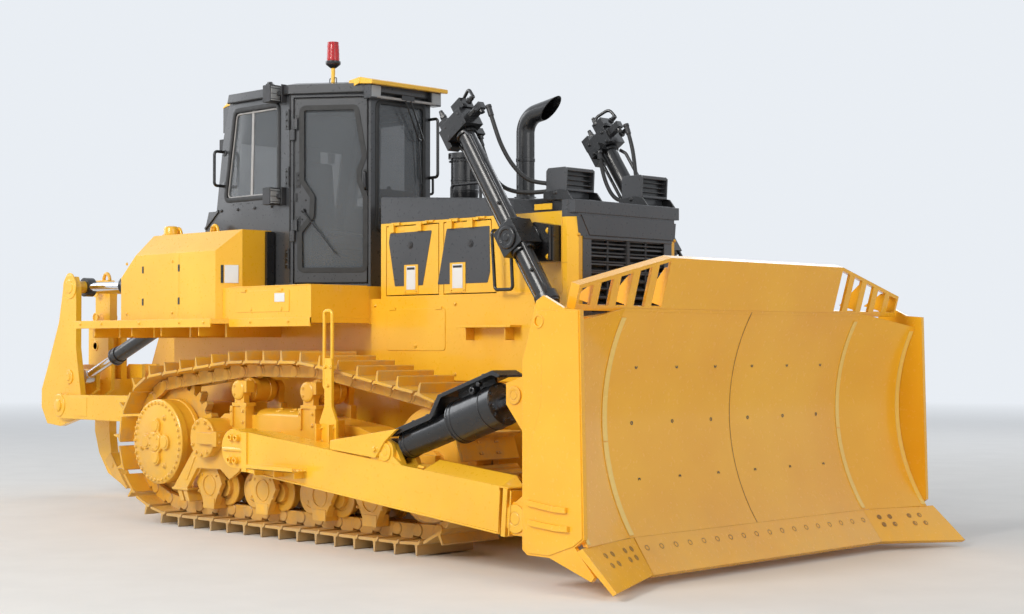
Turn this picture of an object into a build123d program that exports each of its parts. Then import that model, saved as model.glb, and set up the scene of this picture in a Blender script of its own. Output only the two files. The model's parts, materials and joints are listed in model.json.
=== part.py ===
"""Crawler bulldozer with a semi-U blade and a single-shank ripper.

Millimetres. +X points forward, +Y to the machine's left, +Z up. The origin lies on the ground,
under the middle of the overall box. The right side of the machine has negative Y.
"""
from build123d import *
import math
import os

os.makedirs("parts", exist_ok=True)

SIDES = (-1, 1)                     # right, left
SIDE_NAMES = {-1: "right", 1: "left"}
SEAT_GAP = 0.3                      # between curved faces that rest on each other
PIN_GAP = 0.06                      # radial clearance of a running pin
PLAY = 6.0                          # side clearance of parts that swing past each other

# ---------------------------------------------------------------- tracks
TRACK_PITCH = 228.6                 # nominal distance between two chain pins
TRACK_Y = 1070.0                    # middle of each track
SHOE_WIDTH = 560.0
SHOE_SHARE, RAIL_SHARE, GROUSER_SHARE = 0.46, 0.40, 0.30    # half shoe, half link, grouser, of a pitch
TOOTH_ROOT_SHARE, TOOTH_TIP_SHARE = 0.32, 0.14              # half widths of a sprocket tooth
GROUND_PIN_Z = 165.0                # chain pins on the ground run
SHOE_INNER_H = 60.0                 # heights above the pin line, outwards
SHOE_OUTER_H = 88.0
GROUSER_H = 165.0
GROUSER_BASE = 34.0
GROUSER_TIP = 20.0
RAIL_INNER_H = -52.0
RAIL_INNER_Y = 60.0                 # each chain rail, from the track's middle
RAIL_OUTER_Y = 105.0
SPROCKET_X, SPROCKET_Z, SPROCKET_PITCH_R = -1346.0, 700.0, 495.0
SPROCKET_TEETH = 27
SPROCKET_T = 70.0
TOOTH_TIP_OVER, TOOTH_ROOT_UNDER = 26.0, 40.0
IDLER_X, IDLER_Z, IDLER_PITCH_R = 1909.0, 635.0, 470.0
IDLER_WIDTH = 190.0
REAR_GROUND_X = -1180.0             # where the chain leaves the ground at the back
CARRIER_X = (-264.0, 628.0)
CARRIER_PIN_Z = 1315.0
CARRIER_SAG = 9.0                   # the links cut the corner over a carrier roller by up to this
CARRIER_END_R, CARRIER_END_Y = 55.0, 185.0
CARRIER_CAP_R = 78.0                # of the stand round the carrier's end
CARRIER_R = 95.0
CARRIER_LENGTH = 230.0
ROLLER_R = 134.0
ROLLER_COUNT = 7
ROLLER_FIRST_X, ROLLER_LAST_X = -880.0, 1310.0
ROLLER_LENGTH = 230.0
ROLLER_SHAFT_R, ROLLER_GROOVE = 50.0, 48.0  # between the two treads: shaft radius, half width
ROLLER_END_R, ROLLER_END_Y, ROLLER_SEAT_Y = 74.0, 160.0, 190.0
FRAME_HALF_WIDTH = 150.0            # track frame beam, from the track's middle
FRAME_TOP_Z, FRAME_BOTTOM_Z = 960.0, 500.0
FRAME_REAR_X, FRAME_FRONT_X = -790.0, 1600.0
FRAME_HEEL, FRAME_CHIN = (110.0, 120.0), (260.0, 160.0)     # corner cuts of the rear end: along X, then Z
FRAME_SLOPE_X, FRAME_SLOPE_DROPS = 420.0, (60.0, 170.0)     # the top falls towards the front end
CARRIER_STAND_X = (-90.0, 100.0)    # foot block of a carrier's stand: rear and front from the roller
CARRIER_STAND_H = (-200.0, 90.0)    # its heights from the frame's top
CARRIER_NECK_X = (-55.0, 70.0)      # the post over the foot block
CARRIER_STAND_Y = (150.0, 205.0)    # from the track's middle
ROLLER_BAR_Y = (-185.0, -145.0)     # bar behind the rollers, from the track's middle
ROLLER_BAR_Z, ROLLER_BAR_OVER = (330.0, 560.0), 60.0
BOGIE_X = (-633.0, 87.0, 807.0, 1400.0)
BOGIE_Y = (166.0, 230.0)            # from the track's middle
BOGIE_CAP_HALF = ((100.0, 520.0), (175.0, 385.0), (95.0, 255.0), (70.0, 185.0))     # half width, height
BOGIE_NECK_HALF, BOGIE_NECK_Z = 100.0, (500.0, 545.0)
BOGIE_EYE_Z, BOGIE_EYE_R, BOGIE_EYE_SINK = 367.0, 78.0, 22.0
IDLER_FLANGE_H, IDLER_FLANGE_PLAY = 38.0, 8.0       # middle flange over the rim, clear of the rails
IDLER_WEB_HALF, IDLER_DISH = 45.0, 90.0             # the dished faces leave this web and this rim
IDLER_BOSS_R, IDLER_BOSS_OUT = 120.0, 5.0
IDLER_FORK_Y = (110.0, 160.0)       # from the track's middle
IDLER_FORK_HALF, IDLER_FORK_BACK, IDLER_FORK_AHEAD = 90.0, 60.0, 130.0
IDLER_FRAME_GAP = 22.0              # between the idler's flange and the frame
PIVOT_X, PIVOT_Z, PIVOT_R, PIVOT_OUTER_Y = -538.0, 765.0, 160.0, 1425.0
TRUNNION_COLLAR_R, TRUNNION_COLLAR_Y = 120.0, 1410.0
SPROCKET_GUARD_Y = (1325.0, 1360.0)
SPROCKET_GUARD = (
    (-785.0, 640.0), (-1059.0, 330.0), (-867.0, 330.0), (-721.0, 507.0), (-394.0, 512.0), (-273.0, 435.0),
    (-135.0, 513.0), (-106.0, 640.0), (-430.0, 700.0),
)

# ---------------------------------------------------------------- final drives
HUB_R = 330.0
COVER_R = 362.0
COVER_Y = 1335.0                    # outer face of the cover
COVER_T = 45.0
COVER_LOBE_R, COVER_LOBE_RING_R, COVER_LOBE_T = 88.0, 125.0, 42.0
COVER_LOBE_LOW_T = 29.0             # the four outer lobes are lower than the middle one

# ---------------------------------------------------------------- hull
HULL_REAR_X = -2230.0
HULL_HALF_WIDTH = 560.0
HULL_BOTTOM_Z = 480.0
HULL_DECK_Z = 1690.0
HULL_FRONT_X = 2640.0
HULL_CHIN_Z, HULL_REAR_RAKE, HULL_FRONT_RAKE = 760.0, 260.0, 420.0      # the slanted ends of its belly
BAY_REAR_X = 573.0                  # engine bay side walls
BAY_HALF_WIDTH = 580.0
BAY_BOTTOM_Z = 1250.0
BAY_TOP_Z = 1895.0
BAY_WALL = 30.0
BAY_FLOOR_Z = 1500.0
DECK_TOP_Z = 2000.0                 # platform that carries the cab

# ---------------------------------------------------------------- hood
HOOD_REAR_X, HOOD_FRONT_X = 658.0, 2700.0
HOOD_HALF_WIDTH = 550.0
HOOD_REAR_TOP_Z, HOOD_FRONT_TOP_Z = 2711.0, 2578.0
HOOD_WALL = 28.0
HOOD_DOOR_Z = (1915.0, 2478.0)
HOOD_BAND_Z = 2500.0                # the hood's top cover starts here
NOSE_BAND_Z, NOSE_PANEL_HALF = 2450.0, 500.0    # the dark front panel, between and over the columns
HOOD_DOOR_EDGES = ((720.0, 1345.0), (1395.0, 1925.0))     # rear door, front door
HOOD_DOOR_SLANT = 55.0              # the front door's front edge leans back by this
HOOD_DOOR_T = 26.0
DOOR_GAP = 8.0
HOOD_HINGE_OUT, HOOD_HINGE_UP, HOOD_HINGE_R = 16.0, 4.0, 6.0     # hinge line from the door's top outer edge
HOOD_HINGE_RUN, HOOD_HINGE_INSET = 60.0, 90.0
HOOD_HINGE_LIP, HOOD_HINGE_LEAF = 15.0, 60.0
HOOD_KNUCKLE_T = 6.0
COLLAR_WIDE, COLLAR_UP, COLLAR_SINK = 20.0, 6.0, 20.0   # collars under the pipes and lamps
NOSE_FRONT_X = 2810.0
NOSE_HALF_WIDTH, NOSE_CORNER = 600.0, 60.0
NOSE_TOP_Z = 2575.0
NOSE_BOTTOM_Z = 1250.0
GRILLE_HALF_WIDTH = 460.0
GRILLE_Z = (1430.0, 2330.0)
LOUVRE_COUNT = 15
LOUVRE_T = 14.0
LOUVRE_DEPTH, LOUVRE_RISE, LOUVRE_SETBACK = 70.0, 20.0, 12.0
GRILLE_POST_HALF, GRILLE_POST_DEPTH = 22.0, 90.0
ENGINE = (760.0, 2380.0, 400.0, 2380.0)     # rear x, front x, half width, top z
EXHAUST_X, EXHAUST_R, EXHAUST_WALL = 1749.0, 72.0, 6.0
EXHAUST_BEND_Z, EXHAUST_BEND_R, EXHAUST_BEND_DEG = 3185.0, 150.0, 80.0
EXHAUST_TIP_RUN = 260.0
EXHAUST_CUT, EXHAUST_CUT_DEG = (265.0, 165.0), 45.0     # the slanted cut passes here, from the bend's start
PRECLEANER_X, PRECLEANER_R = 1062.0, 114.0
PRECLEANER_TOP_Z, PRECLEANER_LID_T, PRECLEANER_LID_OVER = 3080.0, 45.0, 22.0
PRECLEANER_NECK_R, PRECLEANER_NECK_H = 90.0, 60.0
LAMP_X, LAMP_Y, LAMP_FOOT_HALF = 2590.0, 420.0, 60.0
LAMP_SIZE = (150.0, 300.0, 190.0)

# ---------------------------------------------------------------- deck boxes
FENDER_Z, FENDER_T = 1700.0, 40.0
FENDER_REAR_X, FENDER_STEP_X, FENDER_FRONT_X = -2682.0, -548.0, BAY_REAR_X
FENDER_INNER_Y, FENDER_OUTER_Y, FENDER_STEP_Y = 600.0, 1350.0, 1210.0
FENDER_SKEW = 60.0                  # run of the slanted edge between the wide and the narrow part
FENDER_RIB_X = (-2622.0, -2190.0, -1645.0, -1100.0, -588.0)
FENDER_RIB_T, FENDER_RIB_DROP, FENDER_RIB_Y = 24.0, 110.0, 1170.0
DECK_GAP = 1.0                      # between pieces that stand side by side on the deck
TANK_INNER_Y, TANK_RIDGE_Y, TANK_OUTER_Y = 762.0, 1062.0, 1250.0
TANK_EDGE_Z, TANK_RIDGE_Z = 2310.0, 2490.0
TANK_REAR_X, TANK_BEND_X, TANK_FRONT_X = -2045.0, -628.0, -511.0
TANK_CUT_X, TANK_CUT_Z = -1815.0, 2117.0    # the rear outer corner is cut off
SIDE_BOX_OUTER_Y = 1200.0

# ---------------------------------------------------------------- cab
CAB_REAR_X, CAB_DOOR_REAR_X, CAB_FRONT_X = -1345.0, -291.0, 279.0
CAB_REAR_PROFILE = ((-1345.0, 2600.0), (-1330.0, 2715.0), (-1231.0, 3345.0), (-1120.0, 3705.0))
CAB_HALF_WIDTH, CAB_FRONT_HALF_WIDTH = 735.0, 335.0
CAB_FLOOR_Z, CAB_FLOOR_T = DECK_TOP_Z, 35.0
CAB_EAVES_Z = 3630.0
CAB_ROOF_T = 75.0
CAB_WALL = 50.0
CAB_WINDOW_Z = (2785.0, 3560.0)
SIDE_WINDOW_X = ((-1205.0, -445.0), (-1065.0, -445.0))      # rear and front of its sill, then of its top
REAR_WINDOW_Z = (2780.0, 3320.0)
REAR_WINDOW_HALF = 600.0
FRONT_WINDOW_Z = (2480.0, 3560.0)
FRONT_WINDOW_HALF = 265.0
CAB_WINDOW_R = 55.0
GLASS_T = 8.0
ROOF_OVERHANG = 28.0
CAB_DOOR_GAP, DOOR_T = 10.0, 46.0
CAB_DOOR_Z = (2045.0, 3590.0)
CAB_HINGE_RUN, CAB_HINGE_OUT, CAB_HINGE_R = 34.0, 18.0, 8.0
CAB_HINGE_Z = (2480.0, 3330.0)
CAB_HINGE_HEIGHT, CAB_HINGE_GAP = 90.0, 2.0
CAB_LEAF_DEPTH, CAB_LEAF_RUN, CAB_POST_LEAF = 40.0, 30.0, (6.0, 32.0)
CAB_KNUCKLE_T = 6.0
DOOR_RUN_GAPS = (4.0, 30.0)         # the door starts past its hinge line and ends before the corner
DOOR_STILE, DOOR_WINDOW_R, DOOR_GLASS_DEPTH = 45.0, 42.0, 20.0
DOOR_WINDOW = (                     # run along the door, height: waisted around the latch and the wiper
    (100.0, 3510.0), (570.0, 3510.0), (642.0, 3095.0), (596.0, 2975.0), (596.0, 2895.0), 2755.0, 2150.0,
    (88.0, 2150.0), (83.0, 2470.0), (188.0, 2600.0), (195.0, 2765.0), (102.0, 2900.0),
)                                   # single heights lie on the glass's front edge
OVERCUT = 5.0                       # cutting solids run past the wall by this
VISOR_X = (110.0, 170.0, 388.0)     # rear edge, fold, front edge
VISOR_HALF_WIDTH = 425.0
VISOR_DROP, VISOR_TIP, VISOR_RISE = 23.0, 9.0, 28.0     # heights from the roof's top
AIRCON_REAR_X, AIRCON_Z = -1481.0, (3420.0, 3735.0)
AIRCON_HALF_WIDTH, AIRCON_SLOPE, AIRCON_LAP = 560.0, (190.0, 90.0), 20.0
CAB_BASE = (                        # shelf behind the cab
    (-1500.0, 2000.0), (-1345.0, 2000.0), (-1345.0, 2600.0), (-1332.0, 2700.0), (-1450.0, 2700.0),
    (-1500.0, 2560.0),
)
SEAT_FOOT = (-820.0, -420.0, 180.0, 330.0)      # rear x, front x, half width, height over the floor
SEAT_CUSHION = (-900.0, -360.0, 260.0, 470.0)
SEAT_BACK = ((-900.0, 470.0), (-780.0, 470.0), (-880.0, 1130.0), (-970.0, 1130.0))     # x, height
SEAT_BACK_HALF = 240.0
CONSOLE = ((80.0, 0.0), (215.0, 0.0), (215.0, 640.0), (120.0, 640.0))                   # x, height
CONSOLE_HALF = 230.0
ARMBOX_X, ARMBOX_Y, ARMBOX_H = (-820.0, -330.0), (330.0, 470.0), 620.0
RAIL_R, RAIL_BEND, RAIL_REACH = 13.0, 30.0, 110.0
CAB_RAIL_X, CAB_RAIL_Z = -1215.0, (2915.0, 3215.0)
FRONT_RAIL_Y, FRONT_RAIL_Z = 322.0, (2960.0, 3460.0)
HOOD_RAIL_X, HOOD_RAIL_Y, HOOD_RAIL_Z = (2040.0, 2235.0), 660.0, (1935.0, 2380.0)
HOOD_RAIL_DROP, HOOD_RAIL_LEAN = 60.0, (35.0, 25.0)     # its front leg is lower; the legs lean forward
HOOD_TOP_RAIL_X, HOOD_TOP_RAIL_Y, HOOD_TOP_RAIL_UP = (1170.0, 1500.0), -250.0, 90.0
HANDLE_X, HANDLE_Y, HANDLE_T = 1088.0, 1425.0, 24.0
HANDLE_HALF, HANDLE_WIDE, HANDLE_BEND = 42.0, 98.0, 30.0
HANDLE_Z = (760.0, 950.0, 1425.0, 1783.0)   # foot, shoulder, plate top, loop top
HANDLE_NECK, HANDLE_FOOT_H, HANDLE_RIB_T = 110.0, 70.0, 20.0
HANDLE_LOOP_X = (34.0, -58.0, -20.0)        # front leg, rear leg, rear leg's end, from the middle
HANDLE_LOOP_DOWN = (10.0, 210.0, 250.0)     # their low ends, from the plate's top
BEACON_X, BEACON_Y, BEACON_HEIGHT = -75.0, -450.0, 370.0
BEACON_LENS_H, BEACON_CONE_H = 165.0, 25.0
BEACON_POLE_R, BEACON_CONE_R, BEACON_LENS_R = 16.0, 60.0, 48.0

# ---------------------------------------------------------------- push arms and blade
TRUNNION_X, TRUNNION_Z = 189.0, 720.0
ARM_INNER_Y, ARM_OUTER_Y = 1470.0, 1715.0
ARM_REAR_X, ARM_REAR_Z = 449.0, (551.0, 855.0)
ARM_FRONT_X, ARM_FRONT_Z = 3180.0, (286.0, 600.0)
ARM_FLANGE_T, ARM_FLANGE_RIM = 63.0, 13.0   # bolted flange at the arm's rear end
SOCKET_R, SOCKET_OUTER_Y = 150.0, 1660.0
SOCKET_ROOT_Z = (566.0, 834.0)              # where the socket meets the flange
TRUNNION_R, TRUNNION_BOTTOM = 78.0, 38.0    # the bore stops this far below the socket's outer face
TRUNNION_END_GAP = 2.0
BLADE_PIN_X, BLADE_PIN_Z, BLADE_PIN_R = 3315.0, 396.0, 45.0
ARM_EYE_R, ARM_EYE_ROOT = 118.0, 120.0
ARM_EYE_Y = (1530.0, 1650.0)
EAR_T = 42.0
ARM_EAR = (                         # from the rear tilt pin
    (-260.0, -100.0), (150.0, -100.0), (60.0, 40.0), (-20.0, 72.0), (-70.0, 50.0),
)
TILT_REAR_X, TILT_REAR_Z = 2042.0, 790.0
TILT_FRONT_X, TILT_FRONT_Z = 3289.0, 1196.0
TILT_Y = 1590.0
TILT_BARREL_R, TILT_ROD_R, TILT_EYE_R, TILT_EYE_W = 100.0, 48.0, 78.0, 88.0
TILT_HEAD_R = 148.0                 # the barrel's thick front part
TILT_HEAD_START, TILT_BARREL_END = 690.0, 1110.0        # from the rear pin
TILT_COVER_HALF = 112.0
TILT_NECK = (20.0, 150.0, 50.0)     # between eye and barrel: start, end, half height
TILT_TUBE_START, TILT_BORE_START = 125.0, 200.0
TILT_RIB_HALF = 12.0                # ribs between the cylinder and its guard plate
TILT_RIBS = ((200.0, 500.0, 80.0, 90.0), (720.0, 1090.0, 128.0, 190.0))     # start, end, low, high
ROD_EYE_LAP = 40.0                  # a rod ends inside its eye
TILT_COVER = (                      # guard plate over the cylinder: distance from the rear pin, height
    (75, 72), (75, 113), (507, 113), (625, 211), (1180, 212), (1240, 160), (1215, 152), (1160, 186),
    (650, 186),
    (530, 88), (500, 72),
)
TILT_PIN_R = 34.0
ROD_GAP = 0.3                       # radial, between a rod and its barrel

BIT_TIP_X, BIT_TIP_Y, BIT_TIP_Z = 4442.0, 1993.0, 35.0
BIT_TOP_X = 4165.0
MOLD_TOP_X, MOLD_TOP_Z = 3952.0, 1760.0
MOLD_MID_X, MOLD_MID_Z = 3746.0, 1025.0
MOLD_BOTTOM_X, MOLD_BOTTOM_Z = 3987.0, 296.0
MOLD_T = 40.0
WING_KINK_Y = 1345.0
WING_TOE_DEG = 16.0
WING_DROP = 100.0                   # the wing's top edge falls towards the end plate
END_PLATE_Y, END_PLATE_T = 1925.0, 32.0
END_PLATE = (                       # outline from the rear lower corner, forwards
    (3625.0, 245.0), (3668.0, 213.0), (3858.0, 211.0), (4205.0, 95.0), (4232.0, 125.0), (4070.0, 290.0),
    (4148.0, 345.0), (4116.0, 1738.0), (3985.0, 1748.0), (3808.0, 1832.0), (3748.0, 1800.0),
    (3661.0, 1523.0),
    (3625.0, 1429.0),
)
EDGE_X, EDGE_Z, EDGE_T = 4150.0, 73.0, 38.0
EDGE_HALF_WIDTH = 1305.0
GUARD_TOP_Z, GUARD_T = 2091.0, 22.0
GUARD_LEAN_DEG = 16.0
GUARD_SOLID_Y, GUARD_END_Y, GUARD_END_Z = 985.0, 1815.0, 1895.0
GUARD_SLOTS = 5
GUARD_RIM, GUARD_BAR = 22.0, 68.0   # rim thickness, bar width
GUARD_RIM_DEPTH = 74.0
GUARD_SILL, GUARD_SINK, GUARD_SETBACK = 14.0, 22.0, 5.0
LIFT_HOLE_X, LIFT_HOLE_Z, LIFT_HOLE_R = 3775.0, 1672.0, 24.0
BIT_INNER_GAP, BIT_TIP_T = 3.0, 18.0
BIT_INNER_BACK = ((40.0, 22.0), (50.0, 25.0))       # thickness at the low and the high edge: along X, then Z
BIT_OUTER_BACK = (30.0, 45.0)
FRAME_LAP = 3.0                     # frame plates run into the moldboard's back before it trims them
BLADE_BEAMS = (                     # rear low, rear high, front low, front high, then x of the rear
    (1400.0, 1640.0, 1400.0, 1740.0, 3700.0), (620.0, 800.0, 620.0, 800.0, 3480.0),
)
BLADE_RIB = ((3700.0, 1640.0), (3600.0, 1300.0), (3540.0, 900.0), (3560.0, 300.0))     # rear edge
BLADE_RIB_Y, BLADE_RIB_T = (200.0, 560.0, 1250.0), 30.0
BLADE_RIB_FRONT_Z = (300.0, 1740.0)
PIN_EAR_R, PIN_EAR_X = 110.0, 3600.0
PIN_EAR_FRONT_Z = (300.0, 700.0)
TILT_EAR = ((-80.0, -60.0), (-80.0, 80.0))          # from the front tilt pin
TILT_EAR_FRONT = ((3500.0, 800.0), (3700.0, 1400.0))
LIFT_EAR = ((-90.0, -70.0), (-60.0, 90.0))          # from the lift eye
LIFT_EAR_FRONT = (3500.0, 640.0, 1150.0)

# ---------------------------------------------------------------- lift cylinders
YOKE_X, YOKE_Z, LIFT_Y = 2444.0, 2298.0, 800.0
LIFT_EYE_X, LIFT_EYE_Z = 3338.0, 960.0
LIFT_BARREL_R, LIFT_ROD_R = 68.0, 45.0
LIFT_BARREL_UP, LIFT_BARREL_DOWN = 990.0, 571.0
LIFT_GLAND_T, LIFT_GLAND_RUN, LIFT_BORE_INSET = 16.0, 60.0, 180.0
LIFT_ROD_INNER = 60.0               # the rod's inner end, below the yoke
LIFT_HEAD = (-1115.0, -970.0, -118.0, 120.0)    # valve block: along and across the barrel
LIFT_HEAD_Y = (-85.0, 95.0)         # across the machine, from the cylinder's middle, outwards positive
LIFT_EYE_R, LIFT_EYE_W = 82.0, 96.0
YOKE_HALF = 105.0
YOKE_PIN_R = 48.0
YOKE_PIN_INSET, YOKE_GAP = 50.0, 15.0       # the pin's end in from the hood; the bearing's face to the yoke
YOKE_BRACKET = (                    # from the pin
    (-120.0, -170.0), (240.0, -170.0), (240.0, 90.0), (60.0, 120.0), (-120.0, 100.0),
)
YOKE_BOTTOM = 5.0
HOSE_R = 16.0
HOSE_BEND_SHARE = 0.45              # of the shorter run beside a bend
ELBOW_HALF, ELBOW_STUB, ELBOW_STUB_R = 28.0, 50.0, 22.0
ELBOWS = ((-1055.0, 210.0, 775.0), (-970.0, 20.0, 675.0))       # along, across, y
HOSE_TAILS = (                      # x, y, z on the left side, from each elbow to short of the hood's fittings
    ((2100.0, 768.0, 3150.0), (2150.0, 748.0, 3010.0), (2215.0, 705.0, 2880.0), (2300.0, 650.0, 2770.0),
     (2400.0, 595.0, 2712.0), (2500.0, 548.0, 2706.0)),
    ((1960.0, 655.0, 2980.0), (2005.0, 645.0, 2850.0), (2080.0, 635.0, 2745.0), (2180.0, 610.0, 2678.0),
     (2290.0, 580.0, 2652.0), (2400.0, 555.0, 2648.0), (2490.0, 535.0, 2652.0)),
)

# ---------------------------------------------------------------- ripper
RIP_HULL_X, RIP_LOW_Z = -2330.0, 930.0
RIP_LENGTH = 1631.0                 # hull pin to frame pin, the same for arm and tip cylinders
RIP_TOP_HULL_X, RIP_TOP_Z = -2280.0, 2100.0
RIP_LIFT_HULL_X, RIP_LIFT_HULL_Z = -2330.0, 1815.0
RIP_LIFT_EYE_X, RIP_LIFT_EYE_Z = -3921.0, 1210.0
RIP_PLATE_Y = (580.0, 640.0)
RIP_ARM_Y = (648.0, 728.0)
RIP_CYL_Y = 440.0
RIP_BARREL_R, RIP_ROD_R, RIP_EYE_R, RIP_EYE_W = 72.0, 42.0, 74.0, 90.0
RIP_PIN_R, RIP_BASE_PIN_R, RIP_TOP_TUBE_R = 40.0, 56.0, 60.0
RIP_EAR_REACH = RIP_BARREL_R + PLAY # from a cylinder's middle to the ears beside it
RIP_BRACKET = (                     # plates on the hull's rear: x, z
    (-2230.0, 1700.0), (-2410.0, 1730.0), (-2410.0, 1900.0), (-2370.0, 2010.0), (-2370.0, 2190.0),
    (-2190.0, 2190.0),
    (-2070.0, 2000.0), (-2230.0, 2000.0),
)
RIP_FOOT = (-105.0, -120.0, 150.0)  # block at the arm's hull pin: rear, low and high from the pin
RIP_FOOT_Y, RIP_BASE_PIN_OUT, RIP_PIN_OUT = (440.0, 560.0), 12.0, 10.0
RIP_ARM_H = (125.0, 125.0, 105.0)   # half height at the hull, then below and above the frame pin
RIP_ARM_EYE_R, RIP_ARM_BOSS_R = 125.0, 120.0
RIP_ARM_BEAM = (-620.0, -420.0, 90.0)       # rear and front from the hull pin, half height
RIP_PLATE_TOP = (60.0, 110.0, 130.0, 100.0) # round the top pin: top, front and rear reach, rise
RIP_PLATE_FRONT = (
    (-3800.0, 1500.0), (-3702.0, 1000.0), (-3760.0, 800.0), (-4080.0, 720.0), (-4330.0, 740.0),
)
RIP_PLATE_REAR = ((-4442.0, 900.0), (-4442.0, 1080.0), (-4330.0, 1300.0), (-4120.0, 1750.0))
RIP_WEB_Y = ((160.0, 200.0), (330.0, 370.0))
RIP_WEB = ((-4380.0, 860.0), (-3860.0, 1080.0), (-3860.0, 1330.0), (-4100.0, 1330.0), (-4380.0, 1150.0))
RIP_BACK_X, RIP_BACK_Z = (-4442.0, -4412.0), (760.0, 1180.0)
RIP_WALL_X, RIP_WALL_Z = (-4140.0, -4060.0), (800.0, 1180.0)
RIP_GUIDE_X, RIP_GUIDE_Y, RIP_GUIDE_Z = (-4430.0, -4060.0), (45.0, 110.0), (760.0, 1700.0)
RIP_TIP_BARREL_END, RIP_LIFT_BARREL_END = 960.0, 1150.0
RIP_BARREL_START, RIP_BORE_START, RIP_ROD_START = 60.0, 180.0, 620.0
RIP_TOP_EYE_R = 94.0
SHANK_T = 85.0
SHANK_X = (-4412.0, -4142.0)
SHANK_TOP_Z, SHANK_TIP_X, SHANK_TIP_Z = 2190.0, -3811.0, 80.0
SHANK_LOW_Z, SHANK_TOP_CUT = 640.0, (60.0, 40.0)
SHANK_REAR, SHANK_FRONT = ((-4330.0, 420.0), (-4160.0, 220.0)), ((-3960.0, 260.0), (-4100.0, 420.0))

# ---------------------------------------------------------------- helpers
def prism(points, y_low, y_high, mode=Mode.ADD):
    """A polygon drawn in X and Z, between two Y planes."""
    with BuildSketch(Plane.XZ.offset(-y_high)) as outline:
        with BuildLine():
            Polyline(*points, close=True)
        make_face()
    extrude(outline.sketch, amount=y_high - y_low, mode=mode)


def slab(points, z_low, z_high, mode=Mode.ADD):
    """A polygon drawn in X and Y, between two heights."""
    with BuildSketch(Plane.XY.offset(z_low)) as outline:
        with BuildLine():
            Polyline(*points, close=True)
        make_face()
    extrude(outline.sketch, amount=z_high - z_low, mode=mode)


def frontal(points, x_low, x_high, mode=Mode.ADD):
    """A polygon drawn in Y and Z, between two X planes."""
    with BuildSketch(Plane.YZ.offset(x_low)) as outline:
        with BuildLine():
            Polyline(*points, close=True)
        make_face()
    extrude(outline.sketch, amount=x_high - x_low, mode=mode)


def block(x_range, y_range, z_range, mode=Mode.ADD):
    """A box between three pairs of planes."""
    size = [abs(pair[1] - pair[0]) for pair in (x_range, y_range, z_range)]
    middle = [(pair[1] + pair[0]) / 2 for pair in (x_range, y_range, z_range)]
    with Locations(tuple(middle)):
        Box(*size, mode=mode)


def disc(x, z, radius, y_low, y_high, mode=Mode.ADD):
    """A cylinder along Y."""
    with Locations(Location((x, (y_low + y_high) / 2, z), (90, 0, 0))):
        Cylinder(radius, y_high - y_low, mode=mode)


def post(x, y, radius, z_low, z_high, mode=Mode.ADD):
    """A cylinder along Z."""
    with Locations((x, y, (z_low + z_high) / 2)):
        Cylinder(radius, z_high - z_low, mode=mode)


def along_x(x_low, x_high, y, z, radius, mode=Mode.ADD):
    """A cylinder along X."""
    with Locations(Location(((x_low + x_high) / 2, y, z), (0, 90, 0))):
        Cylinder(radius, x_high - x_low, mode=mode)


def along(start, direction, y, first, last, radius, mode=Mode.ADD):
    """A cylinder in a plane of constant Y, from one distance to another along a direction."""
    plane = Plane(origin=(start[0], y, start[1]), x_dir=(0, 1, 0), z_dir=(direction[0], 0, direction[1]))
    with BuildSketch(plane.offset(first)) as ring:
        Circle(radius)
    extrude(ring.sketch, amount=last - first, mode=mode)


def bar_between(start, direction, y_low, y_high, first, last, low, high, mode=Mode.ADD):
    """A box whose length follows a direction in X and Z; low and high are heights across it."""
    normal = (-direction[1], direction[0])
    corners = [
        (start[0] + direction[0] * s + normal[0] * h, start[1] + direction[1] * s + normal[1] * h)
        for s, h in ((first, low), (last, low), (last, high), (first, high))
    ]
    prism(corners, y_low, y_high, mode)


def unit(start, end):
    length = math.dist(start, end)
    return ((end[0] - start[0]) / length, (end[1] - start[1]) / length)


def span(side, inner, outer):
    """The Y range on one side of the machine, low value first."""
    return tuple(sorted((side * inner, side * outer)))


def save(name, part):
    part.label = name
    export_step(part, f"parts/{name}.step")


# ---------------------------------------------------------------- chain line
def tangent_point(point, centre, radius, turn):
    """Where the line from a point touches a circle, on the side that turn picks."""
    reach = math.dist(point, centre)
    bearing = math.atan2(point[1] - centre[1], point[0] - centre[0])
    angle = bearing + turn * math.acos(radius / reach)
    return (centre[0] + radius * math.cos(angle), centre[1] + radius * math.sin(angle))


idler_centre = (IDLER_X, IDLER_Z)
sprocket_centre = (SPROCKET_X, SPROCKET_Z)
ground_rear = (REAR_GROUND_X, GROUND_PIN_Z)
ground_front = (IDLER_X, IDLER_Z - IDLER_PITCH_R)
idler_top = tangent_point((CARRIER_X[1], CARRIER_PIN_Z), idler_centre, IDLER_PITCH_R, -1)
sprocket_top = tangent_point((CARRIER_X[0], CARRIER_PIN_Z), sprocket_centre, SPROCKET_PITCH_R, 1)
sprocket_low = tangent_point(ground_rear, sprocket_centre, SPROCKET_PITCH_R, -1)

with BuildLine() as chain:
    Line(ground_rear, ground_front)
    ThreePointArc(ground_front, (IDLER_X + IDLER_PITCH_R, IDLER_Z), idler_top)
    Line(idler_top, (CARRIER_X[1], CARRIER_PIN_Z))
    Line((CARRIER_X[1], CARRIER_PIN_Z), (CARRIER_X[0], CARRIER_PIN_Z))
    Line((CARRIER_X[0], CARRIER_PIN_Z), sprocket_top)
    ThreePointArc(sprocket_top, (SPROCKET_X - SPROCKET_PITCH_R, SPROCKET_Z), sprocket_low)
    Line(sprocket_low, ground_rear)

chain_line = chain.wires()[0]
LINK_COUNT = round(chain_line.length / TRACK_PITCH)
link_step = chain_line.length / LINK_COUNT


def pin_position(index):
    where = chain_line.position_at((index % LINK_COUNT) / LINK_COUNT)
    return (where.X, where.Y)


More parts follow.
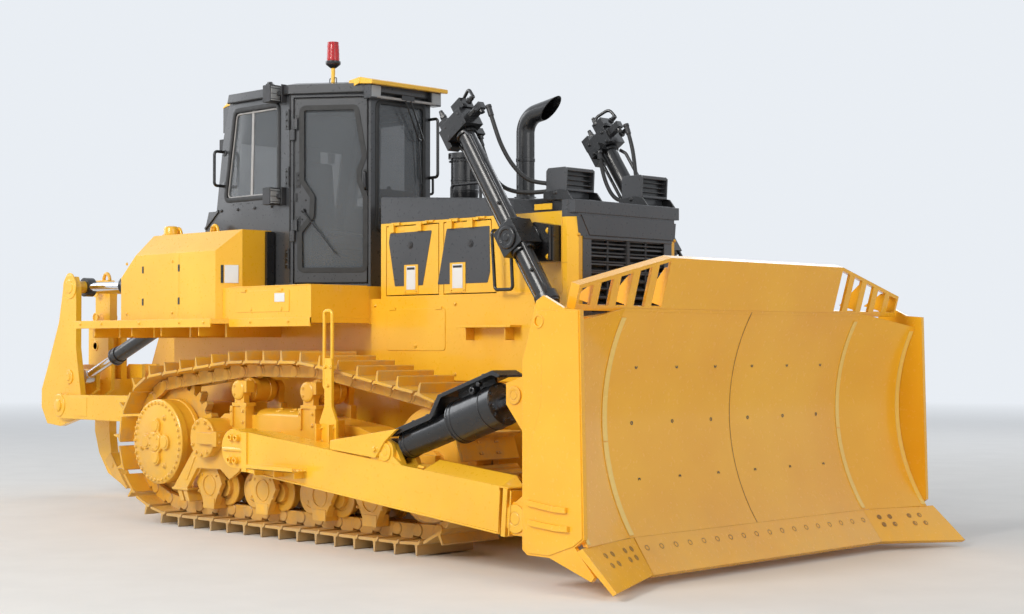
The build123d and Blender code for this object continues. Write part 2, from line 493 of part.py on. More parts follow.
def link_point(index, run, height):
    """A point on one link, from its middle: along the link, and outwards from the pin line."""
    start, end = pin_position(index), pin_position(index + 1)
    way = unit(start, end)
    return (
        (start[0] + end[0]) / 2 + way[0] * run + way[1] * height,
        (start[1] + end[1]) / 2 + way[1] * run - way[0] * height,
    )


shoe_half = link_step * SHOE_SHARE
rail_half = link_step * RAIL_SHARE
grouser_run = link_step * GROUSER_SHARE
SHOE_SECTION = (                    # run along the shoe, height
    (-shoe_half, SHOE_OUTER_H),
    (grouser_run - GROUSER_BASE / 2, SHOE_OUTER_H),
    (grouser_run - GROUSER_TIP / 2, GROUSER_H),
    (grouser_run + GROUSER_TIP / 2, GROUSER_H),
    (grouser_run + GROUSER_BASE / 2, SHOE_OUTER_H),
    (shoe_half, SHOE_OUTER_H),
)
links = range(LINK_COUNT)
shoe_outline = [link_point(i, run, height) for i in links for run, height in SHOE_SECTION]
shoe_underside = [link_point(i, run, SHOE_INNER_H) for i in links for run in (-shoe_half, shoe_half)]
rail_inside = [link_point(i, run, RAIL_INNER_H) for i in links for run in (-rail_half, rail_half)]

for side in SIDES:
    with BuildPart() as track:
        shoe_y = span(side, TRACK_Y - SHOE_WIDTH / 2, TRACK_Y + SHOE_WIDTH / 2)
        prism(shoe_outline, *shoe_y)
        prism(shoe_underside, *shoe_y, mode=Mode.SUBTRACT)
        for rail in (-1, 1):
            rail_y = sorted(side * TRACK_Y + rail * edge for edge in (RAIL_INNER_Y, RAIL_OUTER_Y))
            prism(shoe_underside, *rail_y)
            prism(rail_inside, *rail_y, mode=Mode.SUBTRACT)
    save(f"track_{SIDE_NAMES[side]}", track.part)

# ---------------------------------------------------------------- sprockets and final drives
tooth_angle = 360 / SPROCKET_TEETH
sprocket_tip_r = SPROCKET_PITCH_R + TOOTH_TIP_OVER
sprocket_root_r = SPROCKET_PITCH_R - TOOTH_ROOT_UNDER
tooth_outline = [
    (SPROCKET_X + radius * math.cos(math.radians(angle)), SPROCKET_Z + radius * math.sin(math.radians(angle)))
    for tooth in range(SPROCKET_TEETH)
    for radius, angle in (
        (sprocket_root_r, (tooth - TOOTH_ROOT_SHARE) * tooth_angle),
        (sprocket_tip_r, (tooth - TOOTH_TIP_SHARE) * tooth_angle),
        (sprocket_tip_r, (tooth + TOOTH_TIP_SHARE) * tooth_angle),
        (sprocket_root_r, (tooth + TOOTH_ROOT_SHARE) * tooth_angle),
    )
]
with BuildPart() as sprockets:
    for side in SIDES:
        sprocket_y = (side * TRACK_Y - SPROCKET_T / 2, side * TRACK_Y + SPROCKET_T / 2)
        prism(tooth_outline, *sprocket_y)
        disc(SPROCKET_X, SPROCKET_Z, HUB_R + SEAT_GAP, *sprocket_y, mode=Mode.SUBTRACT)
save("sprockets", sprockets.part)

with BuildPart() as final_drives:
    for side in SIDES:
        disc(SPROCKET_X, SPROCKET_Z, HUB_R, *span(side, HULL_HALF_WIDTH, COVER_Y - COVER_T))
        disc(SPROCKET_X, SPROCKET_Z, COVER_R, *span(side, COVER_Y - COVER_T, COVER_Y))
        disc(SPROCKET_X, SPROCKET_Z, COVER_LOBE_R, *span(side, COVER_Y, COVER_Y + COVER_LOBE_T))
        for lobe in range(4):
            angle = math.radians(45 + 90 * lobe)
            disc(
                SPROCKET_X + COVER_LOBE_RING_R * math.cos(angle),
                SPROCKET_Z + COVER_LOBE_RING_R * math.sin(angle),
                COVER_LOBE_R, *span(side, COVER_Y, COVER_Y + COVER_LOBE_LOW_T),
            )
save("final_drives", final_drives.part)

# ---------------------------------------------------------------- idlers and rollers
half_pitch_angle = math.asin(link_step / 2 / IDLER_PITCH_R)
idler_rim_r = IDLER_PITCH_R * math.cos(half_pitch_angle) + RAIL_INNER_H - SEAT_GAP
with BuildPart() as idlers:
    for side in SIDES:
        middle = side * TRACK_Y
        disc(IDLER_X, IDLER_Z, idler_rim_r, middle - IDLER_WIDTH / 2, middle + IDLER_WIDTH / 2)
        flange_half = RAIL_INNER_Y - IDLER_FLANGE_PLAY
        disc(IDLER_X, IDLER_Z, idler_rim_r + IDLER_FLANGE_H, middle - flange_half, middle + flange_half)
        for face in (-1, 1):
            near, far = sorted((middle + face * IDLER_WEB_HALF, middle + face * IDLER_WIDTH))
            disc(IDLER_X, IDLER_Z, idler_rim_r - IDLER_DISH, near, far, mode=Mode.SUBTRACT)
        boss_half = IDLER_WIDTH / 2 + IDLER_BOSS_OUT
        disc(IDLER_X, IDLER_Z, IDLER_BOSS_R, middle - boss_half, middle + boss_half)
save("idlers", idlers.part)

roller_z = GROUND_PIN_Z - RAIL_INNER_H + ROLLER_R + SEAT_GAP
roller_step = (ROLLER_LAST_X - ROLLER_FIRST_X) / (ROLLER_COUNT - 1)
roller_x = [ROLLER_FIRST_X + i * roller_step for i in range(ROLLER_COUNT)]
carrier_z = CARRIER_PIN_Z + RAIL_INNER_H - CARRIER_R - CARRIER_SAG
with BuildPart() as rollers:
    for side in SIDES:
        middle = side * TRACK_Y
        for x in roller_x:
            disc(x, roller_z, ROLLER_SHAFT_R, middle - ROLLER_GROOVE, middle + ROLLER_GROOVE)
            for end in (-1, 1):
                tread_y = sorted(middle + end * reach for reach in (ROLLER_GROOVE, ROLLER_LENGTH / 2))
                disc(x, roller_z, ROLLER_R, *tread_y)
                end_y = sorted(middle + end * reach for reach in (ROLLER_LENGTH / 2, ROLLER_END_Y))
                disc(x, roller_z, ROLLER_END_R, *end_y)
        for x in CARRIER_X:
            disc(x, carrier_z, CARRIER_R, middle - CARRIER_LENGTH / 2, middle + CARRIER_LENGTH / 2)
            disc(x, carrier_z, CARRIER_END_R, middle - CARRIER_END_Y, middle + CARRIER_END_Y)
save("rollers", rollers.part)

# ---------------------------------------------------------------- track frames
frame_outline = (
    (FRAME_REAR_X, FRAME_BOTTOM_Z + FRAME_HEEL[1]),
    (FRAME_REAR_X + FRAME_HEEL[0], FRAME_BOTTOM_Z),
    (FRAME_FRONT_X, FRAME_BOTTOM_Z),
    (FRAME_FRONT_X, FRAME_TOP_Z - FRAME_SLOPE_DROPS[1]),
    (FRAME_FRONT_X - FRAME_SLOPE_X, FRAME_TOP_Z - FRAME_SLOPE_DROPS[0]),
    (CARRIER_X[1], FRAME_TOP_Z),
    (FRAME_REAR_X + FRAME_CHIN[0], FRAME_TOP_Z),
    (FRAME_REAR_X, FRAME_TOP_Z - FRAME_CHIN[1]),
)
bogie_cap = [(-half, z) for half, z in BOGIE_CAP_HALF] + [(half, z) for half, z in reversed(BOGIE_CAP_HALF)]
trunnion_end_y = SOCKET_OUTER_Y - TRUNNION_BOTTOM - TRUNNION_END_GAP
with BuildPart() as track_frames:
    for side in SIDES:
        middle = side * TRACK_Y
        beam_y = (middle - FRAME_HALF_WIDTH, middle + FRAME_HALF_WIDTH)
        prism(frame_outline, *beam_y)
        for x in CARRIER_X:
            for edge in (-1, 1):
                stand_y = sorted(middle + edge * reach for reach in CARRIER_STAND_Y)
                (rear, front), (low, high) = CARRIER_STAND_X, CARRIER_STAND_H
                block((x + rear, x + front), stand_y, (FRAME_TOP_Z + low, FRAME_TOP_Z + high))
                block((x + CARRIER_NECK_X[0], x + CARRIER_NECK_X[1]), stand_y, (FRAME_TOP_Z, carrier_z))
                disc(x, carrier_z, CARRIER_CAP_R, *stand_y)
            seat_y = (middle - CARRIER_END_Y - 1, middle + CARRIER_END_Y + 1)
            disc(x, carrier_z, CARRIER_END_R + SEAT_GAP, *seat_y, mode=Mode.SUBTRACT)
        bar_y = span(side, TRACK_Y + ROLLER_BAR_Y[0], TRACK_Y + ROLLER_BAR_Y[1])
        block((ROLLER_FIRST_X - ROLLER_BAR_OVER, ROLLER_LAST_X + ROLLER_BAR_OVER), bar_y, ROLLER_BAR_Z)
        for x in BOGIE_X:
            cap_y = span(side, TRACK_Y + BOGIE_Y[0], TRACK_Y + BOGIE_Y[1])
            prism([(x + reach, z) for reach, z in bogie_cap], *cap_y)
            neck_y = span(side, TRACK_Y + FRAME_HALF_WIDTH - OVERCUT, TRACK_Y + BOGIE_Y[1])
            block((x - BOGIE_NECK_HALF, x + BOGIE_NECK_HALF), neck_y, BOGIE_NECK_Z)
            eye_y = span(side, TRACK_Y + BOGIE_Y[1] - BOGIE_EYE_SINK, TRACK_Y + BOGIE_Y[1] + 1)
            disc(x, BOGIE_EYE_Z, BOGIE_EYE_R, *eye_y, mode=Mode.SUBTRACT)
        for edge in (-1, 1):
            fork_y = sorted(middle + edge * reach for reach in IDLER_FORK_Y)
            fork_x = (FRAME_FRONT_X - IDLER_FORK_BACK, IDLER_X + IDLER_FORK_AHEAD)
            block(fork_x, fork_y, (IDLER_Z - IDLER_FORK_HALF, IDLER_Z + IDLER_FORK_HALF))
        prism(SPROCKET_GUARD, *span(side, *SPROCKET_GUARD_Y))
        disc(PIVOT_X, PIVOT_Z, PIVOT_R, *span(side, HULL_HALF_WIDTH, PIVOT_OUTER_Y))
        disc(TRUNNION_X, TRUNNION_Z, TRUNNION_COLLAR_R, *span(side, TRACK_Y, TRUNNION_COLLAR_Y))
        disc(TRUNNION_X, TRUNNION_Z, TRUNNION_R, *span(side, TRACK_Y, trunnion_end_y))
        seat_y = (middle - ROLLER_SEAT_Y, middle + ROLLER_SEAT_Y)
        for x in roller_x:
            disc(x, roller_z, ROLLER_END_R + SEAT_GAP, *seat_y, mode=Mode.SUBTRACT)
        idler_room = IDLER_WIDTH / 2 + IDLER_BOSS_OUT + 1
        room_r = idler_rim_r + IDLER_FLANGE_H + IDLER_FRAME_GAP
        disc(IDLER_X, IDLER_Z, room_r, middle - idler_room, middle + idler_room, mode=Mode.SUBTRACT)
save("track_frames", track_frames.part)

# ---------------------------------------------------------------- hull
hull_outline = (
    (HULL_REAR_X, HULL_CHIN_Z), (HULL_REAR_X + HULL_REAR_RAKE, HULL_BOTTOM_Z),
    (HULL_FRONT_X - HULL_FRONT_RAKE, HULL_BOTTOM_Z), (HULL_FRONT_X, HULL_CHIN_Z),
    (HULL_FRONT_X, BAY_BOTTOM_Z), (BAY_REAR_X, BAY_BOTTOM_Z), (BAY_REAR_X, HULL_DECK_Z),
    (HULL_REAR_X, HULL_DECK_Z),
)
rip_ears = (
    (RIP_CYL_Y - RIP_EAR_REACH - EAR_T, RIP_CYL_Y - RIP_EAR_REACH),
    (RIP_CYL_Y + RIP_EAR_REACH, RIP_CYL_Y + RIP_EAR_REACH + EAR_T),
)
with BuildPart() as hull:
    prism(hull_outline, -HULL_HALF_WIDTH, HULL_HALF_WIDTH)
    # engine bay: floor and side walls
    block((BAY_REAR_X, HOOD_FRONT_X), (-BAY_HALF_WIDTH, BAY_HALF_WIDTH), (BAY_BOTTOM_Z, BAY_TOP_Z))
    inner = BAY_HALF_WIDTH - BAY_WALL
    bay_x = (BAY_REAR_X + BAY_WALL, HOOD_FRONT_X)
    block(bay_x, (-inner, inner), (BAY_FLOOR_Z, BAY_TOP_Z), mode=Mode.SUBTRACT)
    # platform under the cab and behind it
    block((HULL_REAR_X, BAY_REAR_X), (-FENDER_INNER_Y, FENDER_INNER_Y), (HULL_DECK_Z, DECK_TOP_Z))
    # ripper brackets on the rear face
    for side in SIDES:
        for near, far in rip_ears:
            prism(RIP_BRACKET, *span(side, near, far))
        for x, z in ((RIP_TOP_HULL_X, RIP_TOP_Z), (RIP_LIFT_HULL_X, RIP_LIFT_HULL_Z)):
            disc(x, z, RIP_PIN_R, *span(side, rip_ears[0][0], rip_ears[1][1]))
        foot_rear, foot_low, foot_high = RIP_FOOT
        foot_z = (RIP_LOW_Z + foot_low, RIP_LOW_Z + foot_high)
        block((RIP_HULL_X + foot_rear, HULL_REAR_X + OVERCUT), span(side, *RIP_FOOT_Y), foot_z)
        pin_y = span(side, RIP_FOOT_Y[0], RIP_ARM_Y[1] + RIP_BASE_PIN_OUT)
        disc(RIP_HULL_X, RIP_LOW_Z, RIP_BASE_PIN_R, *pin_y)
save("hull", hull.part)

with BuildPart() as engine:
    rear, front, half, top = ENGINE
    block((rear, front), (-half, half), (BAY_FLOOR_Z, top))
save("engine", engine.part)


# ---------------------------------------------------------------- hood and nose
def hood_top_z(x):
    slope = (HOOD_FRONT_TOP_Z - HOOD_REAR_TOP_Z) / (HOOD_FRONT_X - HOOD_REAR_X)
    return HOOD_REAR_TOP_Z + slope * (x - HOOD_REAR_X)


def door_outline(edges, inset):
    """The outline of an engine door in X and Z; only the front door's front edge leans."""
    rear, front = edges[0] + inset, edges[1] - inset
    lean = HOOD_DOOR_SLANT if edges == HOOD_DOOR_EDGES[1] else 0
    low, high = HOOD_DOOR_Z[0] + inset, HOOD_DOOR_Z[1] - inset
    return ((rear, low), (front + lean, low), (front, high), (rear, high))


def collar_top(x, reach):
    """The flat top of a collar that levels out the sloping hood."""
    return hood_top_z(x - reach - COLLAR_WIDE) + COLLAR_UP


def hinge_stations(edges):
    """Where a door's two hinges start along X."""
    return (edges[0] + HOOD_HINGE_INSET, edges[1] - HOOD_HINGE_INSET - 2 * HOOD_HINGE_RUN)


lamp_base_z = collar_top(LAMP_X, LAMP_SIZE[0] / 2)
hood_hinge_z = HOOD_DOOR_Z[1] + HOOD_HINGE_UP

with BuildPart() as hood_body:
    prism(
        ((HOOD_REAR_X, BAY_TOP_Z), (HOOD_FRONT_X, BAY_TOP_Z),
         (HOOD_FRONT_X, HOOD_FRONT_TOP_Z), (HOOD_REAR_X, HOOD_REAR_TOP_Z)),
        -HOOD_HALF_WIDTH, HOOD_HALF_WIDTH,
    )
    prism(
        ((HOOD_REAR_X + HOOD_WALL, BAY_TOP_Z - 1), (HOOD_FRONT_X + 1, BAY_TOP_Z - 1),
         (HOOD_FRONT_X + 1, HOOD_FRONT_TOP_Z - HOOD_WALL),
         (HOOD_REAR_X + HOOD_WALL, HOOD_REAR_TOP_Z - HOOD_WALL)),
        -HOOD_HALF_WIDTH + HOOD_WALL, HOOD_HALF_WIDTH - HOOD_WALL, mode=Mode.SUBTRACT,
    )
    for edges in HOOD_DOOR_EDGES:
        prism(door_outline(edges, 0), -HOOD_HALF_WIDTH - 1, HOOD_HALF_WIDTH + 1, mode=Mode.SUBTRACT)
    for x, reach in ((EXHAUST_X, EXHAUST_R), (PRECLEANER_X, PRECLEANER_R)):
        post(x, 0, reach + COLLAR_WIDE, hood_top_z(x) - COLLAR_SINK, collar_top(x, reach))
    for side in SIDES:
        block(
            (LAMP_X - LAMP_FOOT_HALF, LAMP_X + LAMP_FOOT_HALF),
            span(side, LAMP_Y - LAMP_FOOT_HALF, LAMP_Y + LAMP_FOOT_HALF),
            (hood_top_z(LAMP_X) - COLLAR_SINK, lamp_base_z),
        )
        for edges in HOOD_DOOR_EDGES:
            for x in hinge_stations(edges):
                hinge_y = side * (HOOD_HALF_WIDTH + HOOD_HINGE_OUT)
                hinge_x = (x - HOOD_HINGE_RUN / 2, x + HOOD_HINGE_RUN / 2, x + HOOD_HINGE_RUN * 3 / 2)
                along_x(hinge_x[0], hinge_x[2], hinge_y, hood_hinge_z, HOOD_HINGE_R)
                block(
                    (hinge_x[1] + 1, hinge_x[2]),
                    span(side, HOOD_HALF_WIDTH - 2, HOOD_HALF_WIDTH + HOOD_HINGE_OUT + HOOD_HINGE_R),
                    (hood_hinge_z - HOOD_HINGE_R, hood_hinge_z + HOOD_HINGE_LIP),
                )
for name, keep in (("hood", Keep.BOTTOM), ("hood_top", Keep.TOP)):
    with BuildPart() as hood:
        add(hood_body.part)
        split(bisect_by=Plane.XY.offset(HOOD_BAND_Z), keep=keep)
    save(name, hood.part)

for side in SIDES:
    for place, edges in zip(("rear", "front"), HOOD_DOOR_EDGES):
        with BuildPart() as engine_door:
            prism(door_outline(edges, DOOR_GAP), *span(side, HOOD_HALF_WIDTH - HOOD_DOOR_T, HOOD_HALF_WIDTH))
            hinge_y = side * (HOOD_HALF_WIDTH + HOOD_HINGE_OUT)
            for x in hinge_stations(edges):
                run = (x - HOOD_HINGE_RUN / 2, x + HOOD_HINGE_RUN / 2 - 1)
                along_x(*run, hinge_y, hood_hinge_z, HOOD_HINGE_R + HOOD_KNUCKLE_T)
                block(
                    run, span(side, HOOD_HALF_WIDTH - 4, HOOD_HALF_WIDTH + HOOD_HINGE_OUT + 10),
                    (hood_hinge_z - HOOD_HINGE_LEAF, hood_hinge_z - HOOD_HINGE_UP),
                )
                along_x(*run, hinge_y, hood_hinge_z, HOOD_HINGE_R + PIN_GAP, Mode.SUBTRACT)
        save(f"engine_door_{SIDE_NAMES[side]}_{place}", engine_door.part)

with BuildPart() as nose:
    corner_x, corner_y = NOSE_FRONT_X - NOSE_CORNER, NOSE_HALF_WIDTH - NOSE_CORNER
    slab(
        ((HOOD_FRONT_X, -NOSE_HALF_WIDTH), (corner_x, -NOSE_HALF_WIDTH), (NOSE_FRONT_X, -corner_y),
         (NOSE_FRONT_X, corner_y), (corner_x, NOSE_HALF_WIDTH), (HOOD_FRONT_X, NOSE_HALF_WIDTH)),
        NOSE_BOTTOM_Z, NOSE_TOP_Z,
    )
    nose_x = (HOOD_FRONT_X - 1, NOSE_FRONT_X + 1)
    block(nose_x, (-GRILLE_HALF_WIDTH, GRILLE_HALF_WIDTH), GRILLE_Z, mode=Mode.SUBTRACT)
    louvre_step = (GRILLE_Z[1] - GRILLE_Z[0]) / LOUVRE_COUNT
    for i in range(LOUVRE_COUNT):
        z = GRILLE_Z[0] + (i + 1 / 2) * louvre_step
        rear, front = NOSE_FRONT_X - LOUVRE_DEPTH, NOSE_FRONT_X - LOUVRE_SETBACK
        prism(
            ((rear, z + LOUVRE_RISE), (front, z - LOUVRE_T), (front, z), (rear, z + LOUVRE_RISE + LOUVRE_T)),
            -GRILLE_HALF_WIDTH, GRILLE_HALF_WIDTH,
        )
    block((NOSE_FRONT_X - GRILLE_POST_DEPTH, NOSE_FRONT_X), (-GRILLE_POST_HALF, GRILLE_POST_HALF), GRILLE_Z)
with BuildPart() as radiator_guard:
    add(nose.part)
    panel_y, band_y = (-NOSE_PANEL_HALF, NOSE_PANEL_HALF), (-NOSE_HALF_WIDTH - 1, NOSE_HALF_WIDTH + 1)
    block(nose_x, panel_y, (NOSE_BOTTOM_Z - 1, NOSE_TOP_Z + 1), mode=Mode.SUBTRACT)
    block(nose_x, band_y, (NOSE_BAND_Z, NOSE_TOP_Z + 1), mode=Mode.SUBTRACT)
save("radiator_guard", radiator_guard.part)

with BuildPart() as grille:
    add(nose.part)
    add(radiator_guard.part, mode=Mode.SUBTRACT)
save("grille", grille.part)

exhaust_base_z = collar_top(EXHAUST_X, EXHAUST_R)
bend_turn = math.radians(EXHAUST_BEND_DEG)
bend_start = (EXHAUST_X, 0, EXHAUST_BEND_Z)
bend_end = (
    EXHAUST_X + EXHAUST_BEND_R * (1 - math.cos(bend_turn)), 0,
    EXHAUST_BEND_Z + EXHAUST_BEND_R * math.sin(bend_turn),
)
tip_way = Vector(math.sin(bend_turn), 0, math.cos(bend_turn))
with BuildPart() as exhaust:
    with BuildLine() as exhaust_path:
        Line((EXHAUST_X, 0, exhaust_base_z), bend_start)
        TangentArc(bend_start, bend_end, tangent=(0, 0, 1))
        Line(bend_end, Vector(*bend_end) + tip_way * EXHAUST_TIP_RUN)
    with BuildSketch(Plane.XY.offset(exhaust_base_z)) as exhaust_ring:
        with Locations((EXHAUST_X, 0)):
            Circle(EXHAUST_R)
            Circle(EXHAUST_R - EXHAUST_WALL, mode=Mode.SUBTRACT)
    sweep(exhaust_ring.sketch, path=exhaust_path.wires()[0])
    cut_place = (EXHAUST_X + EXHAUST_CUT[0], 0, EXHAUST_BEND_Z + EXHAUST_CUT[1])
    with Locations(Location(cut_place, (0, EXHAUST_CUT_DEG, 0))):
        cut_side = 6 * EXHAUST_R
        Box(cut_side, cut_side, cut_side, align=(Align.MIN, Align.CENTER, Align.CENTER), mode=Mode.SUBTRACT)
save("exhaust", exhaust.part)

with BuildPart() as precleaner:
    base_z = collar_top(PRECLEANER_X, PRECLEANER_R)
    lid_z = PRECLEANER_TOP_Z - PRECLEANER_LID_T
    post(PRECLEANER_X, 0, PRECLEANER_NECK_R, base_z, base_z + PRECLEANER_NECK_H)
    post(PRECLEANER_X, 0, PRECLEANER_R, base_z + PRECLEANER_NECK_H, lid_z)
    post(PRECLEANER_X, 0, PRECLEANER_R + PRECLEANER_LID_OVER, lid_z, PRECLEANER_TOP_Z)
save("precleaner", precleaner.part)

with BuildPart() as work_lamps:
    for side in SIDES:
        x_range = (LAMP_X - LAMP_SIZE[0] / 2, LAMP_X + LAMP_SIZE[0] / 2)
        y_range = span(side, LAMP_Y - LAMP_SIZE[1] / 2, LAMP_Y + LAMP_SIZE[1] / 2)
        block(x_range, y_range, (lamp_base_z, lamp_base_z + LAMP_SIZE[2]))
save("work_lamps", work_lamps.part)

# ---------------------------------------------------------------- fenders, tanks, side boxes
fender_top_z = FENDER_Z + FENDER_T
with BuildPart() as fenders:
    for side in SIDES:
        inner_y = side * (FENDER_INNER_Y + DECK_GAP)
        outline = (
            (FENDER_REAR_X, inner_y), (FENDER_REAR_X, side * FENDER_OUTER_Y),
            (FENDER_STEP_X, side * FENDER_OUTER_Y), (FENDER_STEP_X + FENDER_SKEW, side * FENDER_STEP_Y),
            (FENDER_FRONT_X, side * FENDER_STEP_Y), (FENDER_FRONT_X, inner_y),
        )
        slab(outline, FENDER_Z, fender_top_z)
        for x in FENDER_RIB_X:
            rib_x = (x - FENDER_RIB_T / 2, x + FENDER_RIB_T / 2)
            rib_y = span(side, FENDER_INNER_Y + DECK_GAP, FENDER_RIB_Y)
            block(rib_x, rib_y, (FENDER_Z - FENDER_RIB_DROP, FENDER_Z))
save("fenders", fenders.part)

# the rear outer corner's cut passes through a point on each of the three edges that it takes away
corner_cut = {
    side: (
        Vector(TANK_REAR_X, side * TANK_OUTER_Y, TANK_CUT_Z),
        Vector(TANK_CUT_X, side * TANK_OUTER_Y, TANK_EDGE_Z),
        Vector(TANK_CUT_X, side * TANK_RIDGE_Y, TANK_RIDGE_Z),
    )
    for side in SIDES
}
with BuildPart() as side_tanks:
    for side in SIDES:
        plan = (
            (TANK_REAR_X, side * TANK_INNER_Y), (TANK_REAR_X, side * TANK_OUTER_Y),
            (TANK_BEND_X, side * TANK_OUTER_Y), (TANK_FRONT_X, side * TANK_RIDGE_Y),
            (TANK_FRONT_X, side * TANK_INNER_Y),
        )
        slab(plan, fender_top_z, TANK_RIDGE_Z)
        frontal(
            ((side * TANK_RIDGE_Y, TANK_RIDGE_Z), (side * TANK_RIDGE_Y, TANK_RIDGE_Z + OVERCUT),
             (side * (TANK_OUTER_Y + OVERCUT), TANK_RIDGE_Z + OVERCUT),
             (side * (TANK_OUTER_Y + OVERCUT), TANK_EDGE_Z), (side * TANK_OUTER_Y, TANK_EDGE_Z)),
            TANK_REAR_X - OVERCUT, TANK_FRONT_X + OVERCUT, mode=Mode.SUBTRACT,
        )
    for side in SIDES:
        rear, edge, ridge = corner_cut[side]
        inward = (edge - rear).cross(ridge - edge) * side
        split(bisect_by=Plane(origin=edge, z_dir=inward), keep=Keep.TOP)
save("side_tanks", side_tanks.part)

bend_slope = (TANK_FRONT_X - TANK_BEND_X) / (TANK_OUTER_Y - TANK_RIDGE_Y)
box_corner_x = TANK_BEND_X + bend_slope * (TANK_OUTER_Y - SIDE_BOX_OUTER_Y) + DECK_GAP
with BuildPart() as side_boxes:
    for side in SIDES:
        inner_y = side * (FENDER_INNER_Y + DECK_GAP)
        plan = (
            (TANK_FRONT_X + DECK_GAP, inner_y), (BAY_REAR_X, inner_y), (BAY_REAR_X, side * SIDE_BOX_OUTER_Y),
            (box_corner_x, side * SIDE_BOX_OUTER_Y), (TANK_FRONT_X + DECK_GAP, side * TANK_RIDGE_Y),
        )
        slab(plan, fender_top_z, DECK_TOP_Z)
save("side_boxes", side_boxes.part)


# ---------------------------------------------------------------- cab
def cab_plan(inset):
    """The cab's six-sided plan, moved inwards by a wall's thickness."""
    toe = math.atan2(CAB_HALF_WIDTH - CAB_FRONT_HALF_WIDTH, CAB_FRONT_X - CAB_DOOR_REAR_X)
    rear_corner = (CAB_DOOR_REAR_X - inset * math.tan(toe / 2), CAB_HALF_WIDTH - inset)
    front_x = CAB_FRONT_X - inset
    front_y = CAB_FRONT_HALF_WIDTH - inset * (1 - math.sin(toe)) / math.cos(toe)
    right = (
        (CAB_REAR_X + inset, -CAB_HALF_WIDTH + inset), (rear_corner[0], -rear_corner[1]), (front_x, -front_y),
    )
    return right + tuple((x, -y) for x, y in reversed(right))


door_rear = (CAB_DOOR_REAR_X, CAB_HALF_WIDTH)
door_front = (CAB_FRONT_X, CAB_FRONT_HALF_WIDTH)
door_way = unit(door_rear, door_front)
door_width = math.dist(door_rear, door_front)
door_span = (CAB_HINGE_RUN + DOOR_RUN_GAPS[0], door_width - DOOR_RUN_GAPS[1])
glass_front = door_width - DOOR_STILE
glass_edge = ((glass_front, DOOR_WINDOW[5]), (glass_front, DOOR_WINDOW[6]))
door_opening = DOOR_WINDOW[:5] + glass_edge + DOOR_WINDOW[7:]
leaf_depth = -CAB_HINGE_OUT - CAB_HINGE_R


def door_plane(side, depth):
    """A plane in the door's outer face, x along the door to the front, y up, sunk by a depth."""
    outward = Vector(-door_way[1], side * door_way[0], 0)
    x_dir = Vector(door_way[0], side * door_way[1], 0)
    origin = Vector(CAB_DOOR_REAR_X, side * CAB_HALF_WIDTH, 0)
    face = Plane(origin=origin - outward * depth, x_dir=x_dir, z_dir=x_dir.cross(Vector(0, 0, 1)))
    return face


def door_hinge(side):
    """Where the door's hinge line stands in plan."""
    return (
        CAB_DOOR_REAR_X + door_way[0] * CAB_HINGE_RUN - door_way[1] * CAB_HINGE_OUT,
        side * (CAB_HALF_WIDTH + door_way[1] * CAB_HINGE_RUN + door_way[0] * CAB_HINGE_OUT),
    )


def door_window(side, depth, thickness, mode=Mode.ADD):
    """The door window's outline in the door's plane, from one depth inwards by a thickness."""
    with BuildSketch(door_plane(side, depth)) as window:
        with BuildLine():
            Polyline(*door_opening, close=True)
        make_face()
        fillet(window.vertices(), DOOR_WINDOW_R)
    extrude(window.sketch, amount=side * thickness, mode=mode)


def side_window(y_low, y_high, mode=Mode.ADD):
    """The rear side window, between two Y planes."""
    (sill_rear, sill_front), (top_rear, top_front) = SIDE_WINDOW_X
    sill_z, top_z = CAB_WINDOW_Z
    with BuildSketch(Plane.XZ.offset(-y_high)) as window:
        with BuildLine():
            Polyline(
                (sill_rear, sill_z), (top_rear, top_z), (top_front, top_z), (sill_front, sill_z), close=True,
            )
        make_face()
        fillet(window.vertices(), CAB_WINDOW_R)
    extrude(window.sketch, amount=y_high - y_low, mode=mode)


def front_window(x_low, x_high, mode=Mode.ADD):
    """The windscreen, between two X planes."""
    middle_z = (FRONT_WINDOW_Z[0] + FRONT_WINDOW_Z[1]) / 2
    with BuildSketch(Plane.YZ.offset(x_low)) as window:
        with Locations((0, middle_z)):
            RectangleRounded(2 * FRONT_WINDOW_HALF, FRONT_WINDOW_Z[1] - FRONT_WINDOW_Z[0], CAB_WINDOW_R)
    extrude(window.sketch, amount=x_high - x_low, mode=mode)


def cab_rear_x(z):
    """Where the cab's leaning rear face stands at a height."""
    for (low_x, low_z), (high_x, high_z) in zip(CAB_REAR_PROFILE, CAB_REAR_PROFILE[1:]):
        if z <= high_z:
            return low_x + (high_x - low_x) * (z - low_z) / (high_z - low_z)


def rear_band(z_range, near, far):
    """A band that follows the leaning rear face, from one depth inside it to another."""
    low, high = z_range
    return (
        (cab_rear_x(low) + near, low), (cab_rear_x(high) + near, high),
        (cab_rear_x(high) + far, high), (cab_rear_x(low) + far, low),
    )


def behind_cab(depth):
    """Everything behind the leaning rear face, moved inwards by a depth."""
    face = [(x + depth, z) for x, z in CAB_REAR_PROFILE]
    return (*face, (CAB_REAR_X - 1, CAB_REAR_PROFILE[-1][1]), (CAB_REAR_X - 1, CAB_REAR_PROFILE[0][1]))


def door_panel(side, run, height, depth, thickness, mode=Mode.ADD):
    """A rectangle in the door's plane, from one depth inwards by a thickness."""
    with BuildSketch(door_plane(side, depth)) as panel:
        with Locations(((run[0] + run[1]) / 2, (height[0] + height[1]) / 2)):
            Rectangle(run[1] - run[0], height[1] - height[0])
    extrude(panel.sketch, amount=side * thickness, mode=mode)


wall_y = CAB_HALF_WIDTH + OVERCUT
with BuildPart() as cab_room:
    slab(cab_plan(CAB_WALL), CAB_FLOOR_Z + CAB_FLOOR_T, CAB_EAVES_Z + 1)
    prism(behind_cab(CAB_WALL), -wall_y, wall_y, mode=Mode.SUBTRACT)

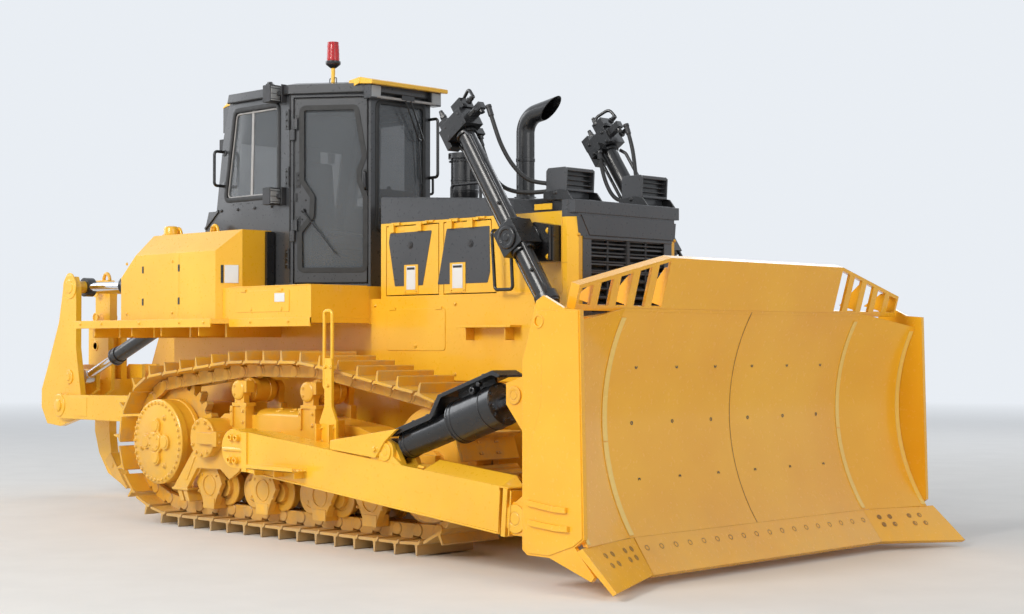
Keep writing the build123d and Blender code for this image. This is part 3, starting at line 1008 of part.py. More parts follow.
with BuildPart() as cab_shell:
    slab(cab_plan(0), CAB_FLOOR_Z, CAB_EAVES_Z)
    prism(behind_cab(0), -wall_y, wall_y, mode=Mode.SUBTRACT)
    prism(CAB_BASE, -CAB_HALF_WIDTH, CAB_HALF_WIDTH)
    add(cab_room.part, mode=Mode.SUBTRACT)
    for side in SIDES:
        doorway = (door_span[0] - CAB_DOOR_GAP, door_span[1] + CAB_DOOR_GAP)
        heights = (CAB_DOOR_Z[0] - CAB_DOOR_GAP, CAB_DOOR_Z[1] + CAB_DOOR_GAP)
        door_panel(side, doorway, heights, -OVERCUT, CAB_WALL + 4 * OVERCUT, Mode.SUBTRACT)
        side_window(*span(side, CAB_HALF_WIDTH - CAB_WALL - OVERCUT, wall_y), mode=Mode.SUBTRACT)
    front_window(CAB_FRONT_X - CAB_WALL - OVERCUT, CAB_FRONT_X + OVERCUT, mode=Mode.SUBTRACT)
    opening = rear_band(REAR_WINDOW_Z, -4 * OVERCUT, CAB_WALL + 4 * OVERCUT)
    prism(opening, -REAR_WINDOW_HALF, REAR_WINDOW_HALF, mode=Mode.SUBTRACT)
    for side in SIDES:
        for z in CAB_HINGE_Z:
            knuckle_z = (z - CAB_HINGE_HEIGHT, z - CAB_HINGE_GAP)
            door_panel(side, CAB_POST_LEAF, knuckle_z, leaf_depth, CAB_LEAF_DEPTH)
            post(*door_hinge(side), CAB_HINGE_R, z - CAB_HINGE_HEIGHT, z + CAB_HINGE_HEIGHT)
            post(*door_hinge(side), CAB_HINGE_R + CAB_KNUCKLE_T, *knuckle_z)
save("cab_shell", cab_shell.part)

glass_depth = CAB_WALL / 2
with BuildPart() as cab_glass:
    for side in SIDES:
        side_window(*span(side, CAB_HALF_WIDTH - glass_depth, CAB_HALF_WIDTH - glass_depth + GLASS_T))
    front_window(CAB_FRONT_X - glass_depth, CAB_FRONT_X - glass_depth + GLASS_T)
    rear_pane = rear_band(REAR_WINDOW_Z, glass_depth, glass_depth + GLASS_T)
    prism(rear_pane, -REAR_WINDOW_HALF, REAR_WINDOW_HALF)
save("cab_glass", cab_glass.part)

for side in SIDES:
    with BuildPart() as cab_door:
        door_panel(side, door_span, CAB_DOOR_Z, 0, DOOR_T)
        door_window(side, -OVERCUT, CAB_WALL + 2 * OVERCUT, Mode.SUBTRACT)
        for z in CAB_HINGE_Z:
            knuckle_z = (z + CAB_HINGE_GAP, z + CAB_HINGE_HEIGHT)
            leaf_run = (CAB_HINGE_RUN + CAB_HINGE_GAP, door_span[0] + CAB_LEAF_RUN)
            door_panel(side, leaf_run, knuckle_z, leaf_depth, CAB_LEAF_DEPTH)
            post(*door_hinge(side), CAB_HINGE_R + CAB_KNUCKLE_T, *knuckle_z)
            post(*door_hinge(side), CAB_HINGE_R + PIN_GAP, z, z + CAB_HINGE_HEIGHT + 1, mode=Mode.SUBTRACT)
    save(f"cab_door_{SIDE_NAMES[side]}", cab_door.part)
    with BuildPart() as door_glass:
        door_window(side, DOOR_GLASS_DEPTH, GLASS_T)
    save(f"door_glass_{SIDE_NAMES[side]}", door_glass.part)

roof_top = CAB_EAVES_Z + CAB_ROOF_T
roof_y = wall_y + ROOF_OVERHANG
with BuildPart() as cab_roof:
    slab(cab_plan(-ROOF_OVERHANG), CAB_EAVES_Z, roof_top)
    prism(rear_band((CAB_EAVES_Z, roof_top), -CAB_HALF_WIDTH, 0), -roof_y, roof_y, mode=Mode.SUBTRACT)
save("cab_roof", cab_roof.part)

with BuildPart() as sun_visor:
    prism(
        ((VISOR_X[1], roof_top), (VISOR_X[2], roof_top - VISOR_DROP), (VISOR_X[2], roof_top + VISOR_TIP),
         (VISOR_X[0], roof_top + VISOR_RISE), (VISOR_X[0], roof_top)),
        -VISOR_HALF_WIDTH, VISOR_HALF_WIDTH,
    )
    add(cab_roof.part, mode=Mode.SUBTRACT)
save("sun_visor", sun_visor.part)

with BuildPart() as aircon:
    eaves_x = cab_rear_x(CAB_EAVES_Z)
    prism(
        ((AIRCON_REAR_X, AIRCON_Z[0]), (cab_rear_x(AIRCON_Z[0]), AIRCON_Z[0]), (eaves_x, CAB_EAVES_Z),
         (eaves_x + AIRCON_LAP, CAB_EAVES_Z), (cab_rear_x(roof_top) + AIRCON_LAP, AIRCON_Z[1]),
         (AIRCON_REAR_X + AIRCON_SLOPE[0], AIRCON_Z[1]), (AIRCON_REAR_X, AIRCON_Z[1] - AIRCON_SLOPE[1])),
        -AIRCON_HALF_WIDTH, AIRCON_HALF_WIDTH,
    )
    add(cab_roof.part, mode=Mode.SUBTRACT)
save("aircon", aircon.part)

with BuildPart() as beacon:
    lens_z = roof_top + BEACON_HEIGHT - BEACON_LENS_H
    post(BEACON_X, BEACON_Y, BEACON_POLE_R, roof_top, lens_z)
    post(BEACON_X, BEACON_Y, BEACON_CONE_R, lens_z - BEACON_CONE_H, lens_z)
    post(BEACON_X, BEACON_Y, BEACON_LENS_R, lens_z, lens_z + BEACON_LENS_H)
save("beacon", beacon.part)

floor_z = CAB_FLOOR_Z + CAB_FLOOR_T
with BuildPart() as seat:
    below = 0.0
    for rear, front, half, top in (SEAT_FOOT, SEAT_CUSHION):
        block((rear, front), (-half, half), (floor_z + below, floor_z + top))
        below = top
    prism([(x, floor_z + height) for x, height in SEAT_BACK], -SEAT_BACK_HALF, SEAT_BACK_HALF)
save("seat", seat.part)

with BuildPart() as console:
    prism([(x, floor_z + height) for x, height in CONSOLE], -CONSOLE_HALF, CONSOLE_HALF)
    for side in SIDES:
        block(ARMBOX_X, span(side, *ARMBOX_Y), (floor_z, floor_z + ARMBOX_H))
save("console", console.part)

# ---------------------------------------------------------------- rails and handles
def loop(points, bend, tube):
    """A round bar bent along a path of points in space."""
    with BuildLine() as path:
        FilletPolyline(*points, radius=bend)
    way = path.wires()[0]
    with BuildSketch(Plane(origin=way @ 0, z_dir=way % 0)) as section:
        Circle(tube)
    sweep(section.sketch, path=way)


with BuildPart() as grab_rails:
    for side in SIDES:
        wall = side * (CAB_HALF_WIDTH + SEAT_GAP)
        out = side * (CAB_HALF_WIDTH + RAIL_REACH)
        x, (low, high) = CAB_RAIL_X, CAB_RAIL_Z
        loop(((x, wall, high), (x, out, high), (x, out, low), (x, wall, low)), RAIL_BEND, RAIL_R)
        # bent handle beside the lift cylinder's bracket
        x, (low, high) = HOOD_RAIL_X, HOOD_RAIL_Z
        wall = side * (HOOD_HALF_WIDTH + SEAT_GAP)
        out = side * HOOD_RAIL_Y
        front_z, (rear_lean, front_lean) = high - HOOD_RAIL_DROP, HOOD_RAIL_LEAN
        loop(
            ((x[1], wall, front_z), (x[1], out, front_z), (x[1] + front_lean, out, low),
             (x[0] + rear_lean, out, low), (x[0], out, high), (x[0], wall, high)),
            RAIL_BEND, RAIL_R,
        )
    # rail on the left front corner of the cab
    front, (low, high) = CAB_FRONT_X + SEAT_GAP, FRONT_RAIL_Z
    loop(((front, FRONT_RAIL_Y, high), (front + RAIL_REACH, FRONT_RAIL_Y, high),
          (front + RAIL_REACH, FRONT_RAIL_Y, low), (front, FRONT_RAIL_Y, low)), RAIL_BEND, RAIL_R)
    # rail beside the precleaner
    base = [hood_top_z(x - RAIL_R) + SEAT_GAP for x in HOOD_TOP_RAIL_X]
    top = HOOD_REAR_TOP_Z + HOOD_TOP_RAIL_UP
    x = HOOD_TOP_RAIL_X
    loop(((x[0], HOOD_TOP_RAIL_Y, base[0]), (x[0], HOOD_TOP_RAIL_Y, top), (x[1], HOOD_TOP_RAIL_Y, top),
          (x[1], HOOD_TOP_RAIL_Y, base[1])), RAIL_BEND, RAIL_R)
save("grab_rails", grab_rails.part)

handle_foot_z, handle_shoulder_z, handle_plate_z, handle_loop_z = HANDLE_Z
handle_neck_z = handle_shoulder_z + HANDLE_NECK
handle_half_outline = (             # half width, height
    (HANDLE_WIDE, handle_foot_z), (HANDLE_WIDE, handle_shoulder_z), (HANDLE_HALF, handle_neck_z),
    (HANDLE_HALF, handle_plate_z),
)
with BuildPart() as side_handles:
    for side in SIDES:
        right_edge = [(HANDLE_X + half, z) for half, z in handle_half_outline]
        left_edge = [(HANDLE_X - half, z) for half, z in reversed(handle_half_outline)]
        prism(right_edge + left_edge, *span(side, HANDLE_Y, HANDLE_Y + HANDLE_T))
        bracket_y = span(side, TRACK_Y + FRAME_HALF_WIDTH, HANDLE_Y + 1)
        rear, front = HANDLE_X - HANDLE_WIDE, HANDLE_X + HANDLE_WIDE
        block((rear, front), bracket_y, (handle_foot_z, handle_foot_z + HANDLE_FOOT_H))
        block((rear, rear + HANDLE_RIB_T), bracket_y, (handle_foot_z, handle_shoulder_z))
        y = side * (HANDLE_Y + HANDLE_T / 2)
        front_x, rear_x, end_x = (HANDLE_X + reach for reach in HANDLE_LOOP_X)
        front_z, rear_z, end_z = (handle_plate_z - down for down in HANDLE_LOOP_DOWN)
        loop(
            ((front_x, y, front_z), (front_x, y, handle_loop_z), (rear_x, y, handle_loop_z),
             (rear_x, y, rear_z), (end_x, y, end_z)),
            HANDLE_BEND, RAIL_R,
        )
save("side_handles", side_handles.part)


# ---------------------------------------------------------------- push arms
tilt_way = unit((TILT_REAR_X, TILT_REAR_Z), (TILT_FRONT_X, TILT_FRONT_Z))
tilt_length = math.dist((TILT_REAR_X, TILT_REAR_Z), (TILT_FRONT_X, TILT_FRONT_Z))
tilt_ears = (TILT_EYE_W / 2 + PLAY, TILT_EYE_W / 2 + PLAY + EAR_T)     # from the cylinder's middle
with BuildPart() as push_arms:
    for side in SIDES:
        prism(
            ((ARM_REAR_X, ARM_REAR_Z[0]), (ARM_FRONT_X, ARM_FRONT_Z[0]), (ARM_FRONT_X, ARM_FRONT_Z[1]),
             (ARM_REAR_X, ARM_REAR_Z[1])),
            *span(side, ARM_INNER_Y, ARM_OUTER_Y),
        )
        flange_x = ARM_REAR_X - ARM_FLANGE_T
        block((flange_x, ARM_REAR_X), span(side, ARM_INNER_Y, ARM_OUTER_Y + ARM_FLANGE_RIM), ARM_REAR_Z)
        socket_y = span(side, ARM_INNER_Y, SOCKET_OUTER_Y)
        prism(
            ((TRUNNION_X, TRUNNION_Z - SOCKET_R), (flange_x, SOCKET_ROOT_Z[0]), (flange_x, SOCKET_ROOT_Z[1]),
             (TRUNNION_X, TRUNNION_Z + SOCKET_R)),
            *socket_y,
        )
        disc(TRUNNION_X, TRUNNION_Z, SOCKET_R, *socket_y)
        bore_y = span(side, ARM_INNER_Y - 1, SOCKET_OUTER_Y - TRUNNION_BOTTOM)
        disc(TRUNNION_X, TRUNNION_Z, TRUNNION_R + PIN_GAP, *bore_y, mode=Mode.SUBTRACT)
        eye_y = span(side, *ARM_EYE_Y)
        eye_z = (BLADE_PIN_Z - ARM_EYE_R, BLADE_PIN_Z + ARM_EYE_R)
        block((ARM_FRONT_X - ARM_EYE_ROOT, BLADE_PIN_X), eye_y, eye_z)
        disc(BLADE_PIN_X, BLADE_PIN_Z, ARM_EYE_R, *eye_y)
        disc(BLADE_PIN_X, BLADE_PIN_Z, BLADE_PIN_R + PIN_GAP, *eye_y, mode=Mode.SUBTRACT)
        for ear in (-1, 1):
            near, far = sorted(side * TILT_Y + ear * reach for reach in tilt_ears)
            prism([(TILT_REAR_X + run, TILT_REAR_Z + rise) for run, rise in ARM_EAR], near, far)
        # room for the cylinder's eye as it turns, then the pin through it
        between_ears = span(side, TILT_Y - tilt_ears[0], TILT_Y + tilt_ears[0])
        disc(TILT_REAR_X, TILT_REAR_Z, TILT_EYE_R + PLAY, *between_ears, mode=Mode.SUBTRACT)
        disc(TILT_REAR_X, TILT_REAR_Z, TILT_PIN_R, *span(side, TILT_Y - tilt_ears[1], TILT_Y + tilt_ears[1]))
save("push_arms", push_arms.part)

tilt_start = (TILT_REAR_X, TILT_REAR_Z)
tilt_cover = [
    (TILT_REAR_X + tilt_way[0] * run - tilt_way[1] * rise, TILT_REAR_Z + tilt_way[1] * run + tilt_way[0] * rise)
    for run, rise in TILT_COVER
]
with BuildPart() as tilt_barrels:
    for side in SIDES:
        middle = side * TILT_Y
        eye_y = (middle - TILT_EYE_W / 2, middle + TILT_EYE_W / 2)
        disc(*tilt_start, TILT_EYE_R, *eye_y)
        neck_start, neck_end, neck_half = TILT_NECK
        bar_between(tilt_start, tilt_way, *eye_y, neck_start, neck_end, -neck_half, neck_half)
        along(tilt_start, tilt_way, middle, TILT_TUBE_START, TILT_BARREL_END, TILT_BARREL_R)
        along(tilt_start, tilt_way, middle, TILT_HEAD_START, TILT_BARREL_END, TILT_HEAD_R)
        prism(tilt_cover, middle - TILT_COVER_HALF, middle + TILT_COVER_HALF)
        for rib in TILT_RIBS:
            bar_between(tilt_start, tilt_way, middle - TILT_RIB_HALF, middle + TILT_RIB_HALF, *rib)
        bore = (TILT_BORE_START, TILT_BARREL_END + 1, TILT_ROD_R + ROD_GAP)
        along(tilt_start, tilt_way, middle, *bore, Mode.SUBTRACT)
        disc(*tilt_start, TILT_PIN_R + PIN_GAP, middle - TILT_EYE_W, middle + TILT_EYE_W, mode=Mode.SUBTRACT)
save("tilt_barrels", tilt_barrels.part)

with BuildPart() as tilt_rods:
    for side in SIDES:
        middle = side * TILT_Y
        along(tilt_start, tilt_way, middle, TILT_HEAD_START, tilt_length - ROD_EYE_LAP, TILT_ROD_R)
        disc(TILT_FRONT_X, TILT_FRONT_Z, TILT_EYE_R, middle - TILT_EYE_W / 2, middle + TILT_EYE_W / 2)
save("tilt_rods", tilt_rods.part)


# ---------------------------------------------------------------- blade
def mold_face(depth):
    """Three points on the moldboard's section, moved back from its front face."""
    return (
        (MOLD_TOP_X - depth, MOLD_TOP_Z), (MOLD_MID_X - depth, MOLD_MID_Z),
        (MOLD_BOTTOM_X - depth, MOLD_BOTTOM_Z),
    )


wing_rise = math.tan(math.radians(WING_TOE_DEG))
far_ahead_x = BIT_TIP_X + OVERCUT


def curved_board(front, back, mode=Mode.ADD):
    """The moldboard's sweep between two section faces: a straight middle and two wings toed forward.

    front is three points of an arc, or None for everything ahead of the back face.
    """
    for side in SIDES:
        with BuildSketch(Plane.XZ.offset(-side * WING_KINK_Y)) as section:
            with BuildLine():
                ThreePointArc(*back)
                if front:
                    Line(back[2], front[2])
                    ThreePointArc(*reversed(front))
                    Line(front[0], back[0])
                else:
                    Polyline(back[2], (far_ahead_x, back[2][1]), (far_ahead_x, back[0][1]), back[0])
            make_face()
        if side < 0:
            extrude(section.sketch, amount=-2 * WING_KINK_Y, mode=mode)
        wing_way = Vector(wing_rise, side, 0)
        reach = (END_PLATE_Y - WING_KINK_Y) * wing_way.length
        extrude(section.sketch, amount=reach, dir=wing_way, mode=mode)


def trim_over_wings():
    """Cuts off what stands over the wings' sloping top edges."""
    for side in SIDES:
        kink_y, end_y = side * WING_KINK_Y, side * END_PLATE_Y
        frontal(
            ((kink_y, MOLD_TOP_Z), (end_y, MOLD_TOP_Z - WING_DROP), (end_y, MOLD_TOP_Z + OVERCUT),
             (kink_y, MOLD_TOP_Z + OVERCUT)),
            0, far_ahead_x, mode=Mode.SUBTRACT,
        )


with BuildPart() as moldboard:
    curved_board(mold_face(0), mold_face(MOLD_T))
    trim_over_wings()
    # spill guard: a leaning plate with slots at both ends, and a broad rim along its top edge
    lean = math.radians(GUARD_LEAN_DEG)
    guard_plane = Plane(
        origin=(MOLD_TOP_X - GUARD_SETBACK, 0, MOLD_TOP_Z),
        x_dir=(0, 1, 0), z_dir=(math.cos(lean), 0, -math.sin(lean)),
    )
    top_run = (GUARD_TOP_Z - MOLD_TOP_Z) / math.cos(lean)
    end_run = (GUARD_END_Z - MOLD_TOP_Z) / math.cos(lean)
    drop = (top_run - end_run) / (GUARD_END_Y - GUARD_SOLID_Y)
    with BuildSketch(guard_plane) as guard_face:
        with BuildLine():
            Polyline(
                (-GUARD_END_Y, -GUARD_SINK), (GUARD_END_Y, -GUARD_SINK), (GUARD_END_Y, end_run),
                (GUARD_SOLID_Y, top_run), (-GUARD_SOLID_Y, top_run), (-GUARD_END_Y, end_run), close=True,
            )
        make_face()
        slotted = GUARD_END_Y - GUARD_RIM - GUARD_SOLID_Y
        slot_width = (slotted - (GUARD_SLOTS - 1) * GUARD_BAR) / GUARD_SLOTS
        for side in SIDES:
            for slot in range(GUARD_SLOTS):
                near = GUARD_SOLID_Y + slot * (slot_width + GUARD_BAR)
                far = near + slot_width
                high_near = top_run - drop * (near - GUARD_SOLID_Y) - GUARD_RIM
                high_far = top_run - drop * (far - GUARD_SOLID_Y) - GUARD_RIM
                near, far = side * near, side * far
                with BuildLine():
                    Polyline(
                        (near, GUARD_SILL), (far, GUARD_SILL), (far, high_far), (near, high_near), close=True,
                    )
                make_face(mode=Mode.SUBTRACT)
    extrude(guard_face.sketch, amount=-GUARD_T)
    rim_line = (
        (-GUARD_END_Y, -GUARD_SINK), (-GUARD_END_Y, end_run), (-GUARD_SOLID_Y, top_run),
        (GUARD_SOLID_Y, top_run), (GUARD_END_Y, end_run), (GUARD_END_Y, -GUARD_SINK),
    )
    inner_share = 1 - GUARD_RIM / GUARD_END_Y
    inner_line = [(y * inner_share, height - GUARD_RIM * (height > 0)) for y, height in reversed(rim_line)]
    with BuildSketch(guard_plane) as guard_rim:
        with BuildLine():
            Polyline(*rim_line, *inner_line, close=True)
        make_face()
    extrude(guard_rim.sketch, amount=-GUARD_RIM_DEPTH)
save("moldboard", moldboard.part)

with BuildPart() as end_plates:
    for side in SIDES:
        plate_y = span(side, END_PLATE_Y, END_PLATE_Y + END_PLATE_T)
        prism(END_PLATE, *plate_y)
        disc(LIFT_HOLE_X, LIFT_HOLE_Z, LIFT_HOLE_R, *plate_y, mode=Mode.SUBTRACT)
save("end_plates", end_plates.part)

with BuildPart() as cutting_edge:
    edge_way = unit((MOLD_BOTTOM_X, MOLD_BOTTOM_Z), (EDGE_X, EDGE_Z))
    edge_length = math.dist((MOLD_BOTTOM_X, MOLD_BOTTOM_Z), (EDGE_X, EDGE_Z))
    edge_y = (-EDGE_HALF_WIDTH, EDGE_HALF_WIDTH)
    bar_between((MOLD_BOTTOM_X, MOLD_BOTTOM_Z), edge_way, *edge_y, 0, edge_length, -EDGE_T, 0)
save("cutting_edge", cutting_edge.part)

low_back, high_back = BIT_INNER_BACK
with BuildPart() as end_bits:
    for side in SIDES:
        inner_section = (
            (MOLD_BOTTOM_X - OVERCUT, MOLD_BOTTOM_Z), (EDGE_X, EDGE_Z),
            (EDGE_X - low_back[0], EDGE_Z - low_back[1]),
            (MOLD_BOTTOM_X - high_back[0], MOLD_BOTTOM_Z - high_back[1]),
        )
        outer_section = (
            (BIT_TOP_X, MOLD_BOTTOM_Z), (BIT_TIP_X, BIT_TIP_Z + BIT_TIP_T),
            (BIT_TIP_X - BIT_OUTER_BACK[0], BIT_TIP_Z),
            (BIT_TOP_X - BIT_OUTER_BACK[1], MOLD_BOTTOM_Z - high_back[1]),
        )
        sections = []
        for y, corners in ((EDGE_HALF_WIDTH + BIT_INNER_GAP, inner_section), (BIT_TIP_Y, outer_section)):
            with BuildSketch(Plane.XZ.offset(-side * y)) as bit_section:
                with BuildLine():
                    Polyline(*corners, close=True)
                make_face()
            sections.append(bit_section.sketch)
        loft(sections, ruled=True)
save("end_bits", end_bits.part)

lift_ears = (LIFT_EYE_W / 2 + PLAY, LIFT_EYE_W / 2 + PLAY + EAR_T)     # from the cylinder's middle
plate_end_x = MOLD_BOTTOM_X + FRAME_LAP
arm_ears = (
    (ARM_EYE_Y[0] - PLAY - EAR_T, ARM_EYE_Y[0] - PLAY), (ARM_EYE_Y[1] + PLAY, ARM_EYE_Y[1] + PLAY + EAR_T),
)
tilt_ear = [(TILT_FRONT_X + run, TILT_FRONT_Z + rise) for run, rise in TILT_EAR]
lift_ear = [(LIFT_EYE_X + run, LIFT_EYE_Z + rise) for run, rise in LIFT_EAR]
lift_root_x, lift_root_low, lift_root_high = LIFT_EAR_FRONT
with BuildPart() as blade_frame:
    beam_y = (-arm_ears[1][1], arm_ears[1][1])
    for rear_low, rear_high, front_low, front_high, rear_x in BLADE_BEAMS:
        prism(
            ((rear_x, rear_low), (plate_end_x, front_low), (plate_end_x, front_high), (rear_x, rear_high)),
            *beam_y,
        )
    for side in SIDES:
        for y in BLADE_RIB_Y:
            front_edge = [(plate_end_x, z) for z in BLADE_RIB_FRONT_Z]
            prism([*front_edge, *BLADE_RIB], *span(side, y, y + BLADE_RIB_T))
        # brackets for the push arms, the tilt cylinders and the lift cylinders
        for near, far in arm_ears:
            ear_y = span(side, near, far)
            low_z, high_z = PIN_EAR_FRONT_Z
            prism(
                ((BLADE_PIN_X, BLADE_PIN_Z - PIN_EAR_R), (plate_end_x, low_z), (plate_end_x, high_z),
                 (PIN_EAR_X, high_z), (BLADE_PIN_X, BLADE_PIN_Z + PIN_EAR_R)),
                *ear_y,
            )
            disc(BLADE_PIN_X, BLADE_PIN_Z, PIN_EAR_R, *ear_y)
        disc(BLADE_PIN_X, BLADE_PIN_Z, BLADE_PIN_R, *span(side, arm_ears[0][0], arm_ears[1][1]))
        low_front, high_front = TILT_EAR_FRONT
        for ear in (-1, 1):
            near, far = sorted(side * TILT_Y + ear * reach for reach in tilt_ears)
            prism(
                (tilt_ear[0], low_front, (plate_end_x, low_front[1]), (plate_end_x, high_front[1]),
                 high_front, tilt_ear[1]),
                near, far,
            )
            near, far = sorted(side * LIFT_Y + ear * reach for reach in lift_ears)
            prism(
                (lift_ear[0], (lift_root_x, lift_root_low), (plate_end_x, lift_root_low),
                 (plate_end_x, lift_root_high), lift_ear[1]),
                near, far,
            )
    curved_board(None, mold_face(MOLD_T), Mode.SUBTRACT)
    trim_over_wings()
save("blade_frame", blade_frame.part)

# ---------------------------------------------------------------- lift cylinders
yoke_bearing_y = (HOOD_HALF_WIDTH + YOKE_PIN_INSET, LIFT_Y - YOKE_HALF - YOKE_GAP)
lift_way = unit((YOKE_X, YOKE_Z), (LIFT_EYE_X, LIFT_EYE_Z))
lift_length = math.dist((YOKE_X, YOKE_Z), (LIFT_EYE_X, LIFT_EYE_Z))
yoke = (YOKE_X, YOKE_Z)


def along_barrel(reach, across):
    """The x and z of a point given along and across the lift barrel, from the yoke pin."""
    return (
        YOKE_X + lift_way[0] * reach - lift_way[1] * across,
        YOKE_Z + lift_way[1] * reach + lift_way[0] * across,
    )


def hose_start(side, elbow, tail):
    """The middle of a hose's elbow, and the direction in which the hose leaves it."""
    reach, across, y = elbow
    x, z = along_barrel(reach, across)
    middle = Vector(x, side * y, z)
    return middle, (Vector(tail[0][0], side * tail[0][1], tail[0][2]) - middle).normalized()


with BuildPart() as lift_barrels:
    for side in SIDES:
        y = side * LIFT_Y
        along(yoke, lift_way, y, -LIFT_BARREL_UP, LIFT_BARREL_DOWN, LIFT_BARREL_R)
        yoke_size = (-YOKE_HALF, YOKE_HALF, -YOKE_HALF, YOKE_HALF)
        bar_between(yoke, lift_way, y - YOKE_HALF, y + YOKE_HALF, *yoke_size)
        head_y = sorted(y + side * edge for edge in LIFT_HEAD_Y)
        bar_between(yoke, lift_way, *head_y, *LIFT_HEAD)
        for elbow, tail in zip(ELBOWS, HOSE_TAILS):
            middle, way = hose_start(side, elbow, tail)
            reach, across, elbow_y = elbow
            across_head = (min(across, LIFT_HEAD[3]) - ELBOW_HALF, across + ELBOW_HALF)
            y_span = span(side, elbow_y - ELBOW_HALF, max(elbow_y, LIFT_Y + LIFT_HEAD_Y[0]) + ELBOW_HALF)
            bar_between(yoke, lift_way, *y_span, reach - ELBOW_HALF, reach + ELBOW_HALF, *across_head)
            with BuildSketch(Plane(origin=middle, z_dir=way)) as stub:
                Circle(ELBOW_STUB_R)
            extrude(stub.sketch, amount=ELBOW_STUB)
        gland_r = LIFT_BARREL_R + LIFT_GLAND_T
        along(yoke, lift_way, y, LIFT_BARREL_DOWN - LIFT_GLAND_RUN, LIFT_BARREL_DOWN, gland_r)
        bore = (LIFT_BORE_INSET - LIFT_BARREL_UP, LIFT_BARREL_DOWN + 1, LIFT_ROD_R + ROD_GAP)
        along(yoke, lift_way, y, *bore, Mode.SUBTRACT)
        disc(YOKE_X, YOKE_Z, YOKE_PIN_R, *span(side, yoke_bearing_y[0], LIFT_Y - YOKE_HALF))
save("lift_barrels", lift_barrels.part)

with BuildPart() as lift_hoses:
    for side in SIDES:
        for elbow, tail in zip(ELBOWS, HOSE_TAILS):
            middle, way = hose_start(side, elbow, tail)
            route = [tuple(middle + way * (ELBOW_STUB + SEAT_GAP))]
            route += [(x, side * y, z) for x, y, z in tail]
            runs = [math.dist(a, b) for a, b in zip(route, route[1:])]
            radii = []
            for before, point, after in zip(route, route[1:], route[2:]):
                run_in, run_out = Vector(*point) - Vector(*before), Vector(*after) - Vector(*point)
                turn = math.radians(run_in.get_angle(run_out))
                shorter = min(math.dist(before, point), math.dist(point, after))
                radii.append(HOSE_BEND_SHARE * shorter / math.tan(turn / 2))
            with BuildLine() as hose_path:
                FilletPolyline(*route, radius=radii)
            way = hose_path.wires()[0]
            with BuildSketch(Plane(origin=way @ 0, z_dir=way % 0)) as hose_section:
                Circle(HOSE_R)
            sweep(hose_section.sketch, path=way)
            if side < 0:
                print("hose", round(way.length), "runs", [round(r) for r in runs])
                print("bends", [round(r) for r in radii])
save("lift_hoses", lift_hoses.part)

with BuildPart() as lift_rods:
    for side in SIDES:
        y = side * LIFT_Y
        along(yoke, lift_way, y, LIFT_ROD_INNER, lift_length - ROD_EYE_LAP, LIFT_ROD_R)
        disc(LIFT_EYE_X, LIFT_EYE_Z, LIFT_EYE_R, y - LIFT_EYE_W / 2, y + LIFT_EYE_W / 2)
save("lift_rods", lift_rods.part)

with BuildPart() as lift_yokes:
    for side in SIDES:
        bracket = [(YOKE_X + run, YOKE_Z + rise) for run, rise in YOKE_BRACKET]
        prism(bracket, *span(side, HOOD_HALF_WIDTH, yoke_bearing_y[1]))
        bore_y = span(side, yoke_bearing_y[0] - YOKE_BOTTOM, yoke_bearing_y[1] + 1)
        disc(YOKE_X, YOKE_Z, YOKE_PIN_R + PIN_GAP, *bore_y, mode=Mode.SUBTRACT)
save("lift_yokes", lift_yokes.part)

# ---------------------------------------------------------------- ripper
rip_low_x = RIP_HULL_X - RIP_LENGTH
rip_top_x = RIP_TOP_HULL_X - RIP_LENGTH
rip_eye_half = RIP_EYE_W / 2
hull_half, low_half, high_half = RIP_ARM_H
with BuildPart() as ripper_arm:
    for side in SIDES:
        arm_y = span(side, *RIP_ARM_Y)
        prism(
            ((rip_low_x, RIP_LOW_Z - low_half), (RIP_HULL_X, RIP_LOW_Z - hull_half),
             (RIP_HULL_X, RIP_LOW_Z + hull_half), (rip_low_x, RIP_LOW_Z + high_half)),
            *arm_y,
        )
        disc(rip_low_x, RIP_LOW_Z, RIP_ARM_BOSS_R, *arm_y)
        disc(RIP_HULL_X, RIP_LOW_Z, RIP_ARM_EYE_R, *arm_y)
        disc(RIP_HULL_X, RIP_LOW_Z, RIP_BASE_PIN_R + PIN_GAP, *arm_y, mode=Mode.SUBTRACT)
        disc(rip_low_x, RIP_LOW_Z, RIP_PIN_R + PIN_GAP, *arm_y, mode=Mode.SUBTRACT)
    rear, front, half = RIP_ARM_BEAM
    beam_y = (-RIP_ARM_Y[0] - 1, RIP_ARM_Y[0] + 1)
    block((RIP_HULL_X + rear, RIP_HULL_X + front), beam_y, (RIP_LOW_Z - half, RIP_LOW_Z + half))
save("ripper_arm", ripper_arm.part)

top_half, top_front, top_rear, top_rise = RIP_PLATE_TOP
frame_plate = (
    (rip_top_x - top_half, RIP_TOP_Z + top_rise), (rip_top_x + top_half, RIP_TOP_Z + top_rise),
    (rip_top_x + top_front, RIP_TOP_Z), *RIP_PLATE_FRONT, *RIP_PLATE_REAR, (rip_top_x - top_rear, RIP_TOP_Z),
)
with BuildPart() as ripper_frame:
    for side in SIDES:
        prism(frame_plate, *span(side, *RIP_PLATE_Y))
        disc(rip_low_x, RIP_LOW_Z, RIP_PIN_R, *span(side, RIP_PLATE_Y[0], RIP_ARM_Y[1] + RIP_PIN_OUT))
        for web_y in RIP_WEB_Y:
            prism(RIP_WEB, *span(side, *web_y))
        block(RIP_GUIDE_X, span(side, *RIP_GUIDE_Y), RIP_GUIDE_Z)
    cross_y = (-RIP_PLATE_Y[0], RIP_PLATE_Y[0])
    block(RIP_BACK_X, cross_y, RIP_BACK_Z)
    block(RIP_WALL_X, cross_y, RIP_WALL_Z)
    disc(rip_top_x, RIP_TOP_Z, RIP_TOP_TUBE_R, *cross_y)
save("ripper_frame", ripper_frame.part)

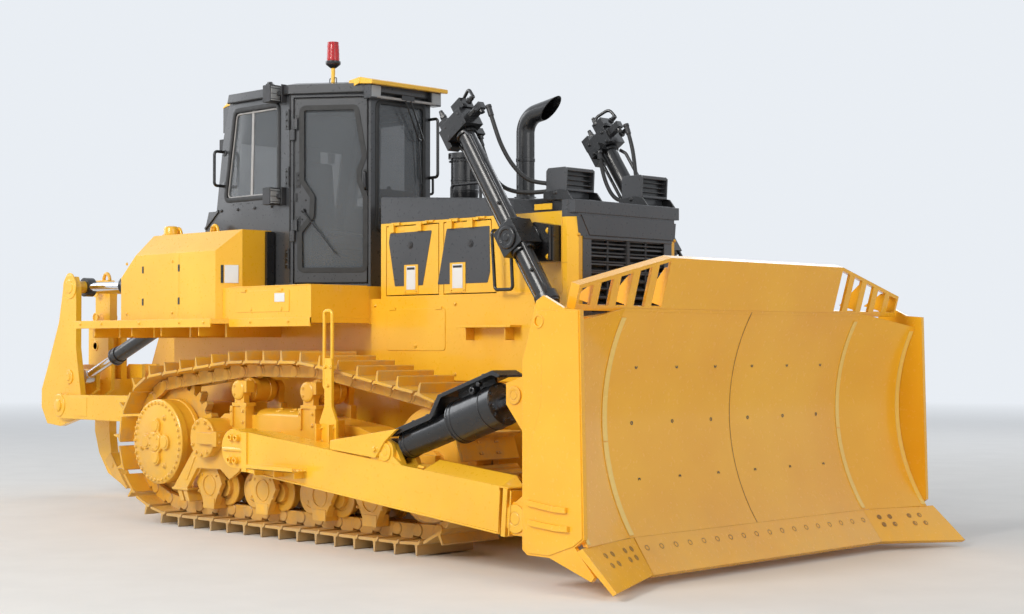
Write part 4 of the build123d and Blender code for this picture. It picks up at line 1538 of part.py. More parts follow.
with BuildPart() as ripper_shank:
    rear_x, front_x = SHANK_X
    prism(
        ((rear_x, SHANK_TOP_Z), (rear_x, SHANK_LOW_Z), *SHANK_REAR, (SHANK_TIP_X, SHANK_TIP_Z), *SHANK_FRONT,
         (front_x, SHANK_LOW_Z), (front_x, SHANK_TOP_Z - SHANK_TOP_CUT[1]),
         (front_x - SHANK_TOP_CUT[0], SHANK_TOP_Z)),
        -SHANK_T / 2, SHANK_T / 2,
    )
save("ripper_shank", ripper_shank.part)

rip_top_start, backwards = (RIP_TOP_HULL_X, RIP_TOP_Z), (-1, 0)
with BuildPart() as ripper_tip_cylinders:
    for side in SIDES:
        y = side * RIP_CYL_Y
        disc(*rip_top_start, RIP_EYE_R, y - rip_eye_half, y + rip_eye_half)
        along(rip_top_start, backwards, y, RIP_BARREL_START, RIP_TIP_BARREL_END, RIP_BARREL_R)
        along(rip_top_start, backwards, y, RIP_TIP_BARREL_END, RIP_LENGTH - RIP_BARREL_START, RIP_ROD_R)
        disc(rip_top_x, RIP_TOP_Z, RIP_TOP_EYE_R, y - rip_eye_half, y + rip_eye_half)
        disc(*rip_top_start, RIP_PIN_R + PIN_GAP, y - RIP_EYE_W, y + RIP_EYE_W, mode=Mode.SUBTRACT)
        tube_room = RIP_TOP_TUBE_R + PIN_GAP
        disc(rip_top_x, RIP_TOP_Z, tube_room, y - RIP_EYE_W, y + RIP_EYE_W, mode=Mode.SUBTRACT)
save("ripper_tip_cylinders", ripper_tip_cylinders.part)

rip_lift_start = (RIP_LIFT_HULL_X, RIP_LIFT_HULL_Z)
rip_lift_end = (RIP_LIFT_EYE_X, RIP_LIFT_EYE_Z)
rip_lift_way = unit(rip_lift_start, rip_lift_end)
rip_lift_length = math.dist(rip_lift_start, rip_lift_end)
with BuildPart() as ripper_lift_barrels:
    for side in SIDES:
        y = side * RIP_CYL_Y
        disc(*rip_lift_start, RIP_EYE_R, y - rip_eye_half, y + rip_eye_half)
        along(rip_lift_start, rip_lift_way, y, RIP_BARREL_START, RIP_LIFT_BARREL_END, RIP_BARREL_R)
        bore = (RIP_BORE_START, RIP_LIFT_BARREL_END + 1, RIP_ROD_R + ROD_GAP)
        along(rip_lift_start, rip_lift_way, y, *bore, Mode.SUBTRACT)
        disc(*rip_lift_start, RIP_PIN_R + PIN_GAP, y - RIP_EYE_W, y + RIP_EYE_W, mode=Mode.SUBTRACT)
save("ripper_lift_barrels", ripper_lift_barrels.part)

with BuildPart() as ripper_lift_rods:
    for side in SIDES:
        y = side * RIP_CYL_Y
        along(rip_lift_start, rip_lift_way, y, RIP_ROD_START, rip_lift_length - ROD_EYE_LAP, RIP_ROD_R)
        disc(*rip_lift_end, RIP_EYE_R, y - rip_eye_half, y + rip_eye_half)
save("ripper_lift_rods", ripper_lift_rods.part)

print(f"{LINK_COUNT} links, pitch {link_step:.2f}")
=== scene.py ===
"""Looks for the crawler bulldozer: materials, detail pieces, floor, lights and camera.

Metres, in the frame of the CAD model: +X forward, +Y to the machine's left, +Z up. The right side,
which the camera sees, has negative Y. Detail that both sides share is built on the right and mirrored.
"""
import json
import math

import bmesh
import bpy
from mathutils import Matrix, Vector

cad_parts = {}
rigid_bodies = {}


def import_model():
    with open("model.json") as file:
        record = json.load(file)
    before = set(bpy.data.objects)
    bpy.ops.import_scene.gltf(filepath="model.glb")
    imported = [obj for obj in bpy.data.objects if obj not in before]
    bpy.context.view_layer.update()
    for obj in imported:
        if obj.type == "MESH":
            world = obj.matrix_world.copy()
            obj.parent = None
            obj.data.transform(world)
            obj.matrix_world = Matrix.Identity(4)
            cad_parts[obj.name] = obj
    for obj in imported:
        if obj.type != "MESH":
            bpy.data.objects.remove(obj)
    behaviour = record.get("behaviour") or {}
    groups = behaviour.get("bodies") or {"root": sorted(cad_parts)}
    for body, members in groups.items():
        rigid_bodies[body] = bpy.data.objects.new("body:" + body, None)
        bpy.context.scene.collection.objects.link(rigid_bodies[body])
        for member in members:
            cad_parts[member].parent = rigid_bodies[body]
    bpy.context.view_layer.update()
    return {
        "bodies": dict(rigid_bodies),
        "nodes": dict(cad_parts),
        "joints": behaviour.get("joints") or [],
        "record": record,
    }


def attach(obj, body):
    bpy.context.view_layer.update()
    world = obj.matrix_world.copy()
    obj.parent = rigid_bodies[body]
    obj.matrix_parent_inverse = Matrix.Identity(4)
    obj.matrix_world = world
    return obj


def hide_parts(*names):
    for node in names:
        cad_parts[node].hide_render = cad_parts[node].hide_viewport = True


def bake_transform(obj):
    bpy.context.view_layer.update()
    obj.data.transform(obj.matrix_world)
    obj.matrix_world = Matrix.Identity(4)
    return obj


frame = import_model()
nodes = frame["nodes"]

# ---------------------------------------------------------------- camera, floor and light
CAMERA_PLACE = (11.200, -9.708, 1.522)
CAMERA_TURN = (91.27, 0.0, 44.68)   # degrees
CAMERA_LENS, CAMERA_SENSOR = 60.72, 36.0
FLOOR_HALF = 60.0
FLOOR_COLOUR = (0.80, 0.79, 0.77)
SKY_COLOUR = (0.86, 0.90, 0.95)
SKY_LIGHT, SKY_SEEN = 0.40, 0.95
FLOOR_FADE = (9.0, 34.0)            # metres from the machine: where the fade starts and ends
LAMPS = (                           # name, place, size, watts, colour
    ("key", (2.0, -19.0, 12.0), 8.0, 3000.0, (1.0, 0.97, 0.92)),
    ("front", (19.0, -3.0, 9.0), 10.0, 720.0, (1.0, 0.98, 0.95)),
    ("left", (-3.0, 16.0, 11.0), 10.0, 620.0, (0.93, 0.96, 1.0)),
    ("rear", (-15.0, -6.0, 8.0), 9.0, 700.0, (0.95, 0.97, 1.0)),
)
LAMP_AIM = (0.3, 0.0, 1.4)


def link_to_scene(obj):
    bpy.context.scene.collection.objects.link(obj)
    return obj


def add_camera():
    data = bpy.data.cameras.new("photo_camera")
    data.lens = CAMERA_LENS
    data.sensor_width = CAMERA_SENSOR
    data.clip_end = 400.0
    camera = link_to_scene(bpy.data.objects.new("photo_camera", data))
    camera.location = CAMERA_PLACE
    camera.rotation_euler = [math.radians(angle) for angle in CAMERA_TURN]
    bpy.context.scene.camera = camera


def add_lamps():
    for name, place, size, watts, colour in LAMPS:
        data = bpy.data.lights.new(name, "AREA")
        data.size = size
        data.energy = watts
        data.color = colour
        lamp = link_to_scene(bpy.data.objects.new(name, data))
        lamp.location = place
        lamp.rotation_euler = (Vector(LAMP_AIM) - Vector(place)).to_track_quat("-Z", "Y").to_euler()


def add_sky():
    """An even pale sky that lights the machine softly and shows plain in the background."""
    world = bpy.data.worlds.new("sky")
    bpy.context.scene.world = world
    world.use_nodes = True
    tree = world.node_tree
    lit = tree.nodes["Background"]
    lit.inputs["Color"].default_value = (*SKY_COLOUR, 1)
    lit.inputs["Strength"].default_value = SKY_LIGHT
    seen = tree.nodes.new("ShaderNodeBackground")
    seen.inputs["Color"].default_value = (*SKY_COLOUR, 1)
    seen.inputs["Strength"].default_value = SKY_SEEN
    rays = tree.nodes.new("ShaderNodeLightPath")
    mix = tree.nodes.new("ShaderNodeMixShader")
    shown = rays.outputs["Is Camera Ray"]
    for kind in ("Is Glossy Ray", "Is Transmission Ray"):
        either = tree.nodes.new("ShaderNodeMath")
        either.operation = "MAXIMUM"
        tree.links.new(shown, either.inputs[0])
        tree.links.new(rays.outputs[kind], either.inputs[1])
        shown = either.outputs[0]
    tree.links.new(shown, mix.inputs["Fac"])
    tree.links.new(lit.outputs["Background"], mix.inputs[1])
    tree.links.new(seen.outputs["Background"], mix.inputs[2])
    tree.links.new(mix.outputs["Shader"], tree.nodes["World Output"].inputs["Surface"])


# ---------------------------------------------------------------- materials
class Material:
    """A node material: one Principled shader with a colour, roughness and normal built from noise."""

    def __init__(self, name, **settings):
        self.data = bpy.data.materials.new(name)
        self.data.use_nodes = True
        self.tree = self.data.node_tree
        self.shader = self.tree.nodes["Principled BSDF"]
        for socket, value in settings.items():
            self.shader.inputs[socket.replace("_", " ")].default_value = value
        self.place = self.node("TexCoord").outputs["Object"]

    def node(self, kind, links=None, **values):
        """A shader node by its short name; links and values fill its input sockets by name."""
        node = self.tree.nodes.new("ShaderNode" + kind)
        for socket, value in values.items():
            node.inputs[socket.replace("_", " ")].default_value = value
        for socket, source in (links or {}).items():
            self.tree.links.new(source, node.inputs[socket])
        return node

    def math(self, operation, first, second=None):
        """A Math node; each operand is a socket or a number."""
        node = self.tree.nodes.new("ShaderNodeMath")
        node.operation = operation
        for index, operand in enumerate((first, second)):
            if isinstance(operand, (int, float)):
                node.inputs[index].default_value = operand
            elif operand is not None:
                self.tree.links.new(operand, node.inputs[index])
        return node.outputs[0]

    def noise(self, scale, detail=4.0, roughness=0.55, stretch=None):
        """Noise over the object's own place, from 0 to 1; stretch scales its three axes."""
        place = self.place
        if stretch:
            mapping = self.node("Mapping", {"Vector": place})
            mapping.inputs["Scale"].default_value = stretch
            place = mapping.outputs["Vector"]
        node = self.node("TexNoise", {"Vector": place}, Scale=scale, Detail=detail, Roughness=roughness)
        return node.outputs["Fac"]

    def between(self, value, low, high, low_out=0.0, high_out=1.0):
        """value from low..high to low_out..high_out, held at both ends."""
        node = self.node("MapRange", {"Value": value})
        for socket, number in (
            ("From Min", low), ("From Max", high), ("To Min", low_out), ("To Max", high_out),
        ):
            node.inputs[socket].default_value = number
        return node.outputs["Result"]

    def mix(self, factor, first, second):
        """A colour between two; each is a socket or an RGB triple."""
        node = self.tree.nodes.new("ShaderNodeMix")
        node.data_type = "RGBA"
        self.tree.links.new(factor, node.inputs["Factor"])
        for socket, colour in (("A", first), ("B", second)):
            target = [item for item in node.inputs if item.name == socket and item.type == "RGBA"][0]
            if isinstance(colour, tuple):
                target.default_value = (*colour, 1)
            else:
                self.tree.links.new(colour, target)
        return [item for item in node.outputs if item.type == "RGBA"][0]

    def edges(self, radius):
        """1 along sharp edges, 0 on flat faces."""
        bevel = self.node("Bevel", Radius=radius)
        true_normal = self.node("NewGeometry").outputs["Normal"]
        dot = self.tree.nodes.new("ShaderNodeVectorMath")
        dot.operation = "DOT_PRODUCT"
        self.tree.links.new(bevel.outputs["Normal"], dot.inputs[0])
        self.tree.links.new(true_normal, dot.inputs[1])
        return self.between(dot.outputs["Value"], 0.99, 0.86)

    def height(self):
        """The height above the ground at rest, in metres."""
        return self.node("SeparateXYZ", {"Vector": self.place}).outputs["Z"]

    def wire(
        self, colour=None, roughness=None, bump=None, bump_strength=0.1, bump_distance=0.002, round_edges=0.0,
    ):
        """Joins the built sockets to the shader and returns the material."""
        if colour:
            self.tree.links.new(colour, self.shader.inputs["Base Color"])
        if roughness:
            self.tree.links.new(roughness, self.shader.inputs["Roughness"])
        normal = self.node("Bevel", Radius=round_edges).outputs["Normal"] if round_edges else None
        if bump:
            node = self.node("Bump", {"Height": bump}, Strength=bump_strength, Distance=bump_distance)
            if normal:
                self.tree.links.new(normal, node.inputs["Normal"])
            normal = node.outputs["Normal"]
        if normal:
            self.tree.links.new(normal, self.shader.inputs["Normal"])
        return self.data


DUST = (0.42, 0.33, 0.22)
BARE_STEEL = (0.33, 0.31, 0.29)


def paint(name, light, dark, roughness, coat, dust=0.0, edge=None, edge_share=0.35, dust_top=0.9):
    """Sprayed enamel: slow shifts in colour, fine orange peel, dust low down and worn edges."""
    made = Material(name, Coat_Weight=coat, Coat_Roughness=0.06)
    blotch = made.noise(1.3, detail=3.0)
    fine = made.noise(34.0, detail=5.0)
    colour = made.mix(made.between(blotch, 0.35, 0.65), dark, light)
    if edge:
        worn_edge = made.edges(0.006)
        worn = made.math("MULTIPLY", worn_edge, made.between(made.noise(9.0), 0.42, 0.62, 0.0, edge_share))
        colour = made.mix(worn, colour, edge)
    if dust:
        low = made.between(made.height(), dust_top, 0.05, 0.0, dust)
        grain = made.between(made.noise(6.0, detail=8.0, roughness=0.7), 0.38, 0.66)
        settled = made.math("MULTIPLY", low, grain)
        colour = made.mix(settled, colour, DUST)
    rough = made.between(fine, 0.3, 0.7, roughness * 0.85, roughness * 1.2)
    return made.wire(colour, rough, made.noise(220.0, detail=2.0), bump_strength=0.04, round_edges=0.006)


def glass(name, tint, opacity):
    made = Material(name, Base_Color=(*tint, 1), IOR=1.45, Alpha=opacity, Metallic=0.0, Coat_Weight=0.4)
    haze = made.between(made.noise(3.0, detail=5.0), 0.4, 0.7, 0.03, 0.09)
    colour = made.mix(made.between(made.noise(1.1), 0.3, 0.7), tint, tuple(c * 0.8 for c in tint))
    return made.wire(colour, haze)


def chrome(name):
    """Hard-chromed rod with faint rings from its seals."""
    made = Material(name, Metallic=1.0)
    rings = made.noise(12.0, detail=6.0, stretch=(9.0, 1.0, 9.0))
    colour = made.mix(made.between(rings, 0.3, 0.7), (0.78, 0.79, 0.81), (0.66, 0.67, 0.70))
    return made.wire(colour, made.between(rings, 0.3, 0.7, 0.08, 0.17))


def cast_iron(name, light, dark, roughness=0.62):
    """Unpolished dark metal or moulded plastic with a grainy skin."""
    made = Material(name)
    colour = made.mix(made.between(made.noise(7.0, detail=6.0), 0.35, 0.7), dark, light)
    rough = made.between(made.noise(25.0), 0.3, 0.7, roughness * 0.85, min(1.0, roughness * 1.15))
    return made.wire(colour, rough, made.noise(150.0, detail=3.0), bump_strength=0.14, round_edges=0.003)


def track_paint(name, paint_light, paint_dark):
    """Yellow paint rubbed through to steel on edges, with mud dust in patches and low down."""
    made = Material(name)
    patch = made.between(made.noise(4.5, detail=9.0, roughness=0.7), 0.47, 0.60)
    colour = made.mix(made.between(made.noise(1.7), 0.3, 0.7), paint_dark, paint_light)
    colour = made.mix(made.math("MULTIPLY", patch, 0.34), colour, DUST)
    worn = made.math("MULTIPLY", made.edges(0.007), made.between(made.noise(16.0), 0.36, 0.6, 0.1, 0.85))
    colour = made.mix(worn, colour, BARE_STEEL)
    low = made.math("MULTIPLY", made.between(made.height(), 0.22, 0.01), 0.7)
    colour = made.mix(low, colour, DUST)
    rough = made.between(patch, 0.0, 1.0, 0.36, 0.75)
    return made.wire(colour, rough, made.noise(60.0, detail=4.0), bump_strength=0.12, round_edges=0.005)


def fabric(name, light, dark):
    """Woven seat cloth with a soft sheen."""
    made = Material(name, Sheen_Weight=0.5, Sheen_Roughness=0.5)
    warp = made.node("TexWave", {"Vector": made.place}, Scale=130.0, Distortion=0.6).outputs["Fac"]
    colour = made.mix(made.between(made.noise(8.0), 0.3, 0.7), dark, light)
    return made.wire(colour, made.between(warp, 0.0, 1.0, 0.75, 0.95), warp, bump_strength=0.35)


def lens(name, tint):
    """Ribbed coloured plastic that glows a little where light passes."""
    made = Material(name, Transmission_Weight=0.35, IOR=1.49)
    ribs = made.node("TexWave", {"Vector": made.place}, Scale=26.0).outputs["Fac"]
    colour = made.mix(made.between(ribs, 0.2, 0.8), tint, tuple(c * 0.6 for c in tint))
    return made.wire(colour, made.between(ribs, 0.0, 1.0, 0.14, 0.3), ribs, bump_strength=0.3)


YELLOW_LIGHT, YELLOW_DARK = (0.96, 0.545, 0.032), (0.90, 0.480, 0.022)
MATERIALS = {
    "yellow_paint": paint("yellow_paint", YELLOW_LIGHT, YELLOW_DARK, 0.30, 0.35, dust=0.10),
    "blade_paint": paint(
        "blade_paint", (0.97, 0.500, 0.022), (0.92, 0.440, 0.016), 0.24, 0.35, dust=0.12, dust_top=0.5),
    "frame_paint": paint(
        "frame_paint", (0.88, 0.480, 0.032), (0.78, 0.400, 0.024), 0.38, 0.3, dust=0.45, edge=DUST),
    "track_paint": track_paint("track_paint", (0.86, 0.480, 0.040), (0.70, 0.350, 0.028)),
    "grey_paint": paint("grey_paint", (0.052, 0.054, 0.059), (0.038, 0.040, 0.044), 0.30, 0.3),
    "black_paint": paint("black_paint", (0.012, 0.012, 0.013), (0.007, 0.007, 0.008), 0.30, 0.3),
    "engine_paint": cast_iron("engine_paint", (0.10, 0.10, 0.10), (0.06, 0.06, 0.06)),
    "dark_plastic": cast_iron("dark_plastic", (0.030, 0.030, 0.032), (0.018, 0.018, 0.020), 0.5),
    "hose_rubber": cast_iron("hose_rubber", (0.016, 0.016, 0.016), (0.010, 0.010, 0.010), 0.55),
    "steel": cast_iron("steel", (0.42, 0.41, 0.40), (0.30, 0.29, 0.28), 0.38),
    "chrome_rod": chrome("chrome_rod"),
    "tinted_glass": glass("tinted_glass", (0.16, 0.175, 0.19), 0.50),
    "seat_cover": fabric("seat_cover", (0.040, 0.040, 0.044), (0.024, 0.024, 0.027)),
    "red_lens": lens("red_lens", (0.80, 0.03, 0.035)),
    "clear_lens": lens("clear_lens", (0.75, 0.77, 0.78)),
    # paler, glossier yellow: a painted highlight for the strips along the blade's kink and ends
    "highlight_strip_paint": paint("highlight_strip_paint", (0.97, 0.68, 0.16), (0.92, 0.60, 0.11), 0.24, 0.6, dust=0.10),
    "bolt_paint": paint("bolt_paint", (0.42, 0.21, 0.020), (0.30, 0.14, 0.014), 0.35, 0.2),
    "label": paint("label", (0.80, 0.80, 0.79), (0.74, 0.74, 0.73), 0.35, 0.3),
}
SLOT_OF_LOOK = {                    # looks whose slot in the part has another name
    "blade_paint": "yellow_paint",
    "clear_lens": "dark_plastic",
    "frame_paint": "yellow_paint",
    "hose_rubber": "dark_plastic",
    "label": "yellow_paint",
    "highlight_strip_paint": "yellow_paint",
    "track_paint": "track_steel",
}
CAD_MATERIALS = {
    "yellow_paint": (
        "engine_door_left_front", "engine_door_left_rear", "engine_door_right_front",
        "engine_door_right_rear", "fenders", "final_drives", "hood", "hull", "push_arms", "radiator_guard",
        "ripper_arm", "ripper_frame", "ripper_shank", "side_boxes", "side_handles", "side_tanks", "sun_visor",
    ),
    "blade_paint": ("moldboard", "end_plates", "cutting_edge", "end_bits", "blade_frame"),
    "frame_paint": ("track_frames", "rollers", "idlers"),
    "track_paint": ("sprockets", "track_left", "track_right"),
    "grey_paint": (
        "cab_shell", "cab_roof", "cab_door_left", "cab_door_right", "hood_top", "grille", "work_lamps",
    ),
    "black_paint": (
        "aircon", "exhaust", "grab_rails", "lift_barrels", "lift_yokes", "precleaner", "ripper_lift_barrels",
        "ripper_tip_cylinders", "tilt_barrels",
    ),
    "chrome_rod": ("lift_rods", "ripper_lift_rods", "tilt_rods"),
    "engine_paint": ("engine",),
    "dark_plastic": ("console",),
    "hose_rubber": ("lift_hoses",),
    "seat_cover": ("seat",),
    "tinted_glass": ("cab_glass", "door_glass_left", "door_glass_right"),
    "red_lens": ("beacon",),
}


def dress_cad_nodes():
    for material, names in CAD_MATERIALS.items():
        for name in names:
            slots = nodes[name].data.materials
            slots.clear()
            slots.append(MATERIALS[material])


def add_floor():
    """A pale floor that keeps the machine's shadow and fades into the sky's colour far away."""
    grid = bmesh.new()
    bmesh.ops.create_grid(grid, x_segments=4, y_segments=4, size=FLOOR_HALF)
    data = bpy.data.meshes.new("floor")
    grid.to_mesh(data)
    grid.free()
    made = Material("floor", Roughness=0.85)
    speckle = made.between(made.noise(2.0, detail=8.0), 0.3, 0.7)
    colour = made.mix(speckle, FLOOR_COLOUR, tuple(c * 0.95 for c in FLOOR_COLOUR))
    away = made.tree.nodes.new("ShaderNodeVectorMath")
    away.operation = "LENGTH"
    made.tree.links.new(made.place, away.inputs[0])
    glow = made.tree.nodes.new("ShaderNodeEmission")
    glow.inputs["Color"].default_value = (*SKY_COLOUR, 1)
    glow.inputs["Strength"].default_value = SKY_SEEN
    fade = made.tree.nodes.new("ShaderNodeMixShader")
    made.tree.links.new(made.between(away.outputs["Value"], *FLOOR_FADE), fade.inputs["Fac"])
    made.tree.links.new(made.shader.outputs["BSDF"], fade.inputs[1])
    made.tree.links.new(glow.outputs["Emission"], fade.inputs[2])
    output = [node for node in made.tree.nodes if node.type == "OUTPUT_MATERIAL"][0]
    made.wire(colour)
    made.tree.links.new(fade.outputs["Shader"], output.inputs["Surface"])
    data.materials.append(made.data)
    link_to_scene(bpy.data.objects.new("floor", data))


# ---------------------------------------------------------------- mesh building
AHEAD, BACK = (1, 0, 0), (-1, 0, 0)
LEFT, RIGHT = (0, 1, 0), (0, -1, 0)
UP, DOWN = (0, 0, 1), (0, 0, -1)
ON_AXIS = 0.0001                    # the smallest radius, where a turned form closes on its axis


def unit(start, end):
    return (Vector(end) - Vector(start)).normalized()


def across(direction):
    """Two directions square to one direction and to each other."""
    way = Vector(direction).normalized()
    side = way.cross(Vector(UP) if abs(way.z) < 0.9 else Vector(LEFT)).normalized()
    return side, way.cross(side)


def about(centre, radius, angle):
    """A point at an angle in degrees round a centre, in the plane of the centre's two numbers."""
    turn = math.radians(angle)
    return centre[0] + radius * math.cos(turn), centre[1] + radius * math.sin(turn)


def rect(a_low, a_high, b_low, b_high):
    """The four corners of a rectangle drawn in two axes."""
    return (a_low, b_low), (a_high, b_low), (a_high, b_high), (a_low, b_high)


def collar(radius, width, drop):
    """The profile of a ring with slanted edges."""
    return (0, radius - drop), (0.003, radius), (width - 0.003, radius), (width, radius - drop)


def eye_line(middle, half_width, rise):
    """The middle line of a lifting eye: half an ellipse that stands on a middle, drawn in X and Z."""
    turns = [math.radians(angle) for angle in range(0, 181, 18)]
    x, y, z = middle
    return [(x + half_width * math.cos(a), y, z + rise * math.sin(a)) for a in turns]


def rounded(points, bend, steps=5):
    """A polyline whose corners are replaced by arcs of about the bend radius."""
    points = [Vector(p) for p in points]
    line = [points[0]]
    for before, corner, after in zip(points, points[1:], points[2:]):
        back, ahead = unit(corner, before), unit(corner, after)
        half = back.angle(ahead) / 2
        room = 0.49 * min((before - corner).length, (after - corner).length)
        reach = min(bend / max(math.tan(half), 1e-3), room)
        first, last = corner + back * reach, corner + ahead * reach
        for step in range(steps + 1):
            t = step / steps
            line.append(first * (1 - t) ** 2 + corner * 2 * t * (1 - t) + last * t ** 2)
    return line + [points[-1]]


class Piece:
    """A mesh under construction, in the part's frame. Its solids may touch and overlap."""

    def __init__(self, name):
        self.name = name
        self.mesh = bmesh.new()

    def points(self, ring):
        """New vertices at a ring of places."""
        return [self.mesh.verts.new(place) for place in ring]

    def circle(self, middle, axes, radius, segments):
        """New vertices on a circle round a middle, in the plane of two directions."""
        turns = [2 * math.pi * i / segments for i in range(segments)]
        return self.points([middle + (axes[0] * math.cos(a) + axes[1] * math.sin(a)) * radius for a in turns])

    def skin(self, rings, closed=False):
        """Faces between rings of vertices: a bar with two flat ends, or a loop when closed."""
        following = rings[1:] + rings[:1] if closed else rings[1:]
        for first, second in zip(rings, following):
            for i in range(len(first)):
                j = (i + 1) % len(first)
                self.mesh.faces.new((first[i], first[j], second[j], second[i]))
        if not closed:
            self.mesh.faces.new(rings[0][::-1])
            self.mesh.faces.new(rings[-1])

    def solid(self, ring, offset):
        """A closed solid between a flat ring of points and the same ring moved by an offset."""
        self.skin([self.points(ring), self.points([Vector(p) + Vector(offset) for p in ring])])

    def prism(self, points, y_low, y_high):
        """A polygon drawn in X and Z, between two Y planes."""
        self.solid([(x, y_low, z) for x, z in points], (0, y_high - y_low, 0))

    def slab(self, points, z_low, z_high):
        """A polygon drawn in X and Y, between two heights."""
        self.solid([(x, y, z_low) for x, y in points], (0, 0, z_high - z_low))

    def frontal(self, points, x_low, x_high):
        """A polygon drawn in Y and Z, between two X planes."""
        self.solid([(x_low, y, z) for y, z in points], (x_high - x_low, 0, 0))

    def block(self, xs, ys, zs):
        """A box between two places on each axis."""
        self.slab(rect(*xs, *ys), *zs)

    def lathe(self, origin, direction, profile, segments=24):
        """A turned form: pairs of distance along the axis and radius."""
        way = Vector(direction).normalized()
        axes = across(way)
        origin = Vector(origin)
        self.skin([self.circle(origin + way * reach, axes, radius, segments) for reach, radius in profile])

    def band(self, origin, direction, profile, segments=24):
        """A ring round a bar: a turned form whose section is closed and stays off the axis."""
        way = Vector(direction).normalized()
        side, up = across(way)
        rings = []
        for i in range(segments):
            turn = 2 * math.pi * i / segments
            spoke = side * math.cos(turn) + up * math.sin(turn)
            places = [Vector(origin) + way * reach + spoke * radius for reach, radius in profile]
            rings.append(self.points(places))
        self.skin(rings, closed=True)

    def rod(self, start, end, radius, segments=20):
        length = (Vector(end) - Vector(start)).length
        self.lathe(start, unit(start, end), ((0, radius), (length, radius)), segments)

    def bolt(self, place, direction, radius=0.014, washer=True):
        """A hexagon head on a washer, standing on a face."""
        if washer:
            self.lathe(place, direction, ((-0.002, radius * 1.45), (radius * 0.22, radius * 1.4)), 12)
        self.lathe(place, direction, ((0, radius), (radius * 0.85, radius), (radius * 1.05, radius * 0.8)), 6)

    def boss(self, centre, y, profile, segments=24):
        """A turned form that stands out to the right, round a centre in X and Z."""
        self.lathe((centre[0], y, centre[1]), RIGHT, profile, segments)

    def side_bolts(self, places, y, radius):
        """Bolts at places in X and Z on a face that looks out to the right."""
        for x, z in places:
            self.bolt((x, y, z), RIGHT, radius)

    def tube(self, points, radius, segments=12):
        """A round bar along a line of points."""
        points = [Vector(p) for p in points]
        side = across(points[1] - points[0])[0]
        rings = []
        for i, point in enumerate(points):
            before, after = points[max(i - 1, 0)], points[min(i + 1, len(points) - 1)]
            way = (after - before).normalized()
            side = (side - way * side.dot(way)).normalized()
            rings.append(self.circle(point, (side, way.cross(side)), radius, segments))
        self.skin(rings)

    def stamp(self, mesh, matrix):
        """A copy of a ready mesh, placed by a matrix."""
        placed = mesh.copy()
        placed.transform(matrix)
        self.mesh.from_mesh(placed)
        bpy.data.meshes.remove(placed)

    def mirror(self):
        """Adds the other side of the machine."""
        copied = bmesh.ops.duplicate(
            self.mesh, geom=self.mesh.verts[:] + self.mesh.edges[:] + self.mesh.faces[:])
        for item in copied["geom"]:
            if isinstance(item, bmesh.types.BMVert):
                item.co.y = -item.co.y
        return self

    def flip(self):
        """Moves the piece to the other side of the machine."""
        for vertex in self.mesh.verts:
            vertex.co.y = -vertex.co.y
        return self

    def data(self):
        """The finished mesh, with outward faces and sharp edges kept."""
        bmesh.ops.recalc_face_normals(self.mesh, faces=self.mesh.faces[:])
        data = bpy.data.meshes.new(self.name)
        self.mesh.to_mesh(data)
        self.mesh.free()
        for face in data.polygons:
            face.use_smooth = True
        data.set_sharp_from_angle(angle=math.radians(32))
        return data

    def place(self, body, material, bevel=0.0, slot=None):
        """Puts the piece in the scene on a CAD body and returns its object."""
        slot = slot or SLOT_OF_LOOK.get(material, material)
        obj = link_to_scene(bpy.data.objects.new(self.name, self.data()))
        obj.data.materials.append(MATERIALS[material])
        if bevel:
            modifier = obj.modifiers.new("rounding", "BEVEL")
            modifier.width = bevel
            modifier.segments = 2
            modifier.limit_method = "ANGLE"
            modifier.angle_limit = math.radians(35)
            modifier.harden_normals = True
        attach(obj, body)
        return obj


# ---------------------------------------------------------------- tracks
TRACK_Y = 1.070
SHOE_HALF_WIDTH = 0.280
SPROCKET, SPROCKET_R = (-1.346, 0.700), 0.495
IDLER, IDLER_R = (1.909, 0.635), 0.470
CARRIERS_X, CARRIER_PIN_Z = (-0.264, 0.628), 1.315
GROUND_PIN_Z = 0.165
REAR_GROUND_X = -1.180
LINK_COUNT = 42
ARC_STEPS = 90


def tangent_angle(point, centre, radius, turn):
    """The angle on a circle at which the line from a point touches it."""
    reach = math.dist(point, centre)
    bearing = math.atan2(point[1] - centre[1], point[0] - centre[0])
    return bearing + turn * math.acos(radius / reach)


def arc(centre, radius, first, last):
    """Points along an arc, from one angle to another."""
    angles = [first + (last - first) * i / ARC_STEPS for i in range(ARC_STEPS + 1)]
    return [(centre[0] + radius * math.cos(a), centre[1] + radius * math.sin(a)) for a in angles]


def chain_pins():
    """The chain's pins in X and Z: ground run, idler, carrier rollers, sprocket."""
    idler_end = tangent_angle((CARRIERS_X[1], CARRIER_PIN_Z), IDLER, IDLER_R, -1)
    sprocket_start = tangent_angle((CARRIERS_X[0], CARRIER_PIN_Z), SPROCKET, SPROCKET_R, 1)
    sprocket_end = tangent_angle((REAR_GROUND_X, GROUND_PIN_Z), SPROCKET, SPROCKET_R, -1)
    line = [(REAR_GROUND_X, GROUND_PIN_Z)]
    line += arc(IDLER, IDLER_R, -math.pi / 2, idler_end)
    line += [(CARRIERS_X[1], CARRIER_PIN_Z), (CARRIERS_X[0], CARRIER_PIN_Z)]
    line += arc(SPROCKET, SPROCKET_R, sprocket_start, sprocket_end % (2 * math.pi))
    line.append(line[0])
    total = sum(math.dist(a, b) for a, b in zip(line, line[1:]))
    pins, walked, target = [], 0.0, 0.0
    for a, b in zip(line, line[1:]):
        run = math.dist(a, b)
        while run and target <= walked + run and len(pins) < LINK_COUNT:
            t = (target - walked) / run
            pins.append((a[0] + (b[0] - a[0]) * t, a[1] + (b[1] - a[1]) * t))
            target += total / LINK_COUNT
        walked += run
    return pins


